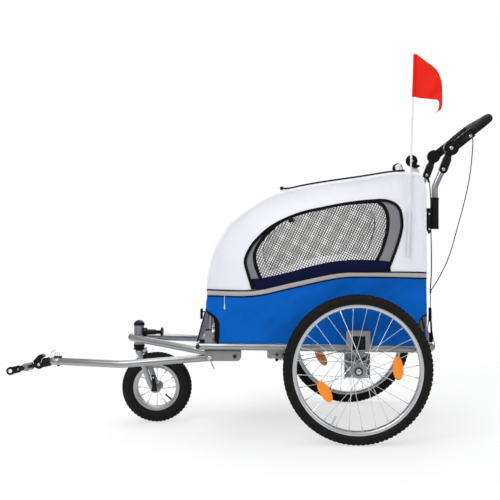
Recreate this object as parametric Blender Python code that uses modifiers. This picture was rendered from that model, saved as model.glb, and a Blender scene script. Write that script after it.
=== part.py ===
"""Folding bicycle trailer that turns into a stroller: every separate piece at its real size.

Metres, +Z up. +X points to the rear of the trailer (the handle), -Y is the trailer's left side
as it is towed, seen in the photograph. Lengths along X in this file are counted from the rear
axle, and one empty moves everything so that the middle of the whole trailer lies at X = 0.
"""

import math

import bmesh
import bpy
from mathutils import Matrix, Vector

for old in list(bpy.data.objects):
    bpy.data.objects.remove(old)

# Driving sizes
GAP = 0.0003  # between faces that touch
CUT_PAST = 0.01  # how far a cut runs past the face that it opens
AXLE_X = 0.37  # rear axle, from the middle of the trailer

TUBE_R = 0.0125  # frame tubes
RAIL_Y = 0.235  # side rails, from the middle plane
RAIL_FRONT_X = -0.534
RAIL_FRONT_Z = 0.313
RAIL_REAR_X = 0.257
RAIL_REAR_Z = 0.302
RAIL_BEND_R = 0.0425
FLOOR_THICK = 0.005
BOARD_FRONT_X = -0.480
BOARD_REAR_X = 0.200

FABRIC_WALL = 0.003
HEM_OVERHANG = 0.0065  # fabric side, outside the rail's middle
ROOF_EDGE_R = 0.022

TYRE_R = 0.247  # 20 inch wheels
TYRE_HEIGHT = 0.0345  # from the rim to the tread
TYRE_WIDTH = 0.044
TYRE_WALL = 0.006
RIM_DEPTH = 0.0125
RIM_WIDTH = 0.028
RIM_WALL = 0.0035
WHEEL_STEPS = 32
SPOKES = 28
SPOKE_R = 0.0009
HUB_FLANGE_R = 0.024
HUB_HALF = 0.021  # flange middles, from the wheel's middle plane
HUB_FLANGE = 0.003
HUB_BODY_R = 0.013
HUB_NUT_R = 0.014
HUB_INNER_END = 0.0255
HUB_OUTER_END = 0.0300
AXLE_R = 0.006
AXLE_NUT_R = 0.010
AXLE_NUT_THICK = 0.004
AXLE_CUP_R = 0.0125
AXLE_CUP_DEPTH = 0.0052
BUTTON_R = 0.009
BUTTON_PROUD = 0.0025
BUTTON_STEM_R = 0.0020
BUTTON_STEM_LENGTH = 0.016
REFLECTOR_LENGTH = 0.072
REFLECTOR_WIDTH = 0.036
REFLECTOR_THICK = 0.008
REFLECTOR_IN_RIM = 0.071  # reflector's middle, from the rim's inner edge

PLATE = 0.003  # steel plate
HOUSING_DEPTH = 0.0312
HOUSING_CLEAR = 0.0055  # housing to hub
HOUSING_FRONT_X = -0.0375
HOUSING_REAR_X = 0.0430
HOUSING_LOW_Z = 0.304
HOUSING_TOP_Z = 0.369
HOUSING_WINDOW = (-0.0170, 0.0265)
HOUSING_WINDOW_TOP_Z = 0.352
CARRIER_PLATE = 0.006
CARRIER_FRONT_X = -0.043
CARRIER_REAR_X = 0.042
CARRIER_BELOW_AXLE = 0.038
CARRIER_TO_HOUSING = 0.012
CARRIER_BOSS_R = 0.016
CARRIER_SLOT = (-0.022, 0.020)
TONGUE_TOP_Z = 0.306
TONGUE_THICK = 0.020
RUBBER_INSET = 0.0005  # from the housing's window, on each side

FRONT_TYRE_R = 0.127  # 10 inch caster wheel
FRONT_TYRE_HEIGHT = 0.0395
FRONT_TYRE_WIDTH = 0.044
FRONT_TYRE_WALL = 0.0075
FRONT_RIM_DEPTH = 0.0161
FRONT_RIM_WIDTH = 0.031
FRONT_HUB_R = 0.009
FRONT_FLANGE_R = 0.018
FRONT_FLANGE_Y = 0.024
FRONT_SPOKE_R = 0.0013
SKEWER_R = 0.0030
FRONT_SPOKES = 12
FRONT_STEPS = 24
HEAD_X = -0.7812  # steering axis
CASTER_TRAIL = 0.0655
HEAD_R = 0.0185
HEAD_OVER_CROWN = 0.0185
HEAD_LENGTH = 0.070
HEAD_CLEAR = 0.0004
CAP_R = 0.0195
CAP_HEIGHT = 0.018
STEERER_R = 0.012
FORK_Y = 0.045
FORK_PLATE = 0.004
FORK_BLADE_WIDTH = 0.022
FORK_TIP_R = 0.013
CROWN_OVER_TYRE = 0.0105  # crown's top, above the tyre's
CROWN_THICK = 0.0135
CROWN_FRONT = 0.0215  # from the steering axis
CROWN_REAR = 0.0195
LEVER_BARREL_R = 0.0065
LEVER_BARREL_LENGTH = 0.020
LEVER_WIDTH = 0.011
LOCK_ABOVE = 0.044  # swivel lock, above the head's foot on its rear face
LOCK_FLANGE_R = 0.0125
LOCK_BARREL_R = 0.0095
LOCK_BODY_LENGTH = 0.0429
LOCK_PIN_R = 0.0040
LOCK_DISC_R = 0.0165
LOCK_DISC_THICK = 0.0070
LOCK_TRAVEL_ROOM = 0.0185  # free pin between the body and its disc

WRAP_CLEAR = 0.009  # bent tube's middle line, from the head's face
HOOP_ABOVE = 0.0255  # hoop's front, above the head's foot
HOOP_REAR_X = -0.5050
HOOP_REAR_Y = 0.152
HOOP_REAR_Z = 0.2850

TOW_Y = -0.2205  # tow bar, under the left rail
TOW_PIVOT_X = -0.410
TOW_PIVOT_Z = 0.2785
TOW_BEND_X = -0.797
TOW_BEND_Z = 0.2486
TOW_END_X = -1.0500
TOW_END_Y = -0.166
TOW_END_Z = 0.2500
TOW_BEND_R = 0.20
TOW_PIN_PLACE = (-0.495, 0.2725)
TOW_PIN_R = 0.0035
TOW_PIN_HEAD_R = 0.0070
RECEIVER_FRONT_X = -0.513
RECEIVER_BEHIND_PIVOT = 0.019
RECEIVER_BELOW_PIVOT = 0.0165
HITCH_DROOP = math.radians(13.6)

UPRIGHT_R = 0.011
UPRIGHT_Y = 0.195
UPRIGHT_X = 0.216
UPRIGHT_BEND_LOW_Z = 0.415
UPRIGHT_BEND_TOP_Z = 0.865
REAR_PIVOT_X = 0.230
REAR_PIVOT_Z = 0.349
UPRIGHT_TOP_X = 0.188
UPRIGHT_TOP_Z = 0.938
FRONT_PIVOT_X = -0.4985
FRONT_PIVOT_Z = 0.350
ARCH_R = 0.008
ARCH_Y = 0.225
PIVOT_PIN_R = 0.004
FRONT_EAR_HALF = 0.0135
FRONT_EAR_ABOVE = 0.018  # ear's top, above its pin
FRONT_EAR_BOLT_R = 0.007
REAR_EAR_HALF = 0.018
REAR_EAR_ABOVE = 0.020
REAR_EAR_BOLT_R = 0.008
REAR_FOOT_REACH = 0.010
REAR_FOOT_THICK = 0.006
BOLT_PROUD = 0.004
RAIL_BOLT_R = 0.0055
BRACKET_SPAN_X = (-0.301, -0.238)
BRACKET_SPAN_Y = (-0.245, -0.225)
BRACKET_LOW_Z = 0.272
BRACKET_BOLTS_X = (-0.284, -0.256)
BRACKET_BOLT_Z = 0.285
BRACKET_BOLT_R = 0.0045
JOINT_PIN_R = 0.0045
FOLD_DISC_R = 0.020
FOLD_DISC_THICK = 0.0092
FOLD_LEAF = [(0.004, -0.019), (0.020, -0.0165), (0.031, -0.0110), (0.016, -0.0075)]
CROSSBAR_Z = 0.845
CROSSBAR_R = 0.009
ARCH_BAR_Z = 0.470
ARCH_BAR_R = 0.007

SLEEVE_X = 0.270
SLEEVE_Y = 0.190
SLEEVE_R = 0.0135
SLEEVE_LOW_Z = 0.706
SLEEVE_TOP_Z = 0.814
CLAMP_ABOVE = 0.024  # clamp's foot, above the sleeve's
CLAMP_BELOW = 0.019
CLAMP_THICK = 0.016
CLAMP_WALL = 0.004
POST_BEND_ABOVE = 0.038  # post's bend, above its sleeve
POST_BEND_R = 0.06
POST_FOOT_IN = 0.006  # post's foot, above its sleeve's
POST_TOP_IN = 0.026  # post's top, below the tilt disc's edge
ELBOW_X = 0.293
ELBOW_Z = 0.895
TILT_X = 0.326
TILT_Z = 0.983
TILT_DISC_R = 0.025
LOWER_ARM_WIDTH = 0.026
LOWER_ARM_LENGTH = 0.078
ARM_WIDTH = 0.030
ARM_THICK = 0.020
ARM_LENGTH = 0.0915
GRIP_REACH = 0.158
GRIP_R = 0.015
GRIP_BEND_R = 0.045
GRIP_SLOPE = math.radians(38.5)

POLE_R = 0.0035
POLE_Y = -0.252
POLE_FOOT = (0.1712, 0.622)
POLE_TOP = (0.192, 1.300)
POCKET_R = 0.008
POCKET_TOP_Z = 0.871

NET_CELL = 0.039
NET_STRAND = 0.008
NET_THICK = 0.0015
NET_BORDER = 0.009
NET_MIDDLE = (-0.12, 0.68)
NET_IN = 0.0008  # from the fabric's face

# Sizes that follow from them
FABRIC_Y = RAIL_Y + HEM_OVERHANG
FABRIC_INNER_Y = FABRIC_Y - FABRIC_WALL
HOUSING_IN_Y = RAIL_Y + TUBE_R + GAP
HOUSING_OUT_Y = HOUSING_IN_Y + HOUSING_DEPTH
WHEEL_Y = HOUSING_OUT_Y + HOUSING_CLEAR + HUB_INNER_END
RIM_R = TYRE_R - TYRE_HEIGHT
RIM_INNER_R = RIM_R - RIM_DEPTH
REFLECTOR_AT_R = RIM_INNER_R - REFLECTOR_IN_RIM
FRONT_RIM_R = FRONT_TYRE_R - FRONT_TYRE_HEIGHT
FRONT_RIM_INNER_R = FRONT_RIM_R - FRONT_RIM_DEPTH
FRONT_AXLE_X = HEAD_X + CASTER_TRAIL
FORK_FACE_Y = FORK_Y + FORK_PLATE / 2 + 0.001
FRONT_TOP_Z = 2 * FRONT_TYRE_R
CROWN_TOP_Z = FRONT_TOP_Z + CROWN_OVER_TYRE
HEAD_LOW_Z = CROWN_TOP_Z + HEAD_OVER_CROWN
HEAD_TOP_Z = HEAD_LOW_Z + HEAD_LENGTH
LOCK_Z = HEAD_LOW_Z + LOCK_ABOVE
HOOP_FRONT_Z = HEAD_LOW_Z + HOOP_ABOVE
GRIP_WAY = Vector((math.cos(GRIP_SLOPE), 0, math.sin(GRIP_SLOPE)))
TILT = Vector((TILT_X, 0, TILT_Z))

LEFT, RIGHT = -1, 1
SIDES = (("left", LEFT), ("right", RIGHT))

PARTS = bpy.data.collections.new("folding_bicycle_trailer")
bpy.context.scene.collection.children.link(PARTS)

TRAILER = bpy.data.objects.new("trailer_under_rear_axle", None)
TRAILER.location = (AXLE_X, 0, 0)
PARTS.objects.link(TRAILER)


def finish_of(name, colour, roughness, metallic=0.0):
    """A material with one Principled shader."""
    material = bpy.data.materials.new(name)
    material.use_nodes = True
    shader = material.node_tree.nodes["Principled BSDF"]
    shader.inputs["Base Color"].default_value = (*colour, 1)
    shader.inputs["Roughness"].default_value = roughness
    shader.inputs["Metallic"].default_value = metallic
    return material


FRAME_STEEL = finish_of("silver_painted_tube", (0.55, 0.56, 0.58), 0.38, 0.7)
BRACKET_STEEL = finish_of("grey_steel_plate", (0.40, 0.41, 0.43), 0.45, 0.6)
BRIGHT_STEEL = finish_of("bright_steel", (0.75, 0.75, 0.76), 0.25, 1.0)
RIM_ALLOY = finish_of("rim_alloy", (0.72, 0.73, 0.74), 0.35, 0.9)
BLACK_PLASTIC = finish_of("black_plastic", (0.020, 0.020, 0.021), 0.42)
BLACK_FOAM = finish_of("black_foam", (0.035, 0.035, 0.036), 0.85)
BLACK_RUBBER = finish_of("black_rubber", (0.025, 0.025, 0.025), 0.7)
TYRE_RUBBER = finish_of("tyre_rubber", (0.030, 0.028, 0.026), 0.8)
BLUE_FABRIC = finish_of("blue_fabric", (0.0, 0.11, 0.48), 0.8)
WHITE_FABRIC = finish_of("white_fabric", (0.84, 0.84, 0.88), 0.8)
NET_FABRIC = finish_of("black_net", (0.05, 0.05, 0.05), 0.8)
BOARD = finish_of("floor_board", (0.05, 0.05, 0.055), 0.8)
ORANGE = finish_of("orange_reflector", (0.9, 0.32, 0.02), 0.25)
RED_FABRIC = finish_of("red_flag", (0.90, 0.03, 0.02), 0.7)
WHITE_POLE = finish_of("white_pole", (0.85, 0.85, 0.85), 0.35)
CORD_BLACK = finish_of("cord_black", (0.03, 0.03, 0.03), 0.7)
CORD_GREY = finish_of("cord_grey", (0.12, 0.12, 0.12), 0.7)


# Helpers that make plain closed shapes in the trailer's own frame
def new_object(name, mesh):
    obj = bpy.data.objects.new(name, mesh)
    PARTS.objects.link(obj)
    return obj


def settle(obj):
    """Turns an object with curves or modifiers into one plain mesh with its caps welded."""
    bpy.context.view_layer.update()
    graph = bpy.context.evaluated_depsgraph_get()
    mesh = bpy.data.meshes.new_from_object(obj.evaluated_get(graph))
    mesh.transform(obj.matrix_world)
    work = bmesh.new()
    work.from_mesh(mesh)
    bmesh.ops.remove_doubles(work, verts=work.verts, dist=0.00001)
    bmesh.ops.recalc_face_normals(work, faces=work.faces)
    work.to_mesh(mesh)
    work.free()
    plain = new_object(obj.name, mesh)
    bpy.data.objects.remove(obj)
    return plain


def box(low, high, bevel=0.0):
    """A box between two corners, with its edges rounded if bevel is given."""
    low, high = Vector(low), Vector(high)
    work = bmesh.new()
    bmesh.ops.create_cube(work, size=1)
    bmesh.ops.scale(work, vec=high - low, verts=work.verts)
    bmesh.ops.translate(work, vec=(low + high) / 2, verts=work.verts)
    if bevel:
        bmesh.ops.bevel(
            work, geom=work.edges[:], offset=bevel, segments=2, profile=0.5, affect="EDGES"
        )
    mesh = bpy.data.meshes.new("box")
    work.to_mesh(mesh)
    work.free()
    return new_object("box", mesh)


def rod(start, end, radius, sides=16, end_radius=None):
    """A cylinder or cone between two points."""
    start, end = Vector(start), Vector(end)
    way = end - start
    work = bmesh.new()
    bmesh.ops.create_cone(
        work,
        cap_ends=True,
        segments=sides,
        radius1=radius,
        radius2=radius if end_radius is None else end_radius,
        depth=way.length,
    )
    turn = Vector((0, 0, 1)).rotation_difference(way).to_matrix().to_4x4()
    bmesh.ops.transform(work, matrix=Matrix.Translation((start + end) / 2) @ turn, verts=work.verts)
    mesh = bpy.data.meshes.new("rod")
    work.to_mesh(mesh)
    work.free()
    return new_object("rod", mesh)


def turned(profile, centre, axis, steps, closed=True, half_step=False):
    """A turned shape: (radius, height along the axis) points, screwed a full turn."""
    work = bmesh.new()
    points = [work.verts.new((r, 0, h)) for r, h in profile]
    pairs = list(zip(points, points[1:]))
    if closed:
        pairs.append((points[-1], points[0]))
    for a, b in pairs:
        work.edges.new((a, b))
    mesh = bpy.data.meshes.new("turned")
    work.to_mesh(mesh)
    work.free()
    obj = new_object("turned", mesh)
    screw = obj.modifiers.new("turn", "SCREW")
    screw.axis = "Z"
    screw.angle = 2 * math.pi
    screw.steps = steps
    screw.render_steps = steps
    screw.use_merge_vertices = True
    screw.merge_threshold = 0.0001
    spin = math.pi / steps if half_step else 0.0
    turn = Vector((0, 0, 1)).rotation_difference(Vector(axis)).to_matrix().to_4x4()
    obj.matrix_world = Matrix.Translation(centre) @ turn @ Matrix.Rotation(spin, 4, "Z")
    return settle(obj)


def plate(outline, y_low, y_high, holes=()):
    """A flat outline in the X-Z plane, filled and given its thickness along Y."""
    curve = bpy.data.curves.new("plate", "CURVE")
    curve.dimensions = "2D"
    curve.fill_mode = "BOTH"
    curve.extrude = (y_high - y_low) / 2
    for loop in (outline, *holes):
        spline = curve.splines.new("POLY")
        spline.points.add(len(loop) - 1)
        for point, (x, z) in zip(spline.points, loop):
            point.co = (x, z, 0, 1)
        spline.use_cyclic_u = True
    obj = new_object("plate", curve)
    obj.rotation_euler = (math.pi / 2, 0, 0)
    obj.location = (0, (y_low + y_high) / 2, 0)
    return settle(obj)


def tube(points, radius, resolution=4):
    """A tube along points, with filled ends. Resolution 4 gives 12 sides, and 2 gives 8."""
    curve = bpy.data.curves.new("tube", "CURVE")
    curve.dimensions = "3D"
    curve.bevel_depth = radius
    curve.bevel_resolution = resolution
    curve.use_fill_caps = True
    spline = curve.splines.new("POLY")
    spline.points.add(len(points) - 1)
    for point, place in zip(spline.points, points):
        point.co = (*place, 1)
    return settle(new_object("tube", curve))


def joined(main, *others, mode="UNION"):
    """The main shape with each other shape added to it, or cut from it."""
    for number, other in enumerate(others):
        step = main.modifiers.new(f"step_{number}", "BOOLEAN")
        step.operation = mode
        step.solver = "EXACT"
        step.object = other
    result = settle(main)
    for other in others:
        bpy.data.objects.remove(other)
    return result


def cut(main, *others):
    return joined(main, *others, mode="DIFFERENCE")


def ellipse(centre, long, short, turn=0.0, steps=14):
    """Points of an ellipse in the X-Z plane; long and short are its full axes."""
    points = []
    for k in range(steps):
        angle = 2 * math.pi * k / steps
        x, z = long / 2 * math.cos(angle), short / 2 * math.sin(angle)
        points.append(
            (
                centre[0] + x * math.cos(turn) - z * math.sin(turn),
                centre[1] + x * math.sin(turn) + z * math.cos(turn),
            )
        )
    return points


def rounded_path(corners, radii, steps=5):
    """A path through corners, with each inner corner made an arc of its own radius."""
    corners = [Vector(c) for c in corners]
    path = [corners[0]]
    for before, corner, after, radius in zip(corners, corners[1:], corners[2:], radii):
        towards, away = (before - corner).normalized(), (after - corner).normalized()
        half = towards.angle(away) / 2
        reach = radius / math.tan(half)
        middle = corner + (towards + away).normalized() * (radius / math.sin(half))
        first = corner + towards * reach - middle
        last = corner + away * reach - middle
        sweep = first.angle(last)
        for k in range(steps + 1):
            part = k / steps
            blend = (
                first * math.sin((1 - part) * sweep) + last * math.sin(part * sweep)
            ) / math.sin(sweep)
            path.append(middle + blend)
    path.append(corners[-1])
    return path


def flowing(points, per_span=4):
    """Points read from a smooth curve through the given ones."""
    points = [Vector(p) for p in points]
    ends = [2 * points[0] - points[1], *points, 2 * points[-1] - points[-2]]
    path = []
    for a, b, c, d in zip(ends, ends[1:], ends[2:], ends[3:]):
        for k in range(per_span):
            t = k / per_span
            path.append(
                0.5
                * (
                    2 * b
                    + (c - a) * t
                    + (2 * a - 5 * b + 4 * c - d) * t**2
                    + (3 * b - a - 3 * c + d) * t**3
                )
            )
    path.append(points[-1])
    return path


def strip(centres, half_width):
    """The outline of a strip of even width along centre points in the X-Z plane."""
    left, right = [], []
    for k, (x, z) in enumerate(centres):
        ahead = Vector(centres[min(k + 1, len(centres) - 1)])
        behind = Vector(centres[max(k - 1, 0)])
        way = (ahead - behind).normalized() * half_width
        left.append((x - way.y, z + way.x))
        right.append((x + way.y, z - way.x))
    return left + right[::-1]


def inset(outline, amount):
    """The outline moved inwards; its points run anticlockwise with +Z up and +X right."""
    moved = []
    count = len(outline)
    for k, (x, z) in enumerate(outline):
        before = (Vector((x, z)) - Vector(outline[k - 1])).normalized()
        after = (Vector(outline[(k + 1) % count]) - Vector((x, z))).normalized()
        normal = Vector((-before.y - after.y, before.x + after.x)).normalized()
        stretch = 1 / max(0.5, normal.dot(Vector((-before.y, before.x))))
        moved.append((x + normal.x * amount * stretch, z + normal.y * amount * stretch))
    return moved


def keep(obj, name, material, pivot=(0, 0, 0)):
    """Names a finished piece, gives it its material and puts its origin on its own axis."""
    pivot = Vector(pivot)
    obj.name = name
    obj.data.name = name
    obj.data.transform(Matrix.Translation(-pivot))
    obj.data.materials.clear()
    obj.data.materials.append(material)
    obj.data.shade_smooth()
    obj.data.set_sharp_from_angle(angle=math.radians(35))
    obj.parent = TRAILER
    obj.location = pivot
    return obj


def mirrored(points, side):
    """The same points on the left or the right side; they are given for the right."""
    return [(x, side * y, z) for x, y, z in points]


def rail_z(x):
    """Height of a side rail's middle: the rails drop a little towards the rear."""
    slope = (RAIL_REAR_Z - RAIL_FRONT_Z) / (RAIL_REAR_X - RAIL_FRONT_X)
    return RAIL_FRONT_Z + (x - RAIL_FRONT_X) * slope


# Outlines of the fabric, as (x, z), where the side panel shows them
SEAM = [
    (0.2339, 0.5407),
    (0.2124, 0.5414),
    (0.0309, 0.5454),
    (-0.0675, 0.5404),
    (-0.2154, 0.5088),
    (-0.3488, 0.4812),
    (-0.5024, 0.4822),
]
ROOF_LINE = [
    (-0.5050, 0.503),
    (-0.5010, 0.556),
    (-0.4860, 0.616),
    (-0.4620, 0.675),
    (-0.4270, 0.729),
    (-0.3680, 0.778),
    (-0.3240, 0.807),
    (-0.2790, 0.830),
    (-0.1560, 0.858),
    (0.0110, 0.883),
    (0.1310, 0.901),
    (0.2050, 0.898),
    (0.2240, 0.884),
    (0.2360, 0.838),
    (0.2365, 0.559),
]
WINDOW = [
    (-0.3189, 0.5451),
    (-0.3406, 0.6002),
    (-0.3346, 0.6460),
    (-0.3074, 0.6842),
    (-0.1996, 0.7460),
    (-0.1223, 0.7749),
    (-0.0067, 0.7924),
    (0.0706, 0.7971),
    (0.0975, 0.7652),
    (0.1032, 0.7074),
    (0.0645, 0.6032),
    (-0.0531, 0.5995),
    (-0.1609, 0.5800),
]
TUB_FRONT = [(-0.5085, 0.430), (-0.5360, 0.3275)]
TUB_REAR_LOW = (0.2370, 0.3200)
FRONT_CORNER_CUT = [
    (-0.5051, 0.4399),
    (-0.5600, 0.4399),
    (-0.5600, 0.3000),
    (-0.4644, 0.3000),
    (-0.4614, 0.3723),
    (-0.4631, 0.3905),
    (-0.4704, 0.4070),
    (-0.4856, 0.4174),
    (-0.5003, 0.4295),
]
REAR_CORNER_CUT = [
    (0.2500, 0.4240),
    (0.2356, 0.4197),
    (0.2200, 0.4120),
    (0.2050, 0.3900),
    (0.1985, 0.3600),
    (0.1985, 0.3000),
    (0.2500, 0.3000),
]

# Middle lines of bent pieces, as (x, z)
ARCH_LINE = [
    (-0.4885, 0.490),
    (-0.4850, 0.550),
    (-0.4700, 0.611),
    (-0.4460, 0.667),
    (-0.4130, 0.717),
    (-0.3560, 0.763),
    (-0.2700, 0.811),
    (-0.1530, 0.838),
    (0.0110, 0.862),
    (0.1300, 0.880),
    (0.1900, 0.880),
]
# The blade's middle line, as (x from the steering axis, drop below the front tyre's top)
FORK_LINE = [(0.0077, 0.0240), (0.0186, 0.0524), (0.0312, 0.0860), (0.0452, 0.1120)]
LEVER_LINE = [(0.0020, -0.0040), (0.0010, 0.0060), (-0.0008, 0.0250), (-0.0035, 0.0545)]

# The hanging pennant's upper and lower edges, as (x, z) from the top of its pole
PENNANT_UPPER = [
    (0.0040, -0.0050),
    (0.0380, -0.0300),
    (0.0758, -0.0623),
    (0.0920, -0.1140),
    (0.0780, -0.2022),
]
PENNANT_LOWER = [
    (-0.0005, -0.1500),
    (0.0250, -0.1560),
    (0.0560, -0.1580),
    (0.0800, -0.1650),
    (0.0745, -0.2040),
]


def side_rail(name, side):
    """A rail with its rear bend, its welded pivot ears and their pins."""
    path = rounded_path(
        mirrored(
            [
                (RAIL_FRONT_X - 0.006, RAIL_Y, RAIL_FRONT_Z),
                (RAIL_REAR_X, RAIL_Y, RAIL_REAR_Z),
                (RAIL_REAR_X, RAIL_Y - RAIL_BEND_R - 0.012, RAIL_REAR_Z),
            ],
            side,
        ),
        [RAIL_BEND_R],
        steps=4,
    )
    rail = tube(path, TUBE_R)

    def across(x, z, inner, outer, radius, sides=12):
        return rod((x, side * inner, z), (x, side * outer, z), radius, sides)

    def slab(x_low, x_high, inner, outer, z_low, z_high):
        ys = sorted((side * inner, side * outer))
        return box((x_low, ys[0], z_low), (x_high, ys[1], z_high))

    front_ear_y = ARCH_Y + ARCH_R + 0.001
    rear_ear_y = UPRIGHT_Y + UPRIGHT_R + 0.0005
    front_low = rail_z(FRONT_PIVOT_X) + 0.002
    rear_low = rail_z(REAR_PIVOT_X) - 0.002
    shapes = [
        slab(
            FRONT_PIVOT_X - FRONT_EAR_HALF,
            FRONT_PIVOT_X + FRONT_EAR_HALF,
            front_ear_y,
            front_ear_y + PLATE,
            front_low,
            FRONT_PIVOT_Z + FRONT_EAR_ABOVE,
        ),
        across(
            FRONT_PIVOT_X,
            FRONT_PIVOT_Z,
            ARCH_Y - ARCH_R,
            front_ear_y + PLATE + 0.002,
            PIVOT_PIN_R,
        ),
        across(
            FRONT_PIVOT_X,
            FRONT_PIVOT_Z,
            front_ear_y + 0.002,
            front_ear_y + PLATE + BOLT_PROUD,
            FRONT_EAR_BOLT_R,
        ),
        across(RAIL_FRONT_X, RAIL_FRONT_Z, RAIL_Y, RAIL_Y + TUBE_R + BOLT_PROUD, RAIL_BOLT_R),
        slab(
            REAR_PIVOT_X - REAR_EAR_HALF,
            REAR_PIVOT_X + REAR_EAR_HALF,
            rear_ear_y,
            rear_ear_y + PLATE,
            rear_low,
            REAR_PIVOT_Z + REAR_EAR_ABOVE,
        ),
        slab(
            REAR_PIVOT_X - REAR_EAR_HALF,
            REAR_PIVOT_X + REAR_FOOT_REACH,
            rear_ear_y,
            RAIL_Y - 0.008,
            rear_low,
            rear_low + REAR_FOOT_THICK,
        ),
        across(
            REAR_PIVOT_X,
            REAR_PIVOT_Z,
            UPRIGHT_Y - UPRIGHT_R,
            rear_ear_y + PLATE + 0.002,
            PIVOT_PIN_R,
        ),
        across(
            REAR_PIVOT_X,
            REAR_PIVOT_Z,
            rear_ear_y + 0.002,
            rear_ear_y + PLATE + BOLT_PROUD,
            REAR_EAR_BOLT_R,
        ),
    ]
    if side == LEFT:
        (x_low, x_high), (y_low, y_high) = BRACKET_SPAN_X, BRACKET_SPAN_Y
        top = rail_z(sum(BRACKET_BOLTS_X) / 2) - 0.006
        shapes.append(box((x_low, y_low, BRACKET_LOW_Z), (x_high, y_high, top)))
        for x in BRACKET_BOLTS_X:
            ends = ((x, y_low + 0.002, BRACKET_BOLT_Z), (x, y_low - BOLT_PROUD, BRACKET_BOLT_Z))
            shapes.append(rod(*ends, BRACKET_BOLT_R, 8))
    return keep(joined(rail, *shapes), name, FRAME_STEEL)


def cross_tube(name, x, z, reach):
    return keep(tube([(x, -reach, z), (x, reach, z)], TUBE_R), name, FRAME_STEEL)


def suspension_housing(name, side):
    """A steel box over the rubber block, open below and with a window outside."""
    outer = box_side(
        side, HOUSING_FRONT_X, HOUSING_REAR_X, HOUSING_IN_Y, HOUSING_OUT_Y, HOUSING_LOW_Z, HOUSING_TOP_Z
    )
    hollow = box_side(
        side,
        HOUSING_FRONT_X + PLATE,
        HOUSING_REAR_X - PLATE,
        HOUSING_IN_Y + PLATE,
        HOUSING_OUT_Y - PLATE,
        HOUSING_LOW_Z - CUT_PAST,
        HOUSING_TOP_Z - PLATE,
    )
    window = box_side(
        side,
        *HOUSING_WINDOW,
        HOUSING_OUT_Y - PLATE - CUT_PAST,
        HOUSING_OUT_Y + CUT_PAST,
        HOUSING_LOW_Z - CUT_PAST,
        HOUSING_WINDOW_TOP_Z,
    )
    return keep(cut(outer, hollow, window), name, BRACKET_STEEL)


def box_side(side, x_low, x_high, inner, outer, z_low, z_high, bevel=0.0):
    """A box on the left or right, with its Y range given from the middle plane."""
    ys = sorted((side * inner, side * outer))
    return box((x_low, ys[0], z_low), (x_high, ys[1], z_high), bevel)


def elastomer(name, side):
    block = box_side(
        side,
        HOUSING_WINDOW[0] + RUBBER_INSET,
        HOUSING_WINDOW[1] - RUBBER_INSET,
        HOUSING_IN_Y + PLATE + GAP,
        HOUSING_OUT_Y - PLATE - RUBBER_INSET,
        TONGUE_TOP_Z + GAP,
        HOUSING_TOP_Z - PLATE - GAP,
    )
    return keep(block, name, BLACK_RUBBER)


def hub_carrier(name, side):
    """The sliding plate that holds the wheel's axle, with its tongue under the rubber block."""
    front_x, rear_x = CARRIER_FRONT_X, CARRIER_REAR_X
    back_in = HOUSING_IN_Y + RUBBER_INSET + 0.0017
    back_out = back_in + CARRIER_PLATE
    flange_out = HOUSING_OUT_Y + 0.001
    low, top = TYRE_R - CARRIER_BELOW_AXLE, HOUSING_LOW_Z - CARRIER_TO_HOUSING
    body = box_side(side, front_x, rear_x, back_in, back_out, low, top)
    adds = [
        box_side(side, front_x, front_x + PLATE, back_in, flange_out, low, top),
        box_side(side, rear_x - PLATE, rear_x, back_in, flange_out, low, top),
        box_side(
            side,
            HOUSING_WINDOW[0] + 2 * RUBBER_INSET,
            HOUSING_WINDOW[1] - 2 * RUBBER_INSET,
            back_out - 0.002,
            HOUSING_OUT_Y - PLATE - RUBBER_INSET,
            TONGUE_TOP_Z - TONGUE_THICK,
            TONGUE_TOP_Z,
        ),
        rod(
            (0, side * (back_in + 0.002), TYRE_R),
            (0, side * (WHEEL_Y - HUB_INNER_END - 0.0004), TYRE_R),
            CARRIER_BOSS_R,
            16,
        ),
    ]
    cuts = [
        rod((0, side * (back_in - CUT_PAST), TYRE_R), (0, side * WHEEL_Y, TYRE_R), AXLE_R + GAP, 16),
        box_side(side, *CARRIER_SLOT, back_in - CUT_PAST, back_out + 0.001, top - 0.024, top - 0.008),
    ]
    return keep(cut(joined(body, *adds), *cuts), name, BRACKET_STEEL)


def wheel_axle(name, side):
    """The push-button axle: a shaft with a cup for its button and an inner nut."""
    inner_end = HOUSING_IN_Y - AXLE_NUT_THICK
    cup_in = WHEEL_Y + HUB_OUTER_END + GAP
    cup_out = cup_in + AXLE_CUP_DEPTH
    shaft = rod((0, side * inner_end, TYRE_R), (0, side * (cup_in + 0.001), TYRE_R), AXLE_R, 12)
    cup = rod((0, side * cup_in, TYRE_R), (0, side * cup_out, TYRE_R), AXLE_CUP_R, 16)
    nut = rod(
        (0, side * inner_end, TYRE_R), (0, side * (HOUSING_IN_Y + 0.0019), TYRE_R), AXLE_NUT_R, 6
    )
    well = rod(
        (0, side * (cup_in + 0.001), TYRE_R),
        (0, side * (cup_out + CUT_PAST), TYRE_R),
        BUTTON_R + GAP,
        16,
    )
    stem_hole = rod(
        (0, side * (cup_in - BUTTON_STEM_LENGTH), TYRE_R),
        (0, side * cup_out, TYRE_R),
        BUTTON_STEM_R + GAP,
        8,
    )
    return keep(cut(joined(shaft, cup, nut), well, stem_hole), name, BRIGHT_STEEL, (0, 0, TYRE_R))


def release_button(name, side):
    face = WHEEL_Y + HUB_OUTER_END + GAP + AXLE_CUP_DEPTH + BUTTON_PROUD
    cap = rod((0, side * (face - 0.0035), TYRE_R), (0, side * face, TYRE_R), BUTTON_R, 16)
    stem = rod(
        (0, side * (face - BUTTON_STEM_LENGTH), TYRE_R),
        (0, side * (face - 0.001), TYRE_R),
        BUTTON_STEM_R,
        8,
    )
    return keep(joined(cap, stem), name, BRIGHT_STEEL, (0, side * face, TYRE_R))


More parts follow.
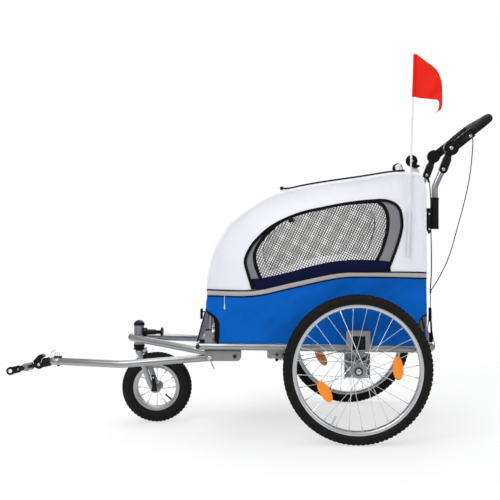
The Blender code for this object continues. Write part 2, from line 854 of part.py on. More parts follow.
def flat_r(radius, steps):
    """The corner radius that puts the middles of the facets at this radius."""
    return radius / math.cos(math.pi / steps)


def rear_tyre(name, side):
    half = TYRE_WIDTH / 2
    seat = RIM_R + GAP
    tread = flat_r(TYRE_R, WHEEL_STEPS)
    outer = [
        (seat, RIM_WIDTH / 2),
        (seat + TYRE_HEIGHT / 3, half),
        (tread - TYRE_HEIGHT / 4, half * 0.75),
        (tread, half * 0.27),
    ]
    inner = [
        (seat + 0.56 * TYRE_HEIGHT, half - TYRE_WALL),
        (seat, RIM_WIDTH / 2 - 0.4 * TYRE_WALL),
    ]
    loop = (
        [(r, y) for r, y in outer]
        + [(r, -y) for r, y in reversed(outer)]
        + [(r, -y) for r, y in reversed(inner)]
        + [(r, y) for r, y in inner]
    )
    tyre = turned(loop, (0, side * WHEEL_Y, TYRE_R), (0, 1, 0), WHEEL_STEPS, half_step=True)
    return keep(tyre, name, TYRE_RUBBER, (0, side * WHEEL_Y, TYRE_R))


def rear_rim(name, side):
    half = RIM_WIDTH / 2
    section = [
        (RIM_INNER_R, half - 0.0045),
        (RIM_INNER_R + RIM_DEPTH / 3, half),
        (RIM_R, half),
        (RIM_R, half - 0.75 * RIM_WALL),
        (RIM_INNER_R + RIM_WALL, half - 0.0040),
    ]
    loop = section + [(r, -y) for r, y in reversed(section)]
    rim = turned(loop, (0, side * WHEEL_Y, TYRE_R), (0, 1, 0), WHEEL_STEPS, half_step=True)
    return keep(rim, name, RIM_ALLOY, (0, side * WHEEL_Y, TYRE_R))


def spoke_lines(centre, count, inner_r, outer_r, flange, rim_spread, lean, across):
    """Start and end of each crossed spoke of a wheel."""
    lines = []
    for k in range(count):
        side = 1 if k % 2 else -1
        way = 1 if (k // 2) % 2 else -1
        rim_angle = 2 * math.pi * k / count
        hub_angle = rim_angle + way * lean
        start = Vector((inner_r * math.cos(hub_angle), 0, inner_r * math.sin(hub_angle)))
        end = Vector((outer_r * math.cos(rim_angle), 0, outer_r * math.sin(rim_angle)))
        start.y = side * flange + way * across
        end.y = side * rim_spread + way * across * 0.4
        lines.append((centre + start, centre + end))
    return lines


def rear_spoke_lines(side):
    return spoke_lines(
        Vector((0, side * WHEEL_Y, TYRE_R)),
        SPOKES,
        HUB_FLANGE_R - 0.0025,
        RIM_INNER_R * math.cos(math.pi / WHEEL_STEPS) - 0.0006,
        HUB_HALF,
        0.001,
        2 * 2 * math.pi / (SPOKES / 2),
        0.0016,
    )


def rear_hub(name, side):
    """Hub shell with its bore and two flanges, and the crossed spokes laced into them."""
    centre = Vector((0, side * WHEEL_Y, TYRE_R))
    inner, outer = -HUB_INNER_END, HUB_OUTER_END
    bore = AXLE_R + GAP
    profile = [
        (bore, outer),
        (HUB_NUT_R, outer),
        (HUB_NUT_R, HUB_HALF + HUB_FLANGE / 2),
        (HUB_FLANGE_R, HUB_HALF + HUB_FLANGE / 2),
        (HUB_FLANGE_R, HUB_HALF - HUB_FLANGE / 2),
        (HUB_BODY_R, HUB_HALF - 0.004),
        (HUB_BODY_R, -HUB_HALF + 0.004),
        (HUB_FLANGE_R, -HUB_HALF + HUB_FLANGE / 2),
        (HUB_FLANGE_R, -HUB_HALF - HUB_FLANGE / 2),
        (HUB_BODY_R, -HUB_HALF - HUB_FLANGE / 2),
        (HUB_BODY_R, inner),
        (bore, inner),
    ]
    hub = turned([(r, side * y) for r, y in profile], centre, (0, 1, 0), 14)
    spokes = [rod(start, end, SPOKE_R, 4) for start, end in rear_spoke_lines(side)]
    return keep(joined(hub, *spokes), name, BRIGHT_STEEL, centre)


def reflector(name, side, angle):
    """An oval reflector lying on the outer spokes, its long way around the wheel."""
    x = REFLECTOR_AT_R * math.cos(angle)
    z = TYRE_R + REFLECTOR_AT_R * math.sin(angle)
    outline = ellipse((x, z), REFLECTOR_LENGTH, REFLECTOR_WIDTH, angle + math.pi / 2)
    highest = 0.0
    for start, end in rear_spoke_lines(side):
        for k in range(101):
            place = start.lerp(end, k / 100)
            if inside(outline, Vector((place.x, place.z))):
                highest = max(highest, side * place.y)
    inner = highest + SPOKE_R + GAP
    ys = sorted((side * inner, side * (inner + REFLECTOR_THICK)))
    return keep(plate(outline, *ys), name, ORANGE, (0, side * WHEEL_Y, TYRE_R))


def front_tyre():
    half = FRONT_TYRE_WIDTH / 2
    seat = FRONT_RIM_R + GAP
    tread = flat_r(FRONT_TYRE_R, FRONT_STEPS)
    outer = [
        (seat, FRONT_RIM_WIDTH / 2),
        (seat + 0.316 * FRONT_TYRE_HEIGHT, half),
        (tread - FRONT_TYRE_HEIGHT / 4, half * 0.8),
        (tread, half * 0.3),
    ]
    inner = [
        (seat + 0.66 * FRONT_TYRE_HEIGHT, half - FRONT_TYRE_WALL),
        (seat, FRONT_RIM_WIDTH / 2 - 0.4 * FRONT_TYRE_WALL),
    ]
    loop = (
        outer
        + [(r, -y) for r, y in reversed(outer)]
        + [(r, -y) for r, y in reversed(inner)]
        + inner
    )
    centre = (FRONT_AXLE_X, 0, FRONT_TYRE_R)
    tyre = turned(loop, centre, (0, 1, 0), FRONT_STEPS, half_step=True)
    return keep(tyre, "front_tyre", TYRE_RUBBER, centre)


def front_wheel_core():
    """Rim, spokes and hub of the caster wheel, laced into one."""
    centre = Vector((FRONT_AXLE_X, 0, FRONT_TYRE_R))
    rim_half = FRONT_RIM_WIDTH / 2
    section = [
        (FRONT_RIM_INNER_R, rim_half - 0.0045),
        (FRONT_RIM_INNER_R + FRONT_RIM_DEPTH / 3, rim_half),
        (FRONT_RIM_R, rim_half),
        (FRONT_RIM_R, rim_half - 0.003),
        (FRONT_RIM_INNER_R + 0.004, rim_half - 0.006),
    ]
    loop = section + [(r, -y) for r, y in reversed(section)]
    rim = turned(loop, centre, (0, 1, 0), FRONT_STEPS, half_step=True)
    hub_end = FORK_Y - FORK_PLATE / 2 - 0.0005
    flange = FRONT_FLANGE_Y
    profile = [
        (SKEWER_R + GAP, hub_end),
        (FRONT_HUB_R, hub_end),
        (FRONT_HUB_R, flange + 0.002),
        (FRONT_FLANGE_R, flange + 0.002),
        (FRONT_FLANGE_R, flange - 0.002),
        (FRONT_HUB_R + 0.002, flange - 0.004),
    ]
    loop = profile + [(r, -y) for r, y in reversed(profile)]
    hub = turned(loop, centre, (0, 1, 0), 10)
    lines = spoke_lines(
        centre,
        FRONT_SPOKES,
        FRONT_FLANGE_R - 0.0025,
        FRONT_RIM_INNER_R + 0.002,
        flange,
        0.001,
        0.0,
        0.0,
    )
    spokes = [rod(start, end, FRONT_SPOKE_R, 4) for start, end in lines]
    return keep(joined(rim, hub, *spokes), "front_wheel_core", RIM_ALLOY, centre)


def front_frame():
    """The bent tube round the steering head, the head itself and the tube that carries both."""
    wrap_r = HEAD_R + WRAP_CLEAR
    head_z, rear_z = HOOP_FRONT_Z, HOOP_REAR_Z
    rear_x, rear_y = HOOP_REAR_X, HOOP_REAR_Y
    # the leg leaves the wrap where the line from its rear end just touches the circle
    to_head = Vector((HEAD_X - rear_x, -rear_y, 0))
    lean = math.atan2(-to_head.y, -to_head.x) + math.asin(wrap_r / to_head.length)
    start_angle = lean + math.pi / 2
    arc = []
    steps = 8
    for k in range(steps + 1):
        angle = start_angle + (2 * math.pi - 2 * start_angle) * k / steps
        arc.append((HEAD_X + wrap_r * math.cos(angle), wrap_r * math.sin(angle), head_z))
    path = [(rear_x, rear_y, rear_z), *arc, (rear_x, -rear_y, rear_z)]
    hoop = tube(path, TUBE_R)
    bore = STEERER_R + HEAD_CLEAR
    head = rod((HEAD_X, 0, HEAD_LOW_Z), (HEAD_X, 0, HEAD_TOP_Z), HEAD_R, 18)
    bore_cut = rod(
        (HEAD_X, 0, HEAD_LOW_Z - CUT_PAST), (HEAD_X, 0, HEAD_TOP_Z + CUT_PAST), bore, 16
    )
    tube_z = rail_z(rear_x)
    reach = RAIL_Y - TUBE_R - GAP
    carrier = tube([(rear_x, -reach, tube_z), (rear_x, reach, tube_z)], TUBE_R)
    blocks = [
        box(
            (rear_x - TUBE_R + 0.0025, y - 0.014, rear_z - TUBE_R + 0.0005),
            (rear_x + TUBE_R - 0.0005, y + 0.014, tube_z),
        )
        for y in (-rear_y, rear_y)
    ]
    pin_hole = rod(
        (HEAD_X + 0.005, 0, LOCK_Z), (HEAD_X + HEAD_R + CUT_PAST, 0, LOCK_Z), LOCK_PIN_R + 0.0005, 12
    )
    welded = joined(hoop, head, carrier, *blocks)
    return keep(cut(welded, bore_cut, pin_hole), "front_frame", FRAME_STEEL)


def head_cap():
    low = HEAD_TOP_Z + GAP
    profile = [
        (0, low + CAP_HEIGHT),
        (0.4 * CAP_R, low + 0.92 * CAP_HEIGHT),
        (0.82 * CAP_R, low + 0.6 * CAP_HEIGHT),
        (CAP_R, low),
        (0, low),
    ]
    cap = turned(profile, (HEAD_X, 0, 0), (0, 0, 1), 20, closed=False)
    return keep(cap, "head_cap", BLACK_PLASTIC, (HEAD_X, 0, low))


def caster_fork():
    """Crown, two curved blades, the crown race and the steerer inside the head tube."""
    crown_z = CROWN_TOP_Z
    blade = [(HEAD_X + x, FRONT_TOP_Z - drop) for x, drop in FORK_LINE]
    line = [(HEAD_X, crown_z - 0.004), *blade, (FRONT_AXLE_X, FRONT_TYRE_R)]
    blades = []
    for side in (LEFT, RIGHT):
        ys = (side * FORK_Y - FORK_PLATE / 2, side * FORK_Y + FORK_PLATE / 2)
        blades.append(plate(strip(line, FORK_BLADE_WIDTH / 2), *ys))
        blades.append(
            rod(
                (FRONT_AXLE_X, side * FORK_Y, FRONT_TYRE_R),
                (FRONT_AXLE_X, side * FORK_FACE_Y, FRONT_TYRE_R),
                FORK_TIP_R,
                16,
            )
        )
    outer = FORK_Y + FORK_PLATE / 2 + 0.0004
    crown = box(
        (HEAD_X - CROWN_FRONT, -outer, crown_z - CROWN_THICK), (HEAD_X + CROWN_REAR, outer, crown_z)
    )
    race = rod(
        (HEAD_X, 0, crown_z - 0.001),
        (HEAD_X, 0, HEAD_LOW_Z - GAP),
        HEAD_R + 0.0020,
        16,
        end_radius=HEAD_R + 0.0007,
    )
    steerer = rod((HEAD_X, 0, crown_z - 0.002), (HEAD_X, 0, HEAD_TOP_Z), STEERER_R, 16)
    axle_hole = rod(
        (FRONT_AXLE_X, -outer - CUT_PAST, FRONT_TYRE_R),
        (FRONT_AXLE_X, outer + CUT_PAST, FRONT_TYRE_R),
        SKEWER_R + GAP,
        12,
    )
    return keep(
        cut(joined(crown, *blades, race, steerer), axle_hole),
        "caster_fork",
        BRACKET_STEEL,
        (HEAD_X, 0, crown_z),
    )


def front_skewer():
    outer = FORK_FACE_Y
    at = (FRONT_AXLE_X, FRONT_TYRE_R)
    shaft = rod((at[0], -outer, at[1]), (at[0], outer + 0.006, at[1]), SKEWER_R, 12)
    nut = rod((at[0], outer + GAP, at[1]), (at[0], outer + 0.009, at[1]), 0.009, 6)
    return keep(joined(shaft, nut), "front_wheel_skewer", BRIGHT_STEEL, (at[0], 0, at[1]))


def quick_lever():
    """The cam barrel and lever of the front wheel's quick release."""
    outer = FORK_FACE_Y
    y = -outer - GAP - LEVER_BARREL_R
    reach = LEVER_BARREL_LENGTH / 2
    barrel = rod(
        (FRONT_AXLE_X - reach, y, FRONT_TYRE_R),
        (FRONT_AXLE_X + reach, y, FRONT_TYRE_R),
        LEVER_BARREL_R,
        16,
    )
    line = [(FRONT_AXLE_X + x, FRONT_TYRE_R + z) for x, z in LEVER_LINE]
    arm = plate(strip(line, LEVER_WIDTH / 2), y - 0.0045, y + 0.0005)
    return keep(joined(barrel, arm), "front_quick_lever", BLACK_PLASTIC, (FRONT_AXLE_X, y, FRONT_TYRE_R))


def swivel_lock():
    z = LOCK_Z
    start = HEAD_X + HEAD_R + GAP
    body_end = start + LOCK_BODY_LENGTH
    flange = rod((start, 0, z), (start + 0.010, 0, z), LOCK_FLANGE_R, 16)
    barrel = rod((start + 0.009, 0, z), (body_end, 0, z), LOCK_BARREL_R, 16)
    bore = rod((start - CUT_PAST, 0, z), (body_end + CUT_PAST, 0, z), LOCK_PIN_R + GAP, 12)
    keep(cut(joined(flange, barrel), bore), "swivel_lock_body", BLACK_PLASTIC)
    tip = HEAD_X + STEERER_R + 0.0017
    disc_x = body_end + LOCK_TRAVEL_ROOM
    disc_end = disc_x + LOCK_DISC_THICK
    pin = rod((tip, 0, z), (disc_x + 0.001, 0, z), LOCK_PIN_R, 12)
    disc = rod((disc_x, 0, z), (disc_end, 0, z), LOCK_DISC_R, 20)
    keep(joined(pin, disc), "swivel_lock_plunger", BLACK_PLASTIC, (disc_end, 0, z))


def tow_bar_receiver():
    """A steel channel under the left rail, open below, with the pivot bolt through it."""
    inside = TUBE_R + 0.0005
    x_front, x_rear = RECEIVER_FRONT_X, TOW_PIVOT_X + RECEIVER_BEHIND_PIVOT
    low, high = TOW_PIVOT_Z - RECEIVER_BELOW_PIVOT, rail_z(TOW_PIVOT_X) - TUBE_R - GAP - 0.0006
    side = [
        (x_front, low),
        (x_rear - 0.008, low),
        (x_rear, low + 0.008),
        (x_rear, high),
        (x_front, high),
    ]
    channel = plate(side, TOW_Y - inside - PLATE, TOW_Y + inside + PLATE)
    space = box(
        (x_front - CUT_PAST, TOW_Y - inside, low - CUT_PAST),
        (x_rear + CUT_PAST, TOW_Y + inside, high - PLATE),
    )
    pin_x, pin_z = TOW_PIN_PLACE
    lock_hole = rod((pin_x, TOW_Y - 0.03, pin_z), (pin_x, TOW_Y, pin_z), TOW_PIN_R + GAP, 12)
    bolt = rod(
        (TOW_PIVOT_X, TOW_Y - inside - PLATE - 0.004, TOW_PIVOT_Z),
        (TOW_PIVOT_X, TOW_Y + inside + PLATE + 0.004, TOW_PIVOT_Z),
        PIVOT_PIN_R,
        12,
    )
    head = rod(
        (TOW_PIVOT_X, TOW_Y - inside - PLATE - 0.004, TOW_PIVOT_Z),
        (TOW_PIVOT_X, TOW_Y - inside - PLATE + 0.001, TOW_PIVOT_Z),
        0.0065,
        6,
    )
    shell = cut(channel, space, lock_hole)
    keep(joined(shell, bolt, head), "tow_bar_receiver", BRACKET_STEEL)


def tow_bar():
    path = rounded_path(
        [
            (TOW_PIVOT_X + 0.0085, TOW_Y, TOW_PIVOT_Z + 0.0006),
            (TOW_BEND_X, TOW_Y, TOW_BEND_Z),
            (TOW_END_X, TOW_END_Y, TOW_END_Z),
        ],
        [TOW_BEND_R],
        steps=6,
    )
    hole = rod(
        (TOW_PIVOT_X, TOW_Y - TUBE_R - CUT_PAST, TOW_PIVOT_Z),
        (TOW_PIVOT_X, TOW_Y + TUBE_R + CUT_PAST, TOW_PIVOT_Z),
        PIVOT_PIN_R + GAP,
        12,
    )
    keep(cut(tube(path, TUBE_R), hole), "tow_bar_tube", FRAME_STEEL, (TOW_PIVOT_X, TOW_Y, TOW_PIVOT_Z))


def lock_pin():
    outer = TOW_Y - TUBE_R - 0.0005 - PLATE
    x, z = TOW_PIN_PLACE
    shank = rod((x, TOW_Y - TUBE_R - 0.0008, z), (x, outer - 0.005, z), TOW_PIN_R, 12)
    head = rod((x, outer - GAP, z), (x, outer - 0.005, z), TOW_PIN_HEAD_R, 16)
    leg = rod(
        (x + 0.002, outer - 0.0035, z - 0.004), (x + 0.0154, outer - 0.0035, z - 0.0355), 0.0016, 8
    )
    keep(joined(head, shank, leg), "tow_bar_lock_pin", BRIGHT_STEEL, (x, outer, z))


def droop(obj):
    """Tilts a hitch piece about the end of the tow bar, front end down."""
    centre = Vector((TOW_END_X, TOW_END_Y, TOW_END_Z))
    turn = Matrix.Rotation(-HITCH_DROOP, 4, "Y")
    obj.data.transform(Matrix.Translation(centre) @ turn @ Matrix.Translation(-centre))
    return obj


def hitch():
    """The coupling block on the bar's end, and the swinging yoke with its eye."""
    x, y, z = TOW_END_X, TOW_END_Y, TOW_END_Z
    pin_x = x - 0.072
    collar = rod((x - 0.0045, y, z), (x - 0.0270, y, z), 0.0155, 16)
    side = [
        (x - 0.0250, z + 0.0130),
        (x - 0.0300, z + 0.0200),
        (x - 0.0420, z + 0.0190),
        (x - 0.0560, z + 0.0080),
        (x - 0.0560, z - 0.0120),
        (x - 0.0440, z - 0.0190),
        (x - 0.0250, z - 0.0130),
    ]
    block = plate(side[::-1], y - 0.0130, y + 0.0130)
    tongue = box((pin_x, y - 0.008, z - 0.005), (x - 0.050, y + 0.008, z + 0.005))
    nose = rod((pin_x, y, z - 0.005), (pin_x, y, z + 0.005), 0.008, 16)
    hole = rod((pin_x, y, z - 0.02), (pin_x, y, z + 0.02), 0.0033, 12)
    coupler = cut(joined(block, collar, tongue, nose), hole)
    pivot = (TOW_PIVOT_X, TOW_Y, TOW_PIVOT_Z)
    keep(droop(coupler), "hitch_coupler", BLACK_PLASTIC, pivot)

    web = box((pin_x - 0.020, y - 0.0085, z - 0.011), (pin_x - 0.010, y + 0.0085, z + 0.011))
    prongs = []
    for low, high in ((0.0055, 0.0110), (-0.0110, -0.0055)):
        prongs.append(box((pin_x - 0.012, y - 0.0085, z + low), (pin_x, y + 0.0085, z + high)))
        prongs.append(rod((pin_x, y, z + low), (pin_x, y, z + high), 0.0083, 10))
    pin = rod((pin_x, y, z - 0.013), (pin_x, y, z + 0.013), 0.0030, 8)
    flexible = rod((pin_x - 0.018, y, z), (pin_x - 0.042, y, z), 0.0095, 10)
    eye_x = pin_x - 0.073
    eye = rod((eye_x, y - 0.0045, z), (eye_x, y + 0.0045, z), 0.0150, 16)
    neck = box((eye_x, y - 0.0040, z - 0.0085), (pin_x - 0.040, y + 0.0040, z + 0.0085))
    eye_hole = rod((eye_x, y - 0.02, z), (eye_x, y + 0.02, z), 0.0066, 12)
    yoke = cut(joined(web, *prongs, pin, flexible, neck, eye), eye_hole)
    yoke = droop(yoke)
    turn = Matrix.Rotation(-HITCH_DROOP, 3, "Y")
    pin_place = Vector((x, y, z)) + turn @ Vector((pin_x - x, 0, 0))
    keep(yoke, "hitch_yoke", BRACKET_STEEL, pin_place)


def upright(name, side):
    """A rear upright: pivot hole below, gentle lean inwards at the top, fold joint disc seat."""
    path = rounded_path(
        mirrored(
            [
                (REAR_PIVOT_X, UPRIGHT_Y, REAR_PIVOT_Z - 0.010),
                (UPRIGHT_X, UPRIGHT_Y, UPRIGHT_BEND_LOW_Z),
                (UPRIGHT_X, UPRIGHT_Y, UPRIGHT_BEND_TOP_Z),
                (UPRIGHT_TOP_X, UPRIGHT_Y, UPRIGHT_TOP_Z + 0.008),
            ],
            side,
        ),
        [0.15, 0.06],
        steps=3,
    )
    hole = rod(
        (REAR_PIVOT_X, side * (UPRIGHT_Y - 0.02), REAR_PIVOT_Z),
        (REAR_PIVOT_X, side * (UPRIGHT_Y + 0.02), REAR_PIVOT_Z),
        PIVOT_PIN_R + GAP,
        12,
    )
    pin = rod(
        (UPRIGHT_TOP_X, side * UPRIGHT_Y, UPRIGHT_TOP_Z),
        (UPRIGHT_TOP_X, side * (UPRIGHT_Y + UPRIGHT_R + 0.007), UPRIGHT_TOP_Z),
        JOINT_PIN_R,
        12,
    )
    pivot = (REAR_PIVOT_X, side * UPRIGHT_Y, REAR_PIVOT_Z)
    return keep(joined(cut(tube(path, UPRIGHT_R, 3), hole), pin), name, FRAME_STEEL, pivot)


def fold_lever(name, side):
    """The black disc and leaf lever at the top of an upright."""
    low = UPRIGHT_Y + UPRIGHT_R + GAP
    high = low + FOLD_DISC_THICK
    x, z = UPRIGHT_TOP_X, UPRIGHT_TOP_Z
    disc = rod((x, side * low, z), (x, side * high, z), FOLD_DISC_R, 24)
    ys = sorted((side * (low + 0.001), side * (high - 0.001)))
    leaf = plate([(x + dx, z + dz) for dx, dz in FOLD_LEAF], *ys)
    hole = rod((x, side * (low - CUT_PAST), z), (x, side * (low + 0.008), z), JOINT_PIN_R + GAP, 12)
    return keep(cut(joined(disc, leaf), hole), name, BLACK_PLASTIC, (x, side * low, z))


def rear_crossbar():
    reach = UPRIGHT_Y - UPRIGHT_R - GAP
    bar = tube([(UPRIGHT_X, -reach, CROSSBAR_Z), (UPRIGHT_X, reach, CROSSBAR_Z)], CROSSBAR_R)
    keep(bar, "rear_crossbar", FRAME_STEEL, (REAR_PIVOT_X, 0, REAR_PIVOT_Z))


def post_sleeve(name, side):
    """A black sleeve for the handle post, clamped round the upright through the fabric."""
    low, top = SLEEVE_LOW_Z, SLEEVE_TOP_Z
    clamp_low, clamp_top = low + CLAMP_ABOVE, top - CLAMP_BELOW
    half = CLAMP_THICK / 2
    sleeve = rod((SLEEVE_X, side * SLEEVE_Y, low), (SLEEVE_X, side * SLEEVE_Y, top), SLEEVE_R, 16)
    collar = rod(
        (UPRIGHT_X, side * UPRIGHT_Y, clamp_low),
        (UPRIGHT_X, side * UPRIGHT_Y, clamp_top),
        UPRIGHT_R + CLAMP_WALL,
        16,
    )
    arm = box_side(
        side, UPRIGHT_X, SLEEVE_X, SLEEVE_Y - half + 0.001, SLEEVE_Y + half + 0.001, clamp_low, clamp_top
    )
    post = rod(
        (SLEEVE_X, side * SLEEVE_Y, low - CUT_PAST),
        (SLEEVE_X, side * SLEEVE_Y, top + CUT_PAST),
        UPRIGHT_R + GAP,
        16,
    )
    frame = rod(
        (UPRIGHT_X, side * UPRIGHT_Y, low - CUT_PAST),
        (UPRIGHT_X, side * UPRIGHT_Y, top + CUT_PAST),
        UPRIGHT_R + GAP,
        16,
    )
    pivot = (REAR_PIVOT_X, side * SLEEVE_Y, REAR_PIVOT_Z)
    return keep(cut(joined(sleeve, collar, arm), post, frame), name, BLACK_PLASTIC, pivot)


def stadium(start, end, width, steps=6, square_end=False):
    """A bar outline in the X-Z plane, with a round start and a round or square end."""
    start, end = Vector(start), Vector(end)
    way = (end - start).normalized()
    base = math.atan2(way.y, way.x)
    points = []
    if square_end:
        across = Vector((-way.y, way.x)) * width / 2
        points = [tuple(end - across), tuple(end + across)]
    ends = [(start, base + math.pi / 2)]
    if not square_end:
        ends.insert(0, (end, base - math.pi / 2))
    for centre, first in ends:
        for k in range(steps + 1):
            angle = first + math.pi * k / steps
            points.append(
                (centre.x + width / 2 * math.cos(angle), centre.y + width / 2 * math.sin(angle))
            )
    return points


def handle_post(name, side):
    """The silver post with its elbow, and the black arm and lower disc of the tilt joint."""
    y = side * SLEEVE_Y
    down = (Vector((ELBOW_X, 0, ELBOW_Z)) - TILT).normalized()
    tube_end = TILT + down * (TILT_DISC_R + POST_TOP_IN)
    path = rounded_path(
        [
            (SLEEVE_X, y, SLEEVE_LOW_Z + POST_FOOT_IN),
            (SLEEVE_X, y, SLEEVE_TOP_Z + POST_BEND_ABOVE),
            (tube_end.x, y, tube_end.z),
        ],
        [POST_BEND_R],
        steps=3,
    )
    post = tube(path, UPRIGHT_R, 3)
    screw_at = TILT + down * LOWER_ARM_LENGTH
    root = TILT + down * (TILT_DISC_R + 0.0015 + ARM_WIDTH / 2)
    ys = (y - ARM_THICK / 2, y + ARM_THICK / 2)
    arm = plate(stadium((root.x, root.z), (screw_at.x, screw_at.z), LOWER_ARM_WIDTH), *ys)
    inner_face, joint_face = SLEEVE_Y - ARM_THICK / 2 - 0.002, SLEEVE_Y - 0.0002
    disc_ys = (side * inner_face, side * joint_face)
    disc = rod((TILT_X, disc_ys[0], TILT_Z), (TILT_X, disc_ys[1], TILT_Z), TILT_DISC_R, 24)
    neck_ys = sorted((disc_ys[0] + side * 0.0005, disc_ys[1] - side * 0.0005))
    neck = plate(stadium((TILT_X, TILT_Z), (root.x, root.z), LOWER_ARM_WIDTH - 0.002, 4), *neck_ys)
    stub = rod(
        (TILT_X, side * (SLEEVE_Y - 0.003), TILT_Z),
        (TILT_X, side * (SLEEVE_Y + ARM_THICK / 2), TILT_Z),
        JOINT_PIN_R,
        12,
    )
    pivot = (SLEEVE_X, y, SLEEVE_LOW_Z)
    return keep(joined(post, arm, neck, disc, stub), name, FRAME_STEEL, pivot)


def upper_arm(name, side):
    """The black arm and outer disc of the tilt joint, which carries the grip."""
    y = side * SLEEVE_Y
    root = TILT + GRIP_WAY * (TILT_DISC_R + 0.0015 + ARM_WIDTH / 2)
    end = TILT + GRIP_WAY * ARM_LENGTH
    ys = (y - ARM_THICK / 2, y + ARM_THICK / 2)
    arm = plate(stadium((root.x, root.z), (end.x, end.z), ARM_WIDTH, square_end=True), *ys)
    joint_face, outer_face = SLEEVE_Y + 0.0002, SLEEVE_Y + ARM_THICK / 2 + 0.002
    disc_ys = (side * joint_face, side * outer_face)
    disc = rod((TILT_X, disc_ys[0], TILT_Z), (TILT_X, disc_ys[1], TILT_Z), TILT_DISC_R, 24)
    neck_ys = sorted((disc_ys[0] + side * 0.0005, disc_ys[1] - side * 0.0005))
    neck = plate(stadium((TILT_X, TILT_Z), (root.x, root.z), ARM_WIDTH - 0.004, 4), *neck_ys)
    hole = rod(
        (TILT_X, side * (SLEEVE_Y - 0.005), TILT_Z),
        (TILT_X, side * (SLEEVE_Y + ARM_THICK / 2 + GAP), TILT_Z),
        JOINT_PIN_R + GAP,
        12,
    )
    shape = cut(joined(arm, neck, disc), hole)
    return keep(shape, name, BLACK_PLASTIC, (TILT_X, y, TILT_Z))


def handle_grip():
    near = TILT + GRIP_WAY * (ARM_LENGTH + GAP)
    far = TILT + GRIP_WAY * GRIP_REACH
    y = SLEEVE_Y
    path = rounded_path(
        [(near.x, -y, near.z), (far.x, -y, far.z), (far.x, y, far.z), (near.x, y, near.z)],
        [GRIP_BEND_R, GRIP_BEND_R],
        steps=5,
    )
    keep(tube(path, GRIP_R), "handle_grip", BLACK_FOAM, TILT)


def canopy_arch():
    """Two bent side arms under the roof's edges and the bar that joins them in front."""
    foot = (FRONT_PIVOT_X, FRONT_PIVOT_Z - ARCH_R)
    line = [foot, *ARCH_LINE]
    reach = ARCH_Y
    share = (ARCH_BAR_Z - foot[1]) / (ARCH_LINE[0][1] - foot[1])
    bar_x = foot[0] + share * (ARCH_LINE[0][0] - foot[0])
    arms = [tube([(x, side * ARCH_Y, z) for x, z in line], ARCH_R, 2) for side in (LEFT, RIGHT)]
    bar = tube([(bar_x, -reach, ARCH_BAR_Z), (bar_x, reach, ARCH_BAR_Z)], ARCH_BAR_R, 2)
    holes = [
        rod(
            (FRONT_PIVOT_X, side * (ARCH_Y - 0.02), FRONT_PIVOT_Z),
            (FRONT_PIVOT_X, side * (ARCH_Y + 0.02), FRONT_PIVOT_Z),
            PIVOT_PIN_R + GAP,
            12,
        )
        for side in (LEFT, RIGHT)
    ]
    shape = cut(joined(arms[0], bar, arms[1]), *holes)
    keep(shape, "canopy_arch", FRAME_STEEL, (FRONT_PIVOT_X, 0, FRONT_PIVOT_Z))


def floor_panel():
    """The board that lies on both rails."""
    x_front, x_rear = BOARD_FRONT_X, BOARD_REAR_X
    low_front = rail_z(x_front) + TUBE_R + GAP
    low_rear = rail_z(x_rear) + TUBE_R + GAP
    side = [
        (x_front, low_front),
        (x_rear, low_rear),
        (x_rear, low_rear + FLOOR_THICK),
        (x_front, low_front + FLOOR_THICK),
    ]
    reach = FABRIC_INNER_Y - 0.0008
    keep(plate(side, -reach, reach), "floor_panel", BOARD)


def tub_fabric():
    """The blue fabric walls: a ring of cloth on the rails, with its four corners cut out."""
    seam = [(x, z - GAP) for x, z in SEAM]
    outline = [*seam, *TUB_FRONT, TUB_REAR_LOW]
    outer = plate(outline, -FABRIC_Y, FABRIC_Y)
    walls = inset(outline, FABRIC_WALL)
    top = [(x, z + 0.05) for x, z in walls[: len(seam)]]
    front = walls[len(seam) : -1]
    low_front = (front[-1][0] - 0.0035, front[-1][1] - 0.02)
    low_rear = (walls[-1][0], walls[-1][1] - 0.02)
    inner = plate([*top, front[0], low_front, low_rear], -FABRIC_INNER_Y, FABRIC_INNER_Y)
    cuts = []
    for side in (LEFT, RIGHT):
        ys = sorted((side * (FABRIC_INNER_Y - 0.0004), side * (FABRIC_Y + 0.01)))
        cuts.append(plate(FRONT_CORNER_CUT, *ys))
        ys = sorted((side * (UPRIGHT_Y - 0.030), side * (FABRIC_Y + CUT_PAST)))
        cuts.append(plate(REAR_CORNER_CUT, *ys))
    keep(cut(outer, inner, *cuts), "tub_fabric", BLUE_FABRIC)


